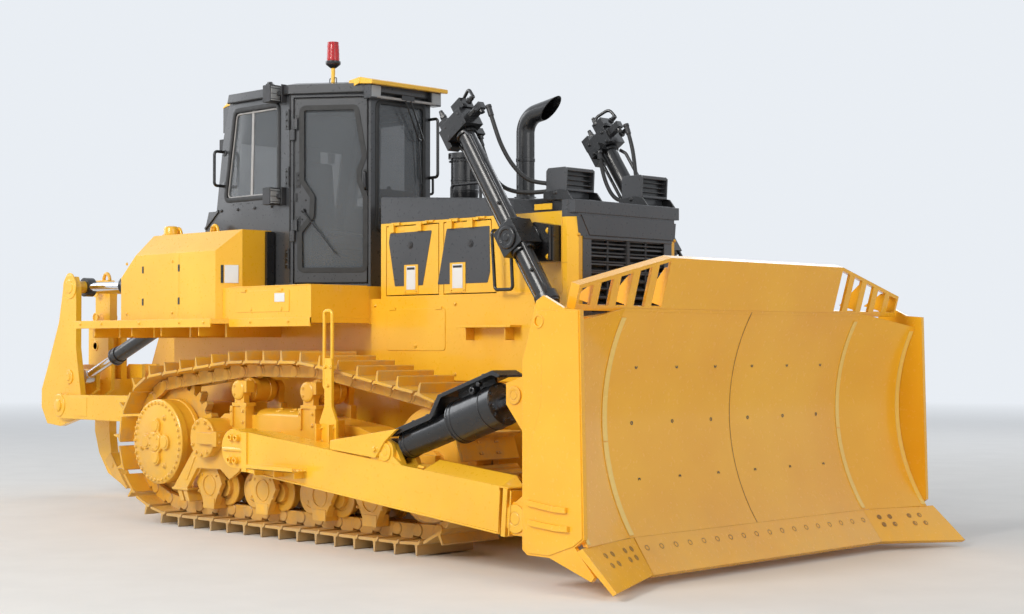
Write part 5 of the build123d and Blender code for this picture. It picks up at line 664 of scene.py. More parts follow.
SHOE_PROFILE = (                    # along the shoe, height over the pin line
    (-0.112, 0.070), (-0.100, 0.063), (0.085, 0.063), (0.106, 0.050), (0.112, 0.056), (0.096, 0.083),
    (0.079, 0.087), (0.075, 0.158), (0.066, 0.165), (0.059, 0.158), (0.053, 0.090), (0.040, 0.085),
    (-0.098, 0.085), (-0.110, 0.084),
)
LINK_PROFILE = (
    (-0.114, 0.040), (-0.128, 0.012), (-0.126, -0.020), (-0.108, -0.040), (-0.080, -0.047), (0.070, -0.047),
    (0.098, -0.040), (0.108, -0.014), (0.098, 0.018), (0.070, 0.030), (0.060, 0.062), (-0.066, 0.062),
    (-0.080, 0.046),
)
RAIL_Y = (0.058, 0.100)
PIN_BOSS_R, BUSHING_R = 0.047, 0.036
SHOE_BOLTS = ((-0.062, 0.074), (-0.062, 0.096), (0.022, 0.074), (0.022, 0.096))


def link_mesh():
    """One link of the chain with its shoe: x along it, y across the track, z outwards."""
    link = Piece("link")
    link.prism(SHOE_PROFILE, -SHOE_HALF_WIDTH, SHOE_HALF_WIDTH)
    for hand in (-1, 1):
        low, high = sorted(hand * y for y in RAIL_Y)
        link.prism(LINK_PROFILE, low, high)
        for x, reach in ((-0.104, 0.106), (0.098, 0.100)):
            link.lathe((x, 0, -0.002), (0, hand, 0), (
                (0.050, PIN_BOSS_R), (reach, PIN_BOSS_R), (reach + 0.004, PIN_BOSS_R - 0.006)), 14)
        for x, y in SHOE_BOLTS:
            link.bolt((x, hand * y, 0.085), UP, 0.011, washer=False)
    link.rod((-0.104, -0.060, -0.002), (-0.104, 0.060, -0.002), BUSHING_R, 12)
    return link.data()


def build_tracks():
    pins = chain_pins()
    link = link_mesh()
    for hand, name in ((-1, "right"), (1, "left")):
        track = Piece(f"track_chain_{name}")
        for i, start in enumerate(pins):
            end = pins[(i + 1) % len(pins)]
            way = Vector((end[0] - start[0], 0, end[1] - start[1])).normalized()
            out = Vector((way.z, 0, -way.x))
            middle = Vector(((start[0] + end[0]) / 2, hand * TRACK_Y, (start[1] + end[1]) / 2))
            turn = Matrix((way, LEFT, out)).transposed().to_4x4()
            track.stamp(link, Matrix.Translation(middle) @ turn)
        shown = track.place("chassis", "track_paint")
        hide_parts(f"track_{name}")
    bpy.data.meshes.remove(link)


# ---------------------------------------------------------------- drives and track frames
PIVOT = (-0.538, 0.765)
PIVOT_FACE_Y = 1.425
BOGIES_X = (-0.633, 0.087, 0.807, 1.400)
BOGIE_EYE_Z, BOGIE_FACE_Y, BOGIE_SINK = 0.367, 1.300, 0.022
CARRIER_CAP_Z, CARRIER_FACE_Y = 1.159, 1.275
FIRST_ROLLER_X, ROLLER_STEP, ROLLER_Z = -0.880, 0.365, 0.351


def clover(centre, lobe, ring, waist, points=72):
    """The outline of four round lobes on a ring, joined by a waist."""
    outline = []
    for i in range(points):
        angle = 360 * i / points
        off = math.radians((angle + 45) % 90 - 45)
        inside = lobe ** 2 - (ring * math.sin(off)) ** 2
        reach = ring * math.cos(off) + math.sqrt(inside) if inside > 0 else 0
        outline.append(about(centre, max(reach, waist), angle))
    return outline


DRIVE_CASE = (                      # distance out from the hull and radius along the turned case
    (0, 0.330), (0.560, 0.330), (0.562, 0.362), (0.600, 0.362), (0.604, 0.352), (0.700, 0.352),
    (0.704, 0.362), (0.762, 0.362), (0.770, 0.354), (0.775, 0.342), (0.775, ON_AXIS),
)
DRIVE_ROOT_Y, LOBE_RING_R = 0.560, 0.136


def build_final_drives():
    drives = Piece("final_drive_covers")
    drives.boss(SPROCKET, -DRIVE_ROOT_Y, DRIVE_CASE, 72)
    drives.prism(clover(SPROCKET, 0.066, LOBE_RING_R, 0.104), -1.360, -1.330)
    for angle in (0, 90, 180, 270):
        lobe = about(SPROCKET, LOBE_RING_R, angle)
        drives.boss(lobe, -1.358, ((0, 0.050), (0.006, 0.050), (0.010, 0.044)), 28)
    drives.boss(SPROCKET, -1.355, ((0, 0.084), (0.012, 0.084), (0.017, 0.078)), 32)
    drives.side_bolts([about(SPROCKET, 0.062, 60 * i + 28) for i in range(6)], -1.371, 0.009)
    for angle in (62, 195, 300):
        plug = about(SPROCKET, 0.232, angle)
        drives.boss(plug, -1.334, ((0, 0.028), (0.008, 0.026)), 20)
        drives.bolt((plug[0], -1.342, plug[1]), RIGHT, 0.014)
    drives.side_bolts([about(SPROCKET, 0.330, 360 * i / 38) for i in range(38)], -1.335, 0.0125)
    for i in range(30):
        bolt = about(SPROCKET, 0.342, 360 * i / 30 + 5)
        drives.bolt((bolt[0], -1.120, bolt[1]), LEFT, 0.012)
    made = drives.mirror().place("chassis", "frame_paint", bevel=0.002)
    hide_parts("final_drives")


def build_pivot_caps():
    caps = Piece("pivot_caps")
    x, z = PIVOT
    caps.boss((x, z), -PIVOT_FACE_Y, ((-0.004, 0.166), (0.012, 0.166), (0.018, 0.160)), 48)
    bolts = [about(PIVOT, 0.136, angle) for angle in (70, 115, 40, 142, 205, 238, 270, 303)]
    caps.side_bolts(bolts, -PIVOT_FACE_Y - 0.018, 0.015)
    caps.block((x - 0.020, x + 0.215), (-1.480, -1.430), (z - 0.046, z + 0.046))
    caps.block((x + 0.205, x + 0.262), (-1.488, -1.400), (z - 0.060, z + 0.060))
    for side in (-1, 1):
        caps.bolt((x + 0.262, -1.450, z + side * 0.028), AHEAD, 0.013)
    caps.mirror().place("chassis", "frame_paint", bevel=0.004)


BOGIE_CAP = ((0, 0.076), (0.004, 0.074), (0.006, 0.044), (0.014, 0.040), (0.014, 0.012), (0.010, 0.009))
BOGIE_RING = ((-0.002, 0.090), (0.006, 0.088), (0.006, 0.079), (-0.015, 0.078))
BOGIE_PLATE = ((-0.13, 0.50), (-0.17, 0.385), (-0.10, 0.26), (0.10, 0.26), (0.17, 0.385), (0.13, 0.50))


def build_bogies():
    caps = Piece("bogie_caps")
    for x in BOGIES_X:
        eye = (x, -BOGIE_FACE_Y + BOGIE_SINK, BOGIE_EYE_Z)
        caps.lathe(eye, RIGHT, BOGIE_CAP, 32)
        caps.boss((x, BOGIE_EYE_Z), -BOGIE_FACE_Y, BOGIE_RING, 36)
        caps.block((x - 0.078, x + 0.078), (-1.306, -1.180), (0.176, 0.262))
        for dx, dz in ((-0.140, -0.055), (0.140, -0.055), (-0.100, 0.085), (0.100, 0.085)):
            caps.bolt((x + dx, -BOGIE_FACE_Y, BOGIE_EYE_Z + dz), RIGHT, 0.010)
        outline = [(x + dx, z) for dx, z in BOGIE_PLATE]
        caps.prism(outline, -0.945, -0.890)
        for dx, dz in ((0.155, 0.02), (0.125, -0.05)):
            z = BOGIE_EYE_Z + dz
            caps.bolt((x + dx, -0.945, z), RIGHT, 0.013)
            caps.block((x + dx, x + dx + 0.030), (-0.95, -0.89), (z - 0.014, z + 0.014))
    caps.mirror().place("chassis", "frame_paint", bevel=0.005)


ROLLER_FLANGE = ((0, 0.134), (0.001, 0.150), (0.014, 0.150), (0.020, 0.142), (0.020, 0.100), (0.014, 0.095))
CARRIER_RIM = ((0, 0.095), (0.004, 0.102), (0.052, 0.102), (0.058, 0.090), (0.076, 0.075))


def build_roller_rims():
    """Flanges of the bottom rollers and grooves of the carrier rollers."""
    rims = Piece("roller_rims")
    for i in range(7):
        x = FIRST_ROLLER_X + i * ROLLER_STEP
        for hand in (-1, 1):
            rims.lathe((x, -TRACK_Y + hand * 0.108, ROLLER_Z), (0, hand, 0), ROLLER_FLANGE, 36)
    for x in CARRIERS_X:
        for hand in (-1, 1):
            rims.lathe((x, -TRACK_Y + hand * 0.046, CARRIER_CAP_Z), (0, hand, 0), CARRIER_RIM, 32)
    rims.mirror().place("chassis", "frame_paint")


CARRIER_CAP = ((-0.070, 0.080), (0.010, 0.080), (0.018, 0.072), (0.022, 0.055))


def build_carrier_stands():
    stands = Piece("carrier_stands")
    for x in CARRIERS_X:
        stands.boss((x, CARRIER_CAP_Z), -CARRIER_FACE_Y, CARRIER_CAP, 32)
        for dz in (0.030, -0.034):
            stands.bolt((x - 0.030, -CARRIER_FACE_Y - 0.020, CARRIER_CAP_Z + dz), RIGHT, 0.010)
        stands.block((x - 0.006, x + 0.112), (-1.283, -1.200), (1.140, 1.236))
        for dy in (-1.262, -1.222):
            stands.bolt((x + 0.098, dy, 1.236), UP, 0.010)
        stands.block((x - 0.075, x + 0.118), (-1.288, -1.190), (1.028, 1.056))
        stands.block((x - 0.098, x - 0.062), (-1.292, -1.205), (0.866, 1.030))
        stands.block((x + 0.040, x + 0.108), (-1.288, -1.205), (0.756, 1.030))
        for dx, z in ((-0.080, 0.99), (0.074, 0.99), (0.074, 0.90)):
            stands.bolt((x + dx, -1.290, z), RIGHT, 0.011)
    stands.mirror().place("chassis", "frame_paint", bevel=0.004)


def build_frame_tops():
    """The rounded back of each track frame with its two ports, and the chain guide's bars."""
    tops = Piece("track_frame_tops")
    ring = []
    for i in range(13):
        angle = math.radians(180 * i / 12)
        ring.append((-TRACK_Y + 0.150 * math.cos(angle), 0.952 + 0.062 * math.sin(angle)))
    tops.frontal(ring, -0.100, 0.520)
    for x in (0.12, 0.30):
        tops.lathe((x, -1.150, 1.000), (0, -0.35, 1), (
            (0, 0.036), (0.010, 0.034), (0.012, 0.024), (0.004, 0.022)), 24)
    outer = ((-0.90, 0.40), (-0.78, 0.60), (-0.74, 0.60), (-0.86, 0.40))
    tops.prism(outer, -1.366, -1.356)
    tops.block((-1.075, -0.850), (-1.366, -1.180), (0.312, 0.334))
    for x in (-1.02, -0.94):
        tops.prism(((x, 0.312), (x + 0.060, 0.312), (x + 0.100, 0.222), (x + 0.050, 0.222)), -1.350, -1.190)
    tops.mirror().place("chassis", "frame_paint", bevel=0.004)


# ---------------------------------------------------------------- push arms and tilt cylinders
SOCKET_FACE_Y, ARM_SIDE_Y = 1.660, 1.712
SOCKET_BOLTS = ((0.182, 0.806), (0.255, 0.805), (0.170, 0.631), (0.243, 0.627))
ARM_LOW = ((0.449, 0.551), (3.180, 0.286))
TILT_REAR, TILT_FRONT = (2.042, 0.790), (3.289, 1.196)
TILT_Y = 1.590
TILT_LUG = (2.042, 0.776)           # the boss that holds the tilt cylinder on the arm
ARM_PIN = (3.315, 0.396)            # where the arm meets the blade


def along_line(line, x):
    (x0, z0), (x1, z1) = line
    return z0 + (z1 - z0) * (x - x0) / (x1 - x0)


def ring_disc(piece, centre, face_y, radius, hole, height):
    """A pin's end disc with a raised ring, on a face that looks out to the side."""
    piece.boss(centre, -face_y, (
        (-0.002, radius), (height - 0.003, radius), (height, radius - 0.003),
        (height, hole + 0.004), (height - 0.004, hole), (height - 0.004, hole - 0.004),
        (height, hole - 0.008), (height, ON_AXIS)), 40)


def build_arm_fittings():
    """Plates, pins and edge strips on the outside of the push arms."""
    arms = Piece("arm_fittings")
    for x, z in SOCKET_BOLTS:
        arms.boss((x, z), -SOCKET_FACE_Y, ((-0.004, 0.034), (0.004, 0.034)), 24)
        arms.boss((x, z), -SOCKET_FACE_Y, (
            (0, 0.027), (0.034, 0.027), (0.037, 0.024), (0.037, 0.014), (0.012, 0.013), (0.012, ON_AXIS)), 24)
    arms.lathe((0.060, -SOCKET_FACE_Y, 0.713), AHEAD, (
        (0, ON_AXIS), (0, 0.014), (0.014, 0.019), (0.326, 0.019)), 28)
    low = [(x, along_line(ARM_LOW, x)) for x in (0.430, 3.160)]
    arms.prism([*low, *[(x, z + 0.014) for x, z in reversed(low)]], -1.724, -1.700)
    arms.prism(((3.160, 0.288), (3.172, 0.288), (3.192, 0.574), (3.180, 0.575)), -1.722, -1.700)
    arms.prism(((3.196, 0.276), (3.236, 0.272), (3.260, 0.585), (3.220, 0.592)), -1.722, -1.480)
    arms.prism(((3.256, 0.282), (3.268, 0.282), (3.290, 0.576), (3.278, 0.578)), -1.716, -1.500)
    gusset = ((1.463, 0.834), (2.193, 0.942), (2.060, 0.850), (2.020, 0.800), (1.963, 0.730), (1.463, 0.770))
    arms.prism(gusset, -1.736, -ARM_SIDE_Y)
    arms.bolt((1.960, -1.736, 0.790), RIGHT, 0.018)
    ear = [about(TILT_LUG, 0.086, angle) for angle in range(-20, 150, 10)]
    arms.prism(((2.230, 0.680), *ear, (1.890, 0.735), (1.880, 0.705)), -ARM_SIDE_Y, -1.680)
    ring_disc(arms, TILT_LUG, ARM_SIDE_Y, 0.066, 0.034, 0.012)
    ring_disc(arms, ARM_PIN, 1.698, 0.094, 0.045, 0.014)
    for y in (-1.700, -1.500):
        arms.prism(((2.360, 0.682), (2.420, 0.676), (2.440, 0.690), (2.380, 0.700)), y, y + 0.020)
    arms.mirror().place("push_arms", "yellow_paint", bevel=0.003)


def build_arm_wedges():
    """The folded roof on top of each arm's front half."""
    wedges = Piece("arm_wedges")
    apex = ((2.496, -1.610, 0.738), (3.235, -1.610, 0.668))
    outer = ((2.440, -ARM_SIDE_Y, 0.668), (3.195, -ARM_SIDE_Y, 0.600))
    inner = ((2.440, -1.500, 0.668), (3.250, -1.500, 0.600))
    wedges.solid((outer[0], apex[0], inner[0]), (0.001, 0, 0))
    for first, second in ((outer, apex), (apex, inner)):
        ring = (first[0], first[1], second[1], second[0])
        wedges.solid(ring, (0, 0, -0.012))
    wedges.solid((outer[1], apex[1], (3.300, -1.610, 0.600), (3.260, -ARM_SIDE_Y, 0.596)), (0, 0, -0.010))
    wedges.mirror().place("push_arms", "yellow_paint", bevel=0.002)


def tread_grating(piece, xs, ys, zs, count):
    """A step: a folded tray with rows of raised teeth."""
    piece.block(xs, ys, (zs[0], zs[0] + 0.008))
    for edge in ys:
        inner = edge + (0.006 if edge < sum(ys) / 2 else -0.006)
        piece.block(xs, sorted((edge, inner)), zs)
    step = (xs[1] - xs[0]) / count
    for i in range(count):
        x = xs[0] + (i + 0.5) * step
        for share in (0.25, 0.5, 0.75):
            y = ys[0] + (ys[1] - ys[0]) * share
            piece.lathe((x, y, zs[0] + 0.006), UP, ((0, 0.016), (0.014, 0.011), (0.008, 0.008)), 10)


def build_arm_steps():
    steps = Piece("arm_steps")
    tread_grating(steps, (0.610, 1.170), (-1.850, -ARM_SIDE_Y), (0.590, 0.622), 13)
    for x in (0.640, 0.880, 1.120):
        steps.prism(rect(x, x + 0.010, 0.590, 0.540), -1.800, -ARM_SIDE_Y)
    steps.mirror().place("push_arms", "yellow_paint", bevel=0.002)


def tilt_point(reach, over=0.0):
    length = math.dist(TILT_REAR, TILT_FRONT)
    way = ((TILT_FRONT[0] - TILT_REAR[0]) / length, (TILT_FRONT[1] - TILT_REAR[1]) / length)
    return TILT_REAR[0] + way[0] * reach - way[1] * over, TILT_REAR[1] + way[1] * reach + way[0] * over


def tilt_lathe(piece, start, end, profile, segments=40):
    (x0, z0), (x1, z1) = tilt_point(start), tilt_point(end)
    piece.lathe((x0, -TILT_Y, z0), (x1 - x0, 0, z1 - z0), profile, segments)


TILT_COLLARS = (
    (0.125, 0.104, 0.018), (0.165, 0.104, 0.014), (0.672, 0.152, 0.020), (0.715, 0.152, 0.010),
    (1.000, 0.152, 0.012),
)
TILT_GLAND = (
    (0, 0.142), (0.006, 0.140), (0.007, 0.100), (0.003, 0.098), (0.003, 0.070), (0.007, 0.066),
    (0.007, 0.0485),
)
TILT_PORT = ((0, 0.026), (0.060, 0.026), (0.064, 0.020), (0.064, 0.012), (0.050, 0.010))
TILT_PIPE = ((0.26, 0.05), (0.30, 0.125), (0.50, 0.145), (0.62, 0.200), (0.90, 0.205))


def build_tilt_cylinders():
    """Collars, gland rings, bolts and the guard's clamp on the tilt cylinders."""
    barrels = Piece("tilt_cylinder_collars")
    for reach, radius, width in TILT_COLLARS:
        tilt_lathe(barrels, reach, reach + 1, collar(radius, width, 0.012))
    tilt_lathe(barrels, 1.106, 2, TILT_GLAND)
    for i in range(10):
        turn = 36 * i
        up = 0.126 * math.sin(math.radians(turn))
        out = 0.126 * math.cos(math.radians(turn))
        x, z = tilt_point(1.110, up)
        ahead = tilt_point(2.110, up)
        barrels.bolt((x, -TILT_Y - out, z), (ahead[0] - x, 0, ahead[1] - z), 0.011)
    for reach, over in ((0.290, 0.113), (0.440, 0.113), (1.050, 0.212)):
        x, z = tilt_point(reach, over)
        ahead = tilt_point(reach, over + 1)
        barrels.bolt((x, -TILT_Y - 0.070, z), (ahead[0] - x, 0, ahead[1] - z), 0.014)
    x, z = tilt_point(0.960, 0.140)
    barrels.boss((x, z), -TILT_Y - 0.060, TILT_PORT, 24)
    x, z = tilt_point(1.020, 0.165)
    barrels.boss((x, z), -TILT_Y - 0.080, ((0, 0.016), (0.030, 0.016), (0.032, 0.012)), 16)
    pipes = [tilt_point(reach, over) for reach, over in TILT_PIPE]
    barrels.tube(rounded([(x, -TILT_Y + 0.075, z) for x, z in pipes], 0.05), 0.013)
    barrels.mirror().place("tilt_barrels", "black_paint", bevel=0.002)
    eyes = Piece("tilt_rod_eyes")
    ring_disc(eyes, TILT_FRONT, TILT_Y + 0.044, 0.060, 0.036, 0.006)
    tilt_lathe(eyes, 1.234, 2, ((0, 0.050), (0.004, 0.060), (0.030, 0.060), (0.034, 0.050)), 28)
    eyes.mirror().place("tilt_rods", "black_paint")


# ---------------------------------------------------------------- handles beside the tracks
HANDLE_FACE_Y = 1.449
HANDLE_BOLTS = (
    (1.058, 1.36), (1.120, 1.36), (1.090, 1.22), (1.015, 0.80), (1.160, 0.80), (1.015, 0.90), (1.160, 0.90),
)


def build_handle_fittings():
    fittings = Piece("handle_fittings")
    fittings.side_bolts(HANDLE_BOLTS, -HANDLE_FACE_Y, 0.013)
    for x in (1.000, 1.150):
        fittings.prism(rect(x, x + 0.012, 0.760, 0.930), -1.500, -HANDLE_FACE_Y)
    fittings.mirror().place("chassis", "yellow_paint", bevel=0.002)


# ---------------------------------------------------------------- blade
MOLD_FACE = ((3.952, 1.760), (3.746, 1.025), (3.987, 0.296))
KINK_Y, END_PLATE_OUT_Y = 1.345, 1.957
WING_RISE = math.tan(math.radians(16))


def circle_through(a, b, c):
    """The centre and radius of the circle through three points."""
    d = 2 * (a[0] * (b[1] - c[1]) + b[0] * (c[1] - a[1]) + c[0] * (a[1] - b[1]))
    squares = [p[0] ** 2 + p[1] ** 2 for p in (a, b, c)]
    x = (squares[0] * (b[1] - c[1]) + squares[1] * (c[1] - a[1]) + squares[2] * (a[1] - b[1])) / d
    z = (squares[0] * (c[0] - b[0]) + squares[1] * (a[0] - c[0]) + squares[2] * (b[0] - a[0])) / d
    return (x, z), math.dist((x, z), a)


MOLD_CENTRE, MOLD_R = circle_through(*MOLD_FACE)


def mold_point(y, z, out=0.0):
    """A point on the moldboard's front face, lifted off it towards the front."""
    reach = math.sqrt((MOLD_R - out) ** 2 - (z - MOLD_CENTRE[1]) ** 2)
    return MOLD_CENTRE[0] - reach + max(abs(y) - KINK_Y, 0) * WING_RISE, y, z


def mold_way(y, z):
    """The direction in which the moldboard faces at a height."""
    face, lifted = Vector(mold_point(y, z)), Vector(mold_point(y, z, 0.01))
    return lifted - face


def mold_strip(piece, y_low, y_high, z_low, z_high, lift, steps=16):
    """A curved plate that lies on the moldboard."""
    section = rect(y_low, y_high, lift, -0.004)
    heights = [z_low + (z_high - z_low) * i / steps for i in range(steps + 1)]
    piece.skin([piece.points([mold_point(y, z, out) for y, out in section]) for z in heights])


FACE_BOLT = ((-0.002, 0.013), (0.0015, 0.013), (0.0015, 0.006), (-0.001, 0.004))


def build_blade_face():
    """Raised wear strips painted a paler yellow as a highlight along the kink and near the ends, seams and
    bolt heads on the front of the moldboard.
    """
    face = Piece("blade_highlight_strips")
    # the strips' paler paint is a painted highlight along the kink and near the ends
    for z_low, z_high in ((0.310, 0.896), (0.902, 1.700)):
        mold_strip(face, -1.345, -1.300, z_low, z_high, 0.006)
    mold_strip(face, -1.920, -1.885, 0.310, 1.630, 0.005)
    face.mirror()
    face.place("blade", "highlight_strip_paint")
    seam = Piece("blade_seams")
    mold_strip(seam, -0.0035, 0.0035, 0.300, 1.750, 0.0015)
    seam.place("blade", "bolt_paint", slot="yellow_paint")
    bolts = Piece("blade_bolts")
    for z in (0.640, 1.010, 1.380):
        for y in (-1.05, -0.63, -0.21):
            bolts.lathe(mold_point(y, z), mold_way(y, z), FACE_BOLT, 14)
    bolts.mirror().place("blade", "dark_plastic", slot="black_paint")


EDGE_TOP, EDGE_LOW = (3.987, 0.296), (4.150, 0.073)
EDGE_HALF, BIT_TIP = 1.305, (4.442, 1.993, 0.053)


def build_edge_bolts():
    """Plough bolts of the cutting edge and the end bits, flush in countersinks."""
    bolts = Piece("edge_bolts")
    way = Vector((EDGE_TOP[1] - EDGE_LOW[1], 0, EDGE_LOW[0] - EDGE_TOP[0])).normalized()
    share = 0.30
    x = EDGE_TOP[0] + (EDGE_LOW[0] - EDGE_TOP[0]) * share
    z = EDGE_TOP[1] + (EDGE_LOW[1] - EDGE_TOP[1]) * share
    profile = ((-0.004, 0.020), (0.0015, 0.020), (0.0015, 0.015), (-0.001, 0.013))
    for i in range(9):
        bolts.lathe((x, -0.075 - 0.145 * i, z), way, profile, 16)
    inner_top = Vector((EDGE_TOP[0] - 0.005, -EDGE_HALF, EDGE_TOP[1]))
    inner_low = Vector((EDGE_LOW[0], -EDGE_HALF, EDGE_LOW[1]))
    outer_top = Vector((4.165, -BIT_TIP[1], EDGE_TOP[1]))
    outer_low = Vector((BIT_TIP[0], -BIT_TIP[1], BIT_TIP[2]))
    for along_share in (0.16, 0.30, 0.56, 0.70):
        top, low = inner_top.lerp(outer_top, along_share), inner_low.lerp(outer_low, along_share)
        for down in (0.25, 0.48):
            facing = (low - top).cross(outer_top - inner_top).normalized()
            facing *= 1 if facing.x > 0 else -1
            bolts.lathe(top.lerp(low, down) + facing * 0.001, facing, profile, 16)
    bolts.mirror().place("blade", "bolt_paint", slot="blade_steel")


GUARD_FOOT = (3.947, 1.760)
GUARD_LEAN = math.radians(16)
GUARD_RIB_Y = (0.975, 1.320, 1.650)


def guard_point(y, height, out=0.0):
    """A point in the spill guard's plane, at a height up its slope."""
    return (
        GUARD_FOOT[0] + height * math.sin(GUARD_LEAN) + out * math.cos(GUARD_LEAN), y,
        GUARD_FOOT[1] + height * math.cos(GUARD_LEAN) - out * math.sin(GUARD_LEAN),
    )


def build_guard_ribs():
    """Gussets behind the spill guard."""
    ribs = Piece("guard_ribs")
    outer = [(y, 0.015, 0.270 - 0.180 * (y - GUARD_RIB_Y[0])) for y in GUARD_RIB_Y]
    for y, foot, high in outer + [(y, 0.010, 0.280) for y in (0.0, 0.45, 0.90)]:
        ring = [guard_point(-y, *p) for p in ((foot, -0.018), (high, -0.018), (high, -0.050), (foot, -0.175))]
        ribs.solid(ring, (0, 0.014, 0))
    ribs.mirror().place("blade", "blade_paint", bevel=0.002)


MAIN_PLATE = (
    (3.640, 0.560), (3.662, 0.780), (3.796, 1.170), (3.800, 1.500), (3.755, 1.700), (3.764, 1.726),
    (3.785, 1.740), (4.106, 1.734), (4.138, 0.350), (4.060, 0.296), (3.860, 0.226), (3.672, 0.226),
    (3.640, 0.252),
)
LIFT_HOLE = (3.775, 1.672)
END_STEPS = (
    ((3.686, 0.524), (3.925, 0.497), (4.017, 0.497)),
    ((3.703, 0.401), (3.942, 0.382), (4.034, 0.383)),
)


def build_end_plates():
    """The doubler, lifting eye ring and steps on the blade's end plates."""
    ends = Piece("end_plate_doublers")
    ends.prism(MAIN_PLATE, -END_PLATE_OUT_Y - 0.008, -END_PLATE_OUT_Y + 0.004)
    ends.boss(LIFT_HOLE, -END_PLATE_OUT_Y - 0.004, (
        (0, 0.046), (0.010, 0.044), (0.010, 0.031), (-0.030, 0.029)), 32)
    for low in END_STEPS:
        ends.prism([*low, *[(x, z + 0.036) for x, z in reversed(low)]], -1.988, -END_PLATE_OUT_Y)
    ends.mirror().place("blade", "blade_paint", bevel=0.003)


# ---------------------------------------------------------------- lift cylinders
YOKE, LIFT_EYE, LIFT_Y = (2.444, 2.298), (3.338, 0.960), 0.800
LIFT_LENGTH = math.dist(YOKE, LIFT_EYE)
LIFT_WAY = ((LIFT_EYE[0] - YOKE[0]) / LIFT_LENGTH, (LIFT_EYE[1] - YOKE[1]) / LIFT_LENGTH)


def lift_point(reach, over=0.0, y=LIFT_Y):
    """A point beside the right lift cylinder, along it from the yoke and across it."""
    x = YOKE[0] + LIFT_WAY[0] * reach - LIFT_WAY[1] * over
    return x, -y, YOKE[1] + LIFT_WAY[1] * reach + LIFT_WAY[0] * over


LIFT_DOWN = Vector(lift_point(1)) - Vector(lift_point(0))
LIFT_ACROSS = Vector(lift_point(0, 1)) - Vector(lift_point(0))
LIFT_PIPES = (                      # radius; along, across and distance from the middle at each corner
    (0.013, ((-1.150, 0.215, 0.800), (-1.235, 0.205, 0.790), (-1.240, 0.080, 0.745), (-1.190, 0.055, 0.745))),
    (0.014, ((-0.935, 0.060, 0.870), (-0.880, 0.088, 0.880), (0.300, 0.088, 0.880), (0.470, 0.084, 0.868),
             (0.520, 0.060, 0.855))),
    (0.014, ((-0.960, -0.120, 0.790), (-0.880, -0.098, 0.790), (-0.130, -0.098, 0.790))),
    (0.012, ((0.125, -0.100, 0.790), (0.300, -0.100, 0.790), (0.470, -0.095, 0.790), (0.520, -0.060, 0.800))),
)
LIFT_FITTINGS = (
    (-1.185, 0.055, 0.745), (-1.185, -0.095, 0.835), (-1.150, 0.150, 0.800), (-1.020, 0.150, 0.850),
)


def lift_box(piece, reaches, overs, ys):
    ring = [lift_point(reach, over, ys[0]) for reach, over in (
        (reaches[0], overs[0]), (reaches[1], overs[0]), (reaches[1], overs[1]), (reaches[0], overs[1]))]
    piece.solid(ring, (0, ys[0] - ys[1], 0))


LIFT_GLAND = ((0, 0.080), (0.016, 0.078), (0.018, 0.062), (0.030, 0.058), (0.031, 0.0455))


def build_lift_heads():
    """Valve blocks, fittings and pipes on the lift cylinders."""
    heads = Piece("lift_cylinder_heads")
    for reach, radius, width in ((-0.965, 0.084, 0.026), (0.500, 0.088, 0.071)):
        heads.lathe(lift_point(reach), LIFT_DOWN, collar(radius, width, 0.014), 36)
    heads.lathe(lift_point(0.571), LIFT_DOWN, LIFT_GLAND, 32)
    lift_box(heads, (-1.175, -1.060), (-0.150, -0.070), (0.740, 0.860))
    lift_box(heads, (-1.100, -0.925), (-0.165, -0.110), (0.770, 0.880))
    lift_box(heads, (-1.205, -1.120), (0.020, 0.130), (0.730, 0.850))
    for reach, across_by, y in LIFT_FITTINGS:
        way = -LIFT_DOWN if reach < -1.16 else LIFT_ACROSS
        heads.lathe(lift_point(reach, across_by, y), way, (
            (0, 0.026), (0.024, 0.026), (0.025, 0.020), (0.050, 0.020)), 6)
        heads.lathe(lift_point(reach, across_by, y), way, (
            (0.045, 0.017), (0.068, 0.017), (0.072, 0.012)), 14)
    for hand in (-1, 1):
        for reach in (-1.080, -0.990):
            for across_by in (-0.080, 0.085):
                heads.bolt(lift_point(reach, across_by, 0.800 - hand * 0.086), (0, hand, 0), 0.012)
    for radius, corners in LIFT_PIPES:
        heads.tube(rounded([lift_point(*corner) for corner in corners], 0.05), radius)
    for reach in (-0.300, 0.300):
        heads.bolt(lift_point(reach + 0.012, 0.040, 0.868), RIGHT, 0.010)
    heads.mirror().place("lift_barrels", "black_paint", bevel=0.002)


TRUNNION_CAP = (
    (-0.010, 0.086), (0.012, 0.086), (0.018, 0.078), (0.018, 0.060), (0.010, 0.055), (0.010, 0.030),
    (0.016, 0.026),
)
TRUNNION_BAND = ((0, 0.066), (0, 0.088), (0.004, 0.092), (0.041, 0.092), (0.045, 0.088), (0.045, 0.066))


def build_lift_yokes():
    """Trunnion caps with yellow bolts round each lift cylinder."""
    rings = Piece("lift_trunnion_caps")
    rings.lathe(lift_point(0, 0, 0.905), RIGHT, TRUNNION_CAP, 36)
    for reach in (-0.130, 0.085):
        rings.band(lift_point(reach), LIFT_DOWN, TRUNNION_BAND, 36)
    rings.mirror().place("lift_barrels", "black_paint", bevel=0.004)
    bolts = Piece("lift_trunnion_bolts")
    bolts.side_bolts(((2.350, 2.160), (2.640, 2.160), (2.640, 2.350), (2.350, 2.370)), -0.680, 0.016)
    bolts.mirror().place("chassis", "yellow_paint")
    caps = Piece("lift_yoke_caps")
    caps.boss(YOKE, -0.676, ((0, 0.110), (0.010, 0.110), (0.015, 0.104)), 40)
    for x in (2.330, 2.660):
        caps.prism(rect(x, x + 0.016, 2.135, 2.380), -0.705, -0.560)
    caps.mirror().place("chassis", "black_paint", bevel=0.003)


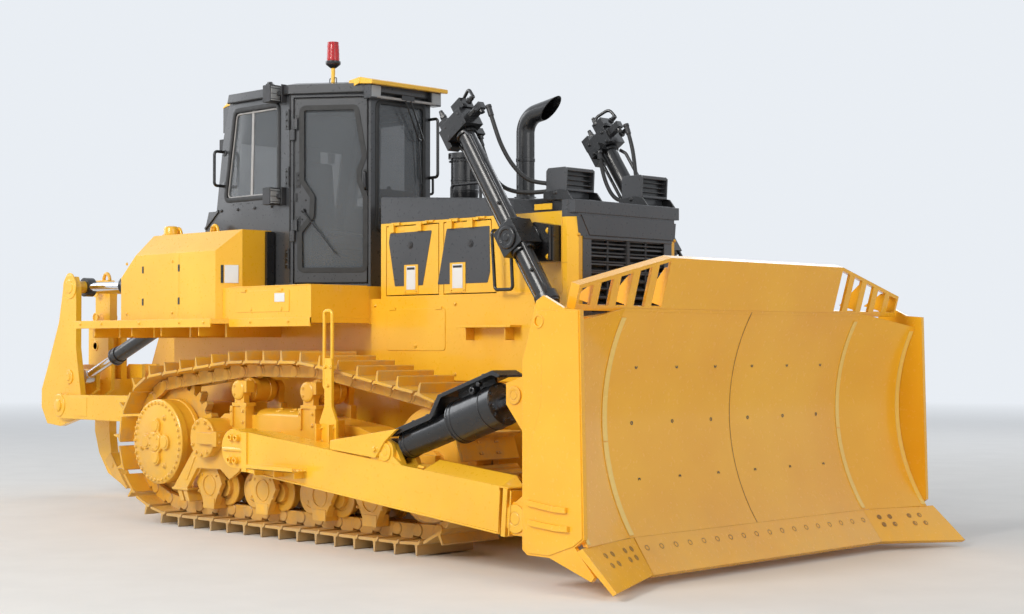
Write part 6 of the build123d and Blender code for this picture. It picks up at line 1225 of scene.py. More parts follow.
def build_lift_eyes():
    eyes = Piece("lift_rod_eyes")
    eyes.lathe(lift_point(LIFT_LENGTH - 0.120), LIFT_DOWN, ((0, 0.046), (0.006, 0.056), (0.050, 0.058)), 28)
    eyes.mirror().place("lift_rods", "black_paint")
    pins = Piece("blade_pins")
    for centre, face_y, radius in (
        (LIFT_EYE, 0.896, 0.062), (TILT_FRONT, 1.682, 0.060), (ARM_PIN, 1.698, 0.092),
    ):
        ring_disc(pins, centre, face_y, radius, radius * 0.55, 0.012)
    pins.mirror().place("blade", "frame_paint")


# ---------------------------------------------------------------- lift hoses
HOSE_R = 0.016
HOSES = (                           # x, distance from the middle, z; from the cylinder's elbow to the hood
    (
        (2.130, 0.775, 3.268), (2.185, 0.772, 3.130), (2.230, 0.750, 2.990), (2.290, 0.700, 2.850),
        (2.370, 0.640, 2.745), (2.450, 0.580, 2.712), (2.530, 0.530, 2.706),
    ),
    (
        (1.925, 0.672, 3.070), (1.970, 0.655, 2.930), (2.030, 0.645, 2.800), (2.110, 0.630, 2.705),
        (2.220, 0.600, 2.660), (2.340, 0.570, 2.648), (2.430, 0.550, 2.648), (2.520, 0.525, 2.652),
    ),
)


def hose_mesh(name, route):
    """A smooth round tube along a NURBS curve, as a mesh."""
    data = bpy.data.curves.new(name, "CURVE")
    data.dimensions = "3D"
    data.bevel_depth = HOSE_R
    data.bevel_resolution = 5
    data.use_fill_caps = True
    data.resolution_u = 10
    for hand in (-1, 1):
        spline = data.splines.new("NURBS")
        spline.points.add(len(route) - 1)
        for point, (x, y, z) in zip(spline.points, route):
            point.co = (x, hand * y, z, 1)
        spline.order_u = 3
        spline.use_endpoint_u = True
    curve = link_to_scene(bpy.data.objects.new(name + "_curve", data))
    mesh = bpy.data.meshes.new_from_object(curve.evaluated_get(bpy.context.evaluated_depsgraph_get()))
    bpy.data.objects.remove(curve)
    bpy.data.curves.remove(data)
    hose = link_to_scene(bpy.data.objects.new(name, mesh))
    hose.data.materials.clear()
    hose.data.materials.append(MATERIALS["hose_rubber"])
    return hose


HOSE_END = (
    (0, 0.019), (0.004, 0.021), (0.045, 0.021), (0.048, 0.026), (0.080, 0.026), (0.082, 0.017),
    (0.130, 0.017),
)
HOSE_CRIMP = ((0, 0.024), (0.020, 0.024), (0.022, 0.021), (0.085, 0.021), (0.089, 0.017))


def build_hoses():
    """The lift hoses, which bend between the cylinders and the hood, with their crimped ends."""
    names = ("lift_hose_upper", "lift_hose_lower")
    for name, route in zip(names, HOSES):
        hose = hose_mesh(name, route)
        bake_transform(hose)
        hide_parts("lift_hoses")
    ends = Piece("hose_fittings")
    for route in HOSES:
        x, y, z = route[-1]
        ends.lathe((x - 0.045, -y, z), AHEAD, HOSE_END, 18)
        ends.lathe((x + 0.060, -y, z), AHEAD, ((0, 0.029), (0.026, 0.029)), 6)
    ends.block((2.560, 2.620), (-0.570, -0.470), (2.630, 2.735))
    ends.mirror().place("chassis", "dark_plastic", bevel=0.002, slot="black_paint")
    tops = Piece("hose_elbow_crimps")
    for route in HOSES:
        start, after = Vector(route[0]), Vector(route[1])
        way = (after - start).normalized()
        place = start - way * 0.030
        tops.lathe((place.x, -place.y, place.z), (way.x, -way.y, way.z), HOSE_CRIMP, 18)
    tops.mirror().place("lift_barrels", "dark_plastic", slot="black_paint")


# ---------------------------------------------------------------- hood, nose and engine bay
HOOD_Y = 0.550
HOOD_TOP = ((0.658, 2.711), (2.700, 2.578))


def side_plate(piece, points, face_y, thickness, bend=0.0):
    """A plate drawn in X and Z on a face that looks out to the right."""
    if bend:
        closed = [Vector((x, 0, z)) for x, z in points]
        closed = closed[-1:] + closed + closed[:1]
        points = [(p.x, p.z) for p in rounded(closed, bend)[1:-1]]
    piece.prism(points, -face_y - thickness, -face_y + 0.003)


DOOR_SHADE_PANELS = {                     # painted shade panel (dark grey), knob, label plate: x and z
    "rear": (
        ((0.755, 2.345), (0.770, 2.418), (1.262, 2.422), (1.159, 1.994), (0.829, 1.992)),
        (1.013, 2.315), (0.960, 1.088),
    ),
    "front": (
        ((1.433, 2.423), (1.906, 2.426), (1.912, 2.080), (1.885, 1.997), (1.330, 1.995)),
        (1.700, 2.300), (1.490, 1.628),
    ),
}


def build_engine_doors():
    """Dark grey panels painted on as shade, latches, blank plates and hinge straps on the engine doors."""
    for place, (panel, knob, label) in DOOR_SHADE_PANELS.items():
        for hand, name in ((-1, "right"), (1, "left")):
            body = f"engine_door_{name}_{place}"
            # the dark grey panel is painted shade laid on the door, not a part of its own
            dark = Piece(f"door_panel_{name}_{place}")
            side_plate(dark, panel, HOOD_Y, 0.002, bend=0.012)
            latch = Piece(f"door_latch_{name}_{place}")
            latch.boss(knob, -0.552, ((0, 0.030), (0.004, 0.028), (0.005, 0.018), (0.010, 0.016)), 24)
            frame = Piece(f"door_plate_frame_{name}_{place}")
            side_plate(frame, rect(label[0] - 0.018, label[1] + 0.018, 1.930, 2.160), 0.551, 0.004)
            frame.side_bolts([(x, 1.950) for x in label], -0.555, 0.007)
            for z in (2.480, 2.440):
                strap = panel[0][0]
                frame.block((strap + 0.10, strap + 0.18), (-0.553, -0.549), (z - 0.012, z - 0.006))
            plate = Piece(f"door_plate_{name}_{place}")
            side_plate(plate, rect(label[0] + 0.012, label[1] - 0.012, 1.962, 2.148), 0.554, 0.003)
            head = Piece(f"door_plate_head_{name}_{place}")
            side_plate(head, rect(label[0] + 0.020, label[1] - 0.020, 2.120, 2.138), 0.556, 0.002)
            for piece, material in (
                (dark, "grey_paint"), (latch, "dark_plastic"), (frame, "yellow_paint"),
                (plate, "label"), (head, "black_paint"),
            ):
                if hand > 0:
                    piece.flip()
                piece.place(body, material)


def build_hood_sides():
    """Seams, hinge tabs, the lower door and the shelf bracket on the engine's sides."""
    trims = Piece("hood_side_trims")
    trims.block((0.700, 2.690), (-0.556, -0.548), (1.893, 1.912))
    for x in (0.800, 1.195, 1.475, 1.770):
        trims.prism(((x, 2.486), (x + 0.090, 2.486), (x + 0.096, 2.502), (x - 0.006, 2.502)), -0.562, -0.549)
    trims.block((2.040, 2.070), (-0.553, -0.548), (1.915, 2.480))
    trims.block((2.380, 2.560), (-0.556, -0.548), (2.515, 2.560))
    door = rect(0.770, 1.450, 1.480, 1.810)
    side_plate(trims, door, 0.580, 0.006, bend=0.03)
    for x in (0.840, 1.380):
        trims.block((x - 0.035, x + 0.035), (-0.592, -0.585), (1.800, 1.822))
    trims.boss((1.110, 1.520), -0.586, ((0, 0.022), (0.006, 0.020), (0.006, 0.010), (0.010, 0.009)), 20)
    trims.prism(rect(1.700, 2.270, 1.655, 1.672), -0.700, -0.578)
    for x in (1.760, 2.180):
        trims.prism(((x, 1.655), (x + 0.012, 1.655), (x + 0.012, 1.560), (x, 1.600)), -0.670, -0.578)
    for x in (0.62, 1.56, 2.42):
        for z in (1.30, 1.84):
            trims.bolt((x, -0.581, z), RIGHT, 0.012)
    trims.mirror().place("chassis", "yellow_paint", bevel=0.002)


def hood_height(x):
    """The height of the hood's sloping top."""
    return along_line(HOOD_TOP, x)


HOOD_FILLER = ((0, 0.062), (0.030, 0.060), (0.034, 0.052), (0.040, 0.050), (0.044, 0.030))


def build_hood_top():
    """Black sheets painted as shade where the hood has recesses, and the hatches, bolts, filler and edge
    strips of the hood's top cover.
    """
    # flat black sheets: painted shade standing in for recesses in the hood
    dark = Piece("hood_recess_shade")
    dark.prism(((2.160, 2.512), (2.690, 2.506), (2.690, 2.572), (2.160, 2.605)), -0.5525, -0.5485)
    dark.slab(rect(2.180, 2.430, -0.500, -0.120), 2.580, 2.606)
    dark.mirror().place("chassis", "black_paint")
    trims = Piece("hood_top_trims")
    for x0, x1, y0, y1 in ((0.75, 1.62, 0.20, 0.50), (1.90, 2.40, -0.36, 0.36), (0.72, 0.82, -0.50, 0.10)):
        ring = [
            (x0, y0, hood_height(x0)), (x1, y0, hood_height(x1)), (x1, y1, hood_height(x1)),
            (x0, y1, hood_height(x0))]
        trims.solid(ring, (0, 0, 0.005))
    for x in (0.90, 1.30, 1.70, 2.05):
        for y in (-0.525, 0.525):
            trims.bolt((x, y, hood_height(x)), UP, 0.009)
    trims.lathe((2.150, 0.250, hood_height(2.150)), UP, HOOD_FILLER, 32)
    for y in (-0.545, 0.539):
        line = [(x, hood_height(x)) for x in (0.660, 2.150)]
        trims.prism([*line, *[(x, z + 0.008) for x, z in reversed(line)]], y, y + 0.006)
    trims.place("chassis", "grey_paint", bevel=0.002)


def build_nose():
    """The slanted front panel, the cap, the grille's posts and bars, the radiator, the columns' seams."""
    nose = Piece("nose_panels")
    nose.frontal(((-0.560, 2.452), (0.560, 2.452), (0.545, 2.312), (-0.540, 2.312)), 2.806, 2.812)
    nose.frontal(((-0.430, 2.320), (0.500, 2.320), (0.520, 2.465), (-0.520, 2.465)), 2.808, 2.818)
    nose.frontal(rect(-0.590, 0.590, 2.478, 2.572), 2.700, 2.818)
    for y in (-0.500, 0.412):
        nose.frontal(rect(y, y + 0.088, 1.420, 2.300), 2.800, 2.818)
    nose.frontal(rect(-0.500, 0.500, 2.292, 2.312), 2.800, 2.822)
    nose.place("chassis", "grey_paint", bevel=0.004)
    bars = Piece("grille_bars")
    for i in range(13):
        z = 2.262 - 0.0655 * i
        bars.block((2.790, 2.812), (-0.412, 0.412), (z - 0.006, z + 0.006))
    bars.block((2.770, 2.816), (-0.016, 0.016), (1.430, 2.300))
    for y in (-0.215, 0.215):
        bars.block((2.770, 2.800), (y - 0.010, y + 0.010), (1.430, 2.300))
    bars.place("chassis", "dark_plastic", bevel=0.001, slot="black_paint")
    core = Piece("radiator_core")
    core.block((2.712, 2.716), (-0.455, 0.455), (1.435, 2.325))
    core.place("chassis", "engine_paint")
    columns = Piece("nose_column_trims")
    for z in (2.120, 1.700):
        columns.block((2.700, 2.752), (-0.6025, -0.590), (z - 0.004, z + 0.004))
    columns.block((2.694, 2.706), (-0.602, -0.560), (1.900, 2.450))
    for z in (1.560, 1.980, 2.320):
        columns.bolt((2.811, -0.540, z), AHEAD, 0.010)
    columns.mirror().place("chassis", "frame_paint")


EXHAUST_X, PRECLEANER_X = 1.749, 1.062
PRECLEANER_RINGS = (                # height of the foot; height and radius along each turned ring
    (2.700, ((0, 0.098), (0.012, 0.106), (0.060, 0.112), (0.070, 0.117), (0.082, 0.117), (0.086, 0.113))),
    (2.850, ((0, 0.113), (0.003, 0.117), (0.018, 0.117), (0.021, 0.113))),
    (3.002, ((0, 0.113), (0.004, 0.116), (0.010, 0.116), (0.012, 0.113))),
)
EXHAUST_FOOT = ((0, 0.108), (0.020, 0.108), (0.024, 0.100), (0.040, 0.090), (0.043, 0.074))


def build_exhaust_trims():
    trims = Piece("exhaust_trims")
    trims.lathe((EXHAUST_X, 0, 2.645), UP, EXHAUST_FOOT, 40)
    trims.lathe((EXHAUST_X, 0, 2.960), UP, ((0, 0.072), (0.003, 0.076), (0.028, 0.076), (0.031, 0.072)), 40)
    trims.bolt((EXHAUST_X, -0.076, 2.975), RIGHT, 0.010)
    for angle in (45, 135, 225, 315):
        trims.bolt((*about((EXHAUST_X, 0), 0.097, angle), 2.664), UP, 0.009)
    trims.place("chassis", "black_paint")
    cleaner = Piece("precleaner_trims")
    for z, profile in PRECLEANER_RINGS:
        cleaner.lathe((PRECLEANER_X, 0, z), UP, profile, 48)
    for angle in range(0, 360, 15):
        cleaner.lathe((*about((PRECLEANER_X, 0), 0.126, angle), 3.010), UP, ((0, 0.006), (0.010, 0.006)), 8)
    for x in (PRECLEANER_X - 0.118, PRECLEANER_X + 0.118):
        cleaner.block((x - 0.008, x + 0.008), (-0.018, 0.018), (2.880, 3.000))
    cleaner.place("chassis", "black_paint")


HOOD_LAMP_Y = (-0.420, 0.420)
HOOD_LAMP_SIDE = (
    (2.515, 2.625), (2.715, 2.640), (2.724, 2.800), (2.705, 2.816), (2.535, 2.816), (2.515, 2.795),
)
HOOD_LAMP_STAND = ((2.500, 2.585), (2.790, 2.572), (2.735, 2.640), (2.660, 2.655), (2.500, 2.640))


def build_hood_lamps():
    """The rounded housings, dark fronts and stands of the two working lamps on the hood."""
    housings = Piece("hood_lamp_housings")
    fronts = Piece("hood_lamp_fronts")
    stands = Piece("hood_lamp_stands")
    for y in HOOD_LAMP_Y:
        housings.prism(HOOD_LAMP_SIDE, y - 0.152, y - 0.138)
        housings.prism(HOOD_LAMP_SIDE, y + 0.138, y + 0.152)
        housings.block((2.660, 2.722), (y - 0.140, y + 0.140), (2.786, 2.812))
        housings.block((2.660, 2.722), (y - 0.140, y + 0.140), (2.640, 2.660))
        for k in range(3):
            z = 2.690 + 0.036 * k
            housings.block((2.664, 2.700), (y - 0.140, y + 0.140), (z - 0.005, z + 0.005))
        fronts.block((2.660, 2.668), (y - 0.138, y + 0.138), (2.660, 2.788))
        stands.prism(HOOD_LAMP_STAND, y - 0.166, y - 0.154)
        stands.prism(HOOD_LAMP_STAND, y + 0.154, y + 0.166)
        stands.block((2.520, 2.760), (y - 0.160, y + 0.160), (2.576, 2.584))
        for hand in (-1, 1):
            stands.bolt((2.620, y + hand * 0.166, 2.630), (0, hand, 0), 0.012)
    housings.place("chassis", "grey_paint", bevel=0.010)
    fronts.place("chassis", "black_paint")
    stands.place("chassis", "black_paint", bevel=0.002)


# ---------------------------------------------------------------- cab
DOOR_REAR, DOOR_FRONT = (-0.291, 0.735), (0.279, 0.335)
DOOR_WIDTH = math.dist(DOOR_REAR, DOOR_FRONT)
DOOR_WAY = ((DOOR_FRONT[0] - DOOR_REAR[0]) / DOOR_WIDTH, (DOOR_FRONT[1] - DOOR_REAR[1]) / DOOR_WIDTH)
DOOR_WINDOW = (
    (0.100, 3.510), (0.570, 3.510), (0.642, 3.095), (0.596, 2.975), (0.596, 2.895), (0.651, 2.755),
    (0.651, 2.150), (0.088, 2.150), (0.083, 2.470), (0.188, 2.600), (0.195, 2.765), (0.102, 2.900),
)
SIDE_WINDOW = ((-1.205, 2.785), (-1.065, 3.560), (-0.445, 3.560), (-0.445, 2.785))
CAB_Y, CAB_FRONT_X, ROOF_TOP = 0.735, 0.279, 3.705
BEACON = (-0.075, -0.450)


def door_point(run, z, out=0.0):
    """A point on the right door: along it from its hinge side, and out from its face."""
    x = DOOR_REAR[0] + DOOR_WAY[0] * run - DOOR_WAY[1] * out
    return x, -(DOOR_REAR[1] + DOOR_WAY[1] * run + DOOR_WAY[0] * out), z


DOOR_OUT = Vector(door_point(0, 0, 1)) - Vector(door_point(0, 0, 0))


def door_plate(piece, corners, out, thickness):
    ring = [door_point(run, z, out) for run, z in corners]
    piece.solid(ring, DOOR_OUT * thickness)


def window_line(points, bend):
    """A closed outline with round corners; the last point repeats the first."""
    flat = [Vector((a, 0, b)) for a, b in points]
    middle = (flat[0] + flat[-1]) / 2
    return [(p.x, p.z) for p in rounded([middle, *flat, middle], bend)]


def seal(piece, line, width, height):
    """A rubber strip with a trapezoid section that follows a closed line of points."""
    points = [Vector(p) for p in line]
    outward = (points[1] - points[0]).cross(points[len(points) // 3] - points[0]).normalized()
    half = ((width, -0.004), (width, height * 0.6), (width * 0.6, height))
    section = [(-a, b) for a, b in half] + list(half[::-1])
    rings = []
    count = len(points) - 1
    for i in range(count):
        way = (points[(i + 1) % count] - points[i - 1]).normalized()
        side = way.cross(outward)
        rings.append(piece.points([points[i] + side * a + outward * b for a, b in section]))
    piece.skin(rings, closed=True)


def hand_copies(build, bodies, material):
    """Builds a piece twice, on the right body and mirrored on the left body."""
    for hand, body in zip((-1, 1), bodies):
        piece = build()
        if hand > 0:
            piece.flip()
        piece.name += "_right" if hand < 0 else "_left"
        piece.place(body, material)


DOORS = ("cab_door_right", "cab_door_left")


def door_seal_piece():
    piece = Piece("cab_door_seal")
    line = window_line(DOOR_WINDOW, 0.042)
    seal(piece, [door_point(run, z, 0.001) for run, z in reversed(line)], 0.021, 0.011)
    frame = window_line(rect(0.040, 0.664, 3.588, 2.047), 0.02)
    seal(piece, [door_point(run, z, -0.004) for run, z in reversed(frame)], 0.004, 0.006)
    handle = window_line(rect(0.622, 0.690, 2.990, 2.800), 0.03)
    piece.solid([door_point(run * 0.55 + 0.290, z, -0.002) for run, z in handle[:-1]], DOOR_OUT * 0.006)
    return piece


def door_fittings_piece():
    piece = Piece("cab_door_fittings")
    grip = [door_point(*p) for p in (
        (0.648, 2.965, 0.006), (0.648, 2.960, 0.030), (0.652, 2.830, 0.030), (0.652, 2.822, 0.006))]
    piece.tube(rounded(grip, 0.02), 0.011)
    door_plate(piece, rect(0.036, 0.062, 2.795, 2.725), 0, 0.007)
    arm = [door_point(*p) for p in ((0.120, 2.648, 0.030), (0.255, 2.470, 0.036))]
    piece.tube(arm, 0.007)
    blade = [door_point(*p) for p in ((0.200, 2.545, 0.024), (0.400, 2.285, 0.018))]
    piece.tube(blade, 0.005)
    piece.lathe(door_point(0.120, 2.648, 0), DOOR_OUT, ((0, 0.020), (0.020, 0.018), (0.034, 0.012)), 20)
    for run, z in ((0.135, 2.735), (0.105, 2.575)):
        piece.bolt(door_point(run, z), DOOR_OUT, 0.006)
    for z in (3.385, 2.905, 2.535):
        for dz in (-0.045, 0.0, 0.045):
            piece.bolt(door_point(0.072, z + dz, 0.001), DOOR_OUT, 0.007)
        door_plate(piece, rect(0.052, 0.090, z + 0.066, z - 0.066), 0, 0.004)
    return piece


def build_cab_doors():
    hand_copies(door_seal_piece, DOORS, "hose_rubber")
    hand_copies(door_fittings_piece, DOORS, "black_paint")


def build_cab_windows():
    """Seals of the fixed windows and the bars of the sliding panes."""
    seals = Piece("cab_window_seals")
    line = window_line(SIDE_WINDOW, 0.055)
    for hand in (-1, 1):
        points = [(x, hand * (CAB_Y + 0.001), z) for x, z in line]
        seal(seals, points if hand > 0 else points[::-1], 0.020, 0.009)
    front = window_line(rect(-0.265, 0.265, 3.560, 2.480), 0.055)
    points = [(CAB_FRONT_X + 0.001, y, z) for y, z in front]
    seal(seals, points[::-1], 0.018, 0.009)
    seals.place("chassis", "hose_rubber")
    bars = Piece("sliding_pane_bars")
    bars.prism(((-0.857, 2.800), (-0.827, 2.800), (-0.805, 3.548), (-0.835, 3.548)), -0.722, -0.708)
    sill = SIDE_WINDOW[0][1]
    pane = [(x * 0.94 - 0.048, sill + (z - sill) * 0.93 + 0.024) for x, z in SIDE_WINDOW]
    lines = window_line(pane, 0.045)
    bars.mirror()
    for hand in (-1, 1):
        points = [(x, hand * (CAB_Y - 0.012), z) for x, z in lines]
        seal(bars, points if hand > 0 else points[::-1], 0.008, 0.005)
    bars.place("chassis", "steel", slot="grey_paint")


def build_cab_shell_trims():
    """Hinge plates, the roof's drip edge, the corners' strips and the side lamps on their brackets."""
    plates = Piece("cab_hinge_plates")
    for z in (3.415, 2.935, 2.247):
        plates.block((-0.352, -0.296), (-0.742, -0.733), (z - 0.078, z + 0.078))
        for dz in (-0.050, 0.0, 0.050):
            plates.bolt((-0.330, -0.742, z + dz), RIGHT, 0.0085)
        plates.rod((-0.290, -0.752, z - 0.085), (-0.290, -0.752, z + 0.085), 0.009, 12)
    plates.mirror().place("chassis", "black_paint", bevel=0.0015)
    edge = Piece("cab_roof_edge")
    plan = (
        (-1.130, -0.764), (-0.300, -0.764), (0.308, -0.350), (0.308, 0.350), (-0.300, 0.764), (-1.130, 0.764))
    for (x0, y0), (x1, y1) in zip(plan, plan[1:]):
        edge.tube(((x0, y0, 3.632), (x1, y1, 3.632)), 0.007, 8)
    for y in (-0.7375, 0.7375):
        edge.tube(((-0.291, y, 2.050), (-0.291, y, 3.626)), 0.006, 8)
    edge.place("chassis", "hose_rubber")
    lamps = Piece("cab_side_lamps")
    for z in (3.640, 2.775):
        lamps.block((-0.500, -0.400), (-0.865, -0.752), (z - 0.072, z + 0.072))
        lamps.block((-0.405, -0.345), (-0.800, -0.735), (z - 0.018, z + 0.018))
        lamps.block((-0.350, -0.340), (-0.790, -0.733), (z - 0.075, z + 0.075))
        for k in range(3):
            lamps.block((-0.508, -0.392), (-0.858, -0.760), (z - 0.050 + 0.045 * k, z - 0.044 + 0.045 * k))
    lamps.mirror().place("chassis", "dark_plastic", bevel=0.004)
    glass = Piece("cab_side_lamp_lenses")
    for z in (3.640, 2.775):
        glass.block((-0.401, -0.394), (-0.855, -0.762), (z - 0.060, z + 0.060))
    glass.mirror().place("chassis", "clear_lens")


def build_cab_front():
    """Wipers, lamps and the bright bar under the sun visor."""
    wipers = Piece("windscreen_wipers")
    for y0, y1 in ((-0.020, 0.160), (0.040, 0.215)):
        arm = [(0.350, y0, 3.600), (0.325, y1, 3.270)]
        wipers.tube(arm, 0.008, 10)
    wipers.tube(((0.303, 0.175, 3.360), (0.298, 0.215, 2.900)), 0.006, 8)
    wipers.block((0.290, 0.360), (-0.060, 0.080), (3.585, 3.625))
    wipers.tube(((0.325, 0.150, 3.280), (0.303, 0.205, 3.270)), 0.009, 8)
    wipers.place("chassis", "black_paint")
    bar = Piece("visor_bar")
    bar.rod((0.345, -0.330, 3.588), (0.345, 0.330, 3.588), 0.011, 14)
    bar.place("chassis", "steel", slot="chrome_rod")
    lamps = Piece("visor_lamps")
    for y in (-0.340, 0.340):
        lamps.block((0.255, 0.350), (y - 0.058, y + 0.058), (3.572, 3.690))
        lamps.block((0.300, 0.330), (y - 0.025, y + 0.025), (3.680, 3.712))
    lamps.place("chassis", "grey_paint", bevel=0.006)
    faces = Piece("visor_lamp_lenses")
    for y in (-0.340, 0.340):
        faces.block((0.349, 0.354), (y - 0.048, y + 0.048), (3.584, 3.678))
    faces.place("chassis", "clear_lens")


BEACON_BASE = ((0, 0.018), (0.004, 0.026), (0.030, 0.060), (0.040, 0.064), (0.058, 0.064), (0.064, 0.050))


def build_roof_trims():
    """Folds of the roof and visor, the aerial's foot, the air conditioner's cap and vents, the beacon."""
    roof = Piece("cab_roof_fold")
    plan = [
        (-1.060, -0.640), (-0.330, -0.640), (0.120, -0.330), (0.120, 0.330), (-0.330, 0.640), (-1.060, 0.640)]
    low = [
        (-1.098, -0.745), (-0.300, -0.745), (0.280, -0.345), (0.280, 0.345), (-0.300, 0.745), (-1.098, 0.745)]
    levels = ((low, ROOF_TOP - 0.002), (plan, ROOF_TOP + 0.030))
    roof.skin([roof.points([(x, y, z) for x, y in outline]) for outline, z in levels])
    roof.block((-0.800, -0.690), (-0.640, -0.560), (3.700, 3.765))
    roof.place("chassis", "grey_paint", bevel=0.004)
    stub = Piece("roof_aerial_base")
    stub.lathe((-0.745, -0.600, 3.760), UP, ((0, 0.038), (0.018, 0.038), (0.022, 0.026), (0.035, 0.024)), 6)
    stub.place("chassis", "black_paint")
    visor = Piece("visor_shell")
    ring = (
        (0.108, 3.735), (0.250, 3.752), (0.402, 3.716), (0.402, 3.684), (0.390, 3.682), (0.170, 3.706),
        (0.108, 3.706))
    visor.prism(ring, -0.430, 0.430)
    for hand in (-1, 1):
        y = hand * 0.425
        low_y = y + hand * 0.004
        ring = ((0.110, y, 3.735), (0.250, y, 3.752), (0.250, low_y, 3.70), (0.110, low_y, 3.66))
        visor.solid(ring, (0.0, hand * 0.010, 0))
    visor.place("chassis", "yellow_paint", bevel=0.006)
    cap = Piece("aircon_cap")
    cap.prism((
        (-1.483, 3.640), (-1.483, 3.650), (-1.300, 3.745), (-1.110, 3.745), (-1.115, 3.700), (-1.160, 3.660),
        (-1.400, 3.655)), -0.566, 0.566)
    cap.place("chassis", "yellow_paint", bevel=0.008)
    vents = Piece("aircon_vents")
    for i in range(7):
        vents.block((-1.490, -1.478), (-0.500, 0.500), (3.448 + 0.026 * i, 3.458 + 0.026 * i))
    for y in (-0.25, 0.25):
        vents.lathe((-1.484, y, 3.525), BACK, (
            (0, 0.080), (0.010, 0.080), (0.014, 0.070), (0.014, 0.020)), 32)
    vents.place("chassis", "dark_plastic")
    pole = Piece("beacon_pole")
    x, y = BEACON
    pole.lathe((x, y, ROOF_TOP), UP, ((0, 0.030), (0.012, 0.030), (0.014, 0.0175), (0.196, 0.0175)), 24)
    pole.place("chassis", "yellow_paint")
    base = Piece("beacon_base")
    base.lathe((x, y, ROOF_TOP + 0.150), UP, BEACON_BASE, 32)
    corners = ((-0.045, 0.02), (-0.045, 0.068), (0.045, 0.068), (0.045, 0.02))
    loop = [(x + dx, y, ROOF_TOP + dz) for dx, dz in corners]
    base.tube(rounded(loop, 0.012), 0.004, 8)
    base.place("chassis", "black_paint")
    red = Piece("beacon_lens")
    ribs = [(0.215 + 0.018 * i, 0.0530 - 0.0006 * i + (0.0016 if i % 2 else 0)) for i in range(8)]
    profile = [(0.200, 0.050), (0.206, 0.053)] + ribs
    profile += [(0.352, 0.047), (0.364, 0.038), (0.369, 0.020)]
    red.lathe((x, y, ROOF_TOP), UP, profile, 40)
    red.place("chassis", "red_lens")


def build_cab_base():
    """Bolted base, rear shelf, grab-rail feet, a black block painted as the shade between tank and cab, and
    the rear lamps.
    """
    base = Piece("cab_base_trims")
    base.block((-1.340, -0.300), (-0.741, -0.733), (2.000, 2.040))
    base.side_bolts([(x, 2.700) for x in (-1.26, -1.02, -0.78, -0.54)], -0.741, 0.010)
    base.prism((
        (-1.500, 2.560), (-1.330, 2.700), (-1.300, 2.712), (-1.300, 2.690), (-1.490, 2.545)), -0.748, -0.700)
    for z in (2.925, 3.205):
        base.boss((-1.215, z), -0.735, ((0, 0.028), (0.006, 0.028), (0.008, 0.020)), 20)
    for x in (-1.10, -0.99, -0.88):
        base.block((x - 0.020, x + 0.020), (-0.7375, -0.733), (2.742, 2.752))
    base.mirror().place("chassis", "grey_paint", bevel=0.002)
    # black block: painted shade in the space between the tank and the cab
    gap = Piece("cab_side_gap_shade")
    gap.block((-0.507, -0.480), (-0.830, -0.750), (2.004, 2.480))
    gap.mirror().place("chassis", "black_paint")
    lamps = Piece("rear_lamp")
    lamps.block((-1.430, -1.370), (-0.640, -0.600), (3.230, 3.350))
    lamps.mirror().place("chassis", "dark_plastic", bevel=0.006)


def cushion(name, corners, bottom, top, crown):
    """A crowned cushion: rounded sides that pull in between the corners, and a flat underside."""
    piece = Piece(name)
    (x0, y0), (x1, y1) = corners
    columns, rows = 12, 12
    grid = []
    for i in range(columns + 1):
        u = i / columns
        line = []
        for j in range(rows + 1):
            v = j / rows
            across_u, across_v = math.sin(math.pi * u), math.sin(math.pi * v)
            pinch = 0.012 * (across_v * (abs(2 * u - 1) ** 6) + across_u * (abs(2 * v - 1) ** 6))
            x = x0 + (x1 - x0) * u
            y = y0 + (y1 - y0) * v
            x += pinch * (1 if u < 0.5 else -1)
            y += pinch * (1 if v < 0.5 else -1)
            edge = min(u, 1 - u, v, 1 - v)
            z = top - 0.045 * math.exp(-14 * edge) + crown * across_u * across_v
            line.append(piece.mesh.verts.new((x, y, z)))
        grid.append(line)
    for i in range(columns):
        for j in range(rows):
            piece.mesh.faces.new((grid[i][j], grid[i + 1][j], grid[i + 1][j + 1], grid[i][j + 1]))
    border = [grid[i][0] for i in range(columns)] + [grid[columns][j] for j in range(rows)]
    border += [grid[i][rows] for i in range(columns, 0, -1)] + [grid[0][j] for j in range(rows, 0, -1)]
    low = [piece.mesh.verts.new((v.co.x, v.co.y, bottom)) for v in border]
    for k, vertex in enumerate(border):
        n = (k + 1) % len(border)
        piece.mesh.faces.new((vertex, border[n], low[n], low[k]))
    piece.mesh.faces.new(low)
    return piece


def soften(cushion_object):
    subdivision = cushion_object.modifiers.new("soft", "SUBSURF")
    subdivision.levels = subdivision.render_levels = 1


def build_seat():
    """Seat cushions on a plastic shell and pedestal."""
    seat = cushion("seat_cushion", ((-0.905, -0.262), (-0.365, 0.262)), 2.385, 2.505, 0.022)
    pad = seat.place("chassis", "seat_cover", bevel=0.010)
    soften(pad)
    back = cushion("seat_back", ((0.0, -0.245), (0.660, 0.245)), 0.0, 0.095, 0.024)
    lean = math.radians(90 + 8)
    turn = Matrix.Translation((-0.830, 0, 2.500)) @ Matrix.Rotation(-lean, 4, "Y")
    for vertex in back.mesh.verts:
        vertex.co = turn @ vertex.co
    rest = back.place("chassis", "seat_cover", bevel=0.010)
    soften(rest)
    shell = Piece("seat_shell")
    shell.block((-0.820, -0.420), (-0.180, 0.180), (2.035, 2.365))
    shell.block((-0.900, -0.370), (-0.255, 0.255), (2.350, 2.400))
    shell.prism(((-0.925, 2.400), (-0.850, 2.400), (-0.935, 3.160), (-0.975, 3.160)), -0.235, 0.235)
    shell.block((-1.010, -0.950), (-0.130, 0.130), (3.150, 3.300))
    for k in range(5):
        shell.block((-0.815, -0.425), (-0.190, 0.190), (2.070 + 0.055 * k, 2.095 + 0.055 * k))
    made = shell.place("chassis", "dark_plastic", bevel=0.012)
    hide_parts("seat")
    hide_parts("seat")
    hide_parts("seat")


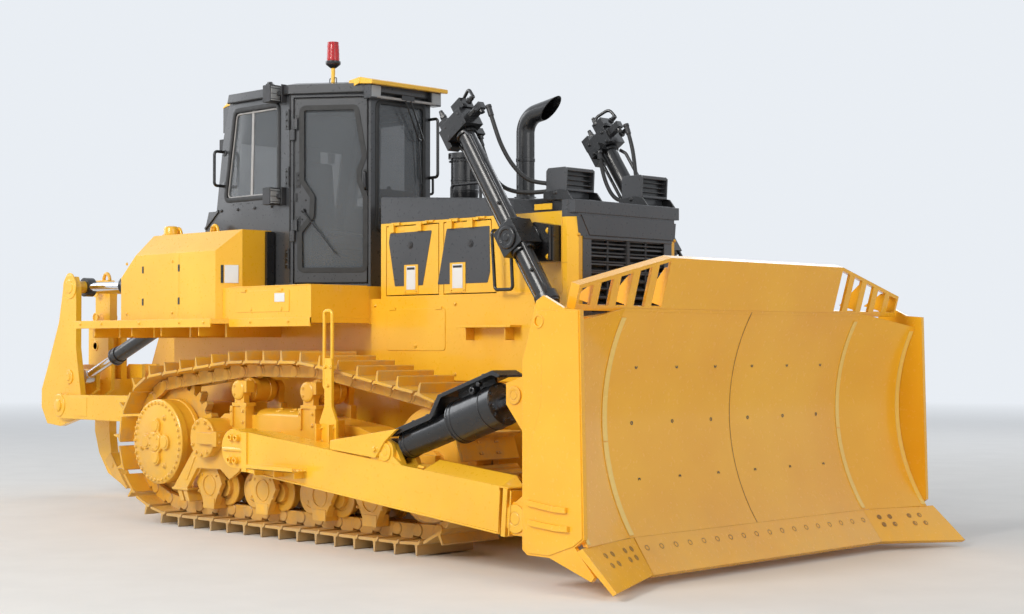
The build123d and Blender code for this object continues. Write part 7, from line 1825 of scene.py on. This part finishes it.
def build_controls():
    """Levers, armrests, panel and pedals seen through the glass, and the rear window's frame."""
    controls = Piece("cab_controls")
    for y, lean in ((-0.400, -0.04), (0.400, 0.05)):
        controls.tube(rounded([
            (-0.420, y, 2.650), (-0.400, y, 2.760), (-0.390, y + lean, 2.860)], 0.03), 0.012)
        controls.lathe((-0.390, y + lean, 2.850), UP, (
            (0, 0.020), (0.015, 0.027), (0.070, 0.024), (0.090, 0.012)), 20)
        controls.block((-0.800, -0.450), (y - 0.055, y + 0.055), (2.655, 2.700))
        controls.block((-0.700, -0.640), (y - 0.030, y + 0.030), (2.600, 2.660))
    controls.prism(((0.100, 2.670), (0.215, 2.690), (0.205, 2.840), (0.150, 2.830)), -0.200, 0.200)
    for y in (-0.12, 0.0, 0.12):
        controls.lathe((0.118, y, 2.760), (-1, 0, 0.35), (
            (0, 0.036), (0.010, 0.036), (0.012, 0.030), (0.006, 0.028)), 24)
    for y in (-0.16, 0.02, 0.16):
        controls.prism((
            (-0.020, 2.040), (0.010, 2.040), (0.090, 2.180), (0.075, 2.190)), y - 0.045, y + 0.045)
    controls.tube(rounded([(0.150, 0.260, 2.100), (0.120, 0.260, 2.700), (0.120, 0.300, 3.100)], 0.04), 0.012)
    controls.block((-1.215, -1.190), (-0.600, 0.600), (2.700, 2.770))
    controls.place("chassis", "dark_plastic", bevel=0.004)
    frames = Piece("rear_window_frame")
    for y0, y1 in ((-0.610, -0.580), (-0.015, 0.015), (0.580, 0.610)):
        ring = ((-1.300, y0, 2.780), (-1.300, y1, 2.780), (-1.210, y1, 3.320), (-1.210, y0, 3.320))
        frames.solid(ring, (0.030, 0, 0))
    frames.block((-1.230, -1.190), (-0.610, 0.610), (3.300, 3.335))
    frames.block((-1.300, -1.260), (-0.610, 0.610), (2.770, 2.800))
    frames.place("chassis", "grey_paint")


# ---------------------------------------------------------------- tanks, side boxes and fenders
TANK_BEND, TANK_FRONT = (-0.628, -1.250), (-0.511, -1.062)


def front_face(piece, shares, heights, lift):
    """A plate on the tank's slanted front face, between two shares of its width."""
    way = Vector((TANK_FRONT[0] - TANK_BEND[0], TANK_FRONT[1] - TANK_BEND[1], 0))
    out = Vector((-way.y, way.x, 0)).normalized() * -lift
    out = out if out.x > 0 else -out
    start = Vector((*TANK_BEND, 0))
    near, far = start + way * shares[0], start + way * shares[1]
    low, high = heights
    corners = ((near, low), (far, low), (far, high), (near, high))
    piece.solid([(place.x, place.y, z) for place, z in corners], out)


TANK_FILLER = ((0, 0.085), (0.012, 0.085), (0.016, 0.070), (0.070, 0.068), (0.084, 0.060), (0.092, 0.030))


def build_tanks():
    """Filler, lifting eyes, seams and blank plates of the two side tanks."""
    tanks = Piece("tank_fittings")
    tanks.lathe((-1.840, -0.860, 2.498), UP, TANK_FILLER, 36)
    for x in (-1.795, -1.240):
        for dx in (-0.014, 0.014):
            tanks.prism(rect(x + dx - 0.004, x + dx + 0.004, 2.495, 2.560), -0.850, -0.790)
        tanks.tube(eye_line((x, -0.820, 2.510), 0.050, 0.060), 0.014)
    tanks.block((-1.157, -1.151), (-1.252, -1.240), (1.745, 2.305))
    tanks.block((-2.044, -2.038), (-1.240, -0.770), (1.760, 1.780))
    for x, y in ((-1.95, -1.251), (-1.25, -1.251)):
        for z in (1.80, 2.24):
            tanks.bolt((x, y, z), RIGHT, 0.010)
    tanks.mirror().place("chassis", "yellow_paint", bevel=0.003)
    plates = Piece("tank_plates")
    front_face(plates, (0.34, 0.86), (2.040, 2.190), 0.004)
    plates.mirror().place("chassis", "label")
    strips = Piece("tank_plate_strips")
    front_face(strips, (0.20, 0.30), (2.040, 2.190), 0.004)
    strips.mirror().place("chassis", "black_paint")
    marks = Piece("tank_hinge_marks")
    for x in (-1.700, -1.154):
        for z in (1.900, 2.180):
            marks.block((x - 0.012, x + 0.012), (-1.253, -1.248), (z - 0.030, z + 0.030))
    marks.mirror().place("chassis", "black_paint")


def build_side_boxes():
    """The lid, catches, blank plate and tread strips of the boxes beside the cab."""
    boxes = Piece("side_box_lids")
    lid = rect(-0.412, 0.300, 1.790, 1.966)
    side_plate(boxes, lid, 1.200, 0.005, bend=0.012)
    boxes.block((-0.500, 0.560), (-1.203, -0.610), (1.994, 2.004))
    for x in (-0.300, 0.180):
        boxes.block((x - 0.035, x + 0.035), (-1.214, -1.204), (1.955, 1.975))
    for x in (-0.20, 0.20):
        boxes.boss((x, 1.815), -1.205, ((0, 0.016), (0.006, 0.014)), 16)
    boxes.mirror().place("chassis", "yellow_paint", bevel=0.002)
    plates = Piece("side_box_plates")
    side_plate(plates, rect(0.115, 0.245, 1.870, 1.940), 1.206, 0.002)
    plates.mirror().place("chassis", "label")
    grips = Piece("side_box_treads")
    for i in range(9):
        grips.block((-0.40 + 0.10 * i, -0.36 + 0.10 * i), (-1.150, -0.800), (2.004, 2.007))
    grips.mirror().place("chassis", "dark_plastic")


def build_fenders():
    """Folded edges, brackets and tread strips of the fenders."""
    fenders = Piece("fender_trims")
    fenders.block((-2.682, -0.555), (-1.353, -1.338), (1.672, 1.742))
    fenders.block((-0.490, 0.573), (-1.213, -1.198), (1.672, 1.742))
    for x in (-2.40, -1.80, -1.35, -0.80):
        fenders.prism(rect(x, x + 0.012, 1.695, 1.600), -1.300, -0.640)
    for x in (-2.55, -2.20, -1.60, -1.00, -0.65, -0.20, 0.30):
        y = -1.353 if x < -0.52 else -1.213
        fenders.bolt((x, y, 1.712), RIGHT, 0.011)
    fenders.mirror().place("chassis", "yellow_paint", bevel=0.003)
    strips = Piece("fender_treads")
    for i in range(5):
        x = -2.640 + 0.120 * i
        strips.block((x, x + 0.050), (-1.300, -0.700), (1.740, 1.743))
    for i in range(8):
        x = -2.000 + 0.180 * i
        if x < -0.6:
            strips.block((x, x + 0.090), (-1.335, -1.265), (1.740, 1.743))
    strips.mirror().place("chassis", "dark_plastic")


HULL_PLATE_X, NOSE_PLATE_X, BELLY_PLATE_Z = 2.238, 2.650, 0.472


def build_hull_trims():
    """Bolted covers, tow lugs and plates on the hull's rear, sides, nose and belly."""
    trims = Piece("hull_trims")
    trims.frontal(rect(-0.400, 0.400, 1.050, 1.640), -HULL_PLATE_X, -2.228)
    for y in (-0.37, -0.12, 0.12, 0.37):
        for z in (1.080, 1.610):
            trims.bolt((-HULL_PLATE_X, y, z), BACK, 0.013)
    trims.frontal(((-0.180, 0.840), (0.180, 0.840), (0.130, 1.000), (-0.130, 1.000)), -2.300, -2.228)
    for y in (-0.12, 0.12):
        trims.block((-2.345, -2.290), (y - 0.035, y + 0.035), (0.860, 0.980))
    for x0, x1 in ((-1.90, -0.90), (-0.80, 0.50), (0.65, 2.10)):
        trims.block((x0, x1), (-0.520, 0.520), (BELLY_PLATE_Z, 0.482))
        for x in (x0 + 0.06, x1 - 0.06):
            for y in (-0.48, 0.48):
                trims.bolt((x, y, BELLY_PLATE_Z), DOWN, 0.016)
    for hand in (-1, 1):
        y = hand * 0.561
        for x, z in ((1.2, 0.95), (1.7, 0.95), (1.2, 1.15), (1.7, 1.15)):
            trims.bolt((x, y, z), (0, hand, 0), 0.016)
        trims.block((0.9, 2.0), sorted((y, y + hand * 0.010)), (0.85, 1.20))
    trims.frontal(rect(-0.350, 0.350, 0.820, 1.180), 2.638, NOSE_PLATE_X)
    for y in (-0.31, 0.31):
        for z in (0.86, 1.14):
            trims.bolt((NOSE_PLATE_X, y, z), AHEAD, 0.014)
    trims.place("chassis", "yellow_paint", bevel=0.003)


# ---------------------------------------------------------------- ripper
RIP_LOW, RIP_TOP_Z = (-2.330, 0.930), 2.100
RIP_LOW_REAR_X, RIP_TOP_REAR_X, RIP_TOP_HULL_X = -3.961, -3.911, -2.280
RIP_LIFT, RIP_LIFT_EYE = (-2.330, 1.815), (-3.921, 1.210)
RIP_CYL_Y = 0.440
SHANK_PIN_X, SHANK_PINS_Z = -4.300, (2.065, 1.807, 1.515)


def build_ripper_trims():
    frame = Piece("ripper_frame_trims")
    for centre, radius in (((RIP_TOP_REAR_X, RIP_TOP_Z), 0.120), (RIP_LIFT_EYE, 0.072)):
        disc = (
            (0, radius), (0.010, radius), (0.014, radius - 0.006), (0.014, radius * 0.55),
            (0.022, radius * 0.52))
        frame.boss(centre, -0.638, disc, 40)
    for z in SHANK_PINS_Z:
        frame.boss((SHANK_PIN_X, z), -0.110, ((0, 0.052), (0.008, 0.050), (0.008, 0.034), (-0.02, 0.032)), 28)
    frame.prism(rect(-4.425, -4.065, 1.690, 1.720), -0.118, -0.040)
    frame.prism([about((-3.911, 2.150), 0.088, a) for a in range(0, 181, 15)], -0.650, -0.638)
    frame.mirror().place("ripper_frame", "yellow_paint", bevel=0.004)
    shank = Piece("ripper_shank_trims")
    for z in SHANK_PINS_Z:
        for hand in (-1, 1):
            shank.lathe((SHANK_PIN_X, hand * 0.0425, z), (0, hand, 0), (
                (-0.004, 0.046), (0.002, 0.046), (0.002, 0.033), (-0.02, 0.032)), 28)
    shank.tube(eye_line((-4.270, 0, 2.190), 0.055, 0.070), 0.018)
    tip = (
        (-4.060, 0.200), (-3.806, 0.078), (-3.790, 0.092), (-3.960, 0.270), (-4.100, 0.430), (-4.200, 0.350))
    for hand in (-1, 1):
        low, high = sorted((hand * 0.042, hand * 0.056))
        shank.prism(tip, low, high)
        shank.lathe((-4.060, hand * 0.056, 0.300), (0, hand, 0), ((0, 0.022), (0.006, 0.020)), 20)
    shank.place("ripper_frame", "frame_paint", bevel=0.004)


def cylinder_rings(piece, start, end, y, stations):
    """Collars along a cylinder in the X and Z plane: distance, radius, width."""
    way = Vector((end[0] - start[0], 0, end[1] - start[1])).normalized()
    for reach, radius, width in stations:
        place = Vector((start[0], y, start[1])) + way * reach
        piece.lathe(place, way, collar(radius, width, 0.010), 36)


RIPPER_ARM_CAP = ((0, 0.112), (0.006, 0.112), (0.012, 0.104), (0.012, 0.060), (0.024, 0.058), (0.028, 0.050))
RIPPER_HULL_CAP = ((0, 0.070), (0.010, 0.070), (0.014, 0.064), (0.014, 0.042), (0.022, 0.040))


def build_ripper_cylinders():
    """Gland heads, collars, pipes and pin discs of the four ripper cylinders."""
    tips = Piece("ripper_tip_collars")
    cylinder_rings(tips, (RIP_TOP_HULL_X, RIP_TOP_Z), (RIP_TOP_REAR_X, RIP_TOP_Z), -RIP_CYL_Y, (
        (0.860, 0.082, 0.100), (0.935, 0.088, 0.026)))
    pipe = ((-2.560, 2.165), (-2.580, 2.190), (-3.130, 2.190), (-3.150, 2.165))
    tips.tube(rounded([(x, -RIP_CYL_Y, z) for x, z in pipe], 0.02), 0.012)
    for angle in range(0, 360, 60):
        tips.bolt((-3.241, *about((-RIP_CYL_Y, RIP_TOP_Z), 0.072, angle)), BACK, 0.009)
    tips.mirror().place("ripper_tip_cylinders", "black_paint")
    rods = Piece("ripper_tip_rods")
    rods.rod((-3.240, -RIP_CYL_Y, RIP_TOP_Z), (-3.830, -RIP_CYL_Y, RIP_TOP_Z), 0.0432, 32)
    rods.mirror().place("ripper_tip_cylinders", "chrome_rod")
    lifts = Piece("ripper_lift_collars")
    cylinder_rings(lifts, RIP_LIFT, RIP_LIFT_EYE, -RIP_CYL_Y, ((1.060, 0.082, 0.090), (1.120, 0.088, 0.028)))
    lifts.mirror().place("ripper_lift_barrels", "black_paint")
    arm = Piece("ripper_arm_trims")
    for centre in ((RIP_LOW_REAR_X, RIP_LOW[1]), RIP_LOW):
        arm.boss(centre, -0.726, RIPPER_ARM_CAP, 40)
    for x in (-2.80, -3.60):
        arm.prism(rect(x - 0.15, x + 0.15, 0.835, 1.020), -0.731, -0.727)
    arm.mirror().place("ripper_arm", "yellow_paint", bevel=0.002)
    hull = Piece("ripper_hull_pins")
    for x, z in ((RIP_TOP_HULL_X, RIP_TOP_Z), RIP_LIFT):
        hull.boss((x, z), -0.560, RIPPER_HULL_CAP, 32)
    hull.mirror().place("chassis", "yellow_paint")


# ---------------------------------------------------------------- scene
add_camera()
add_lamps()
add_sky()
add_floor()
dress_cad_nodes()
build_tracks()
build_final_drives()
build_pivot_caps()
build_bogies()
build_roller_rims()
build_carrier_stands()
build_frame_tops()
build_arm_fittings()
build_arm_wedges()
build_arm_steps()
build_tilt_cylinders()
build_handle_fittings()
build_blade_face()
build_edge_bolts()
build_guard_ribs()
build_end_plates()
build_lift_heads()
build_lift_yokes()
build_lift_eyes()
build_hoses()
build_engine_doors()
build_hood_sides()
build_hood_top()
build_nose()
build_exhaust_trims()
build_hood_lamps()
build_cab_doors()
build_cab_windows()
build_cab_shell_trims()
build_cab_front()
build_roof_trims()
build_cab_base()
build_seat()
build_controls()
build_tanks()
build_side_boxes()
build_fenders()
build_hull_trims()
build_ripper_trims()
build_ripper_cylinders()

bpy.context.scene.view_settings.view_transform = "Standard"
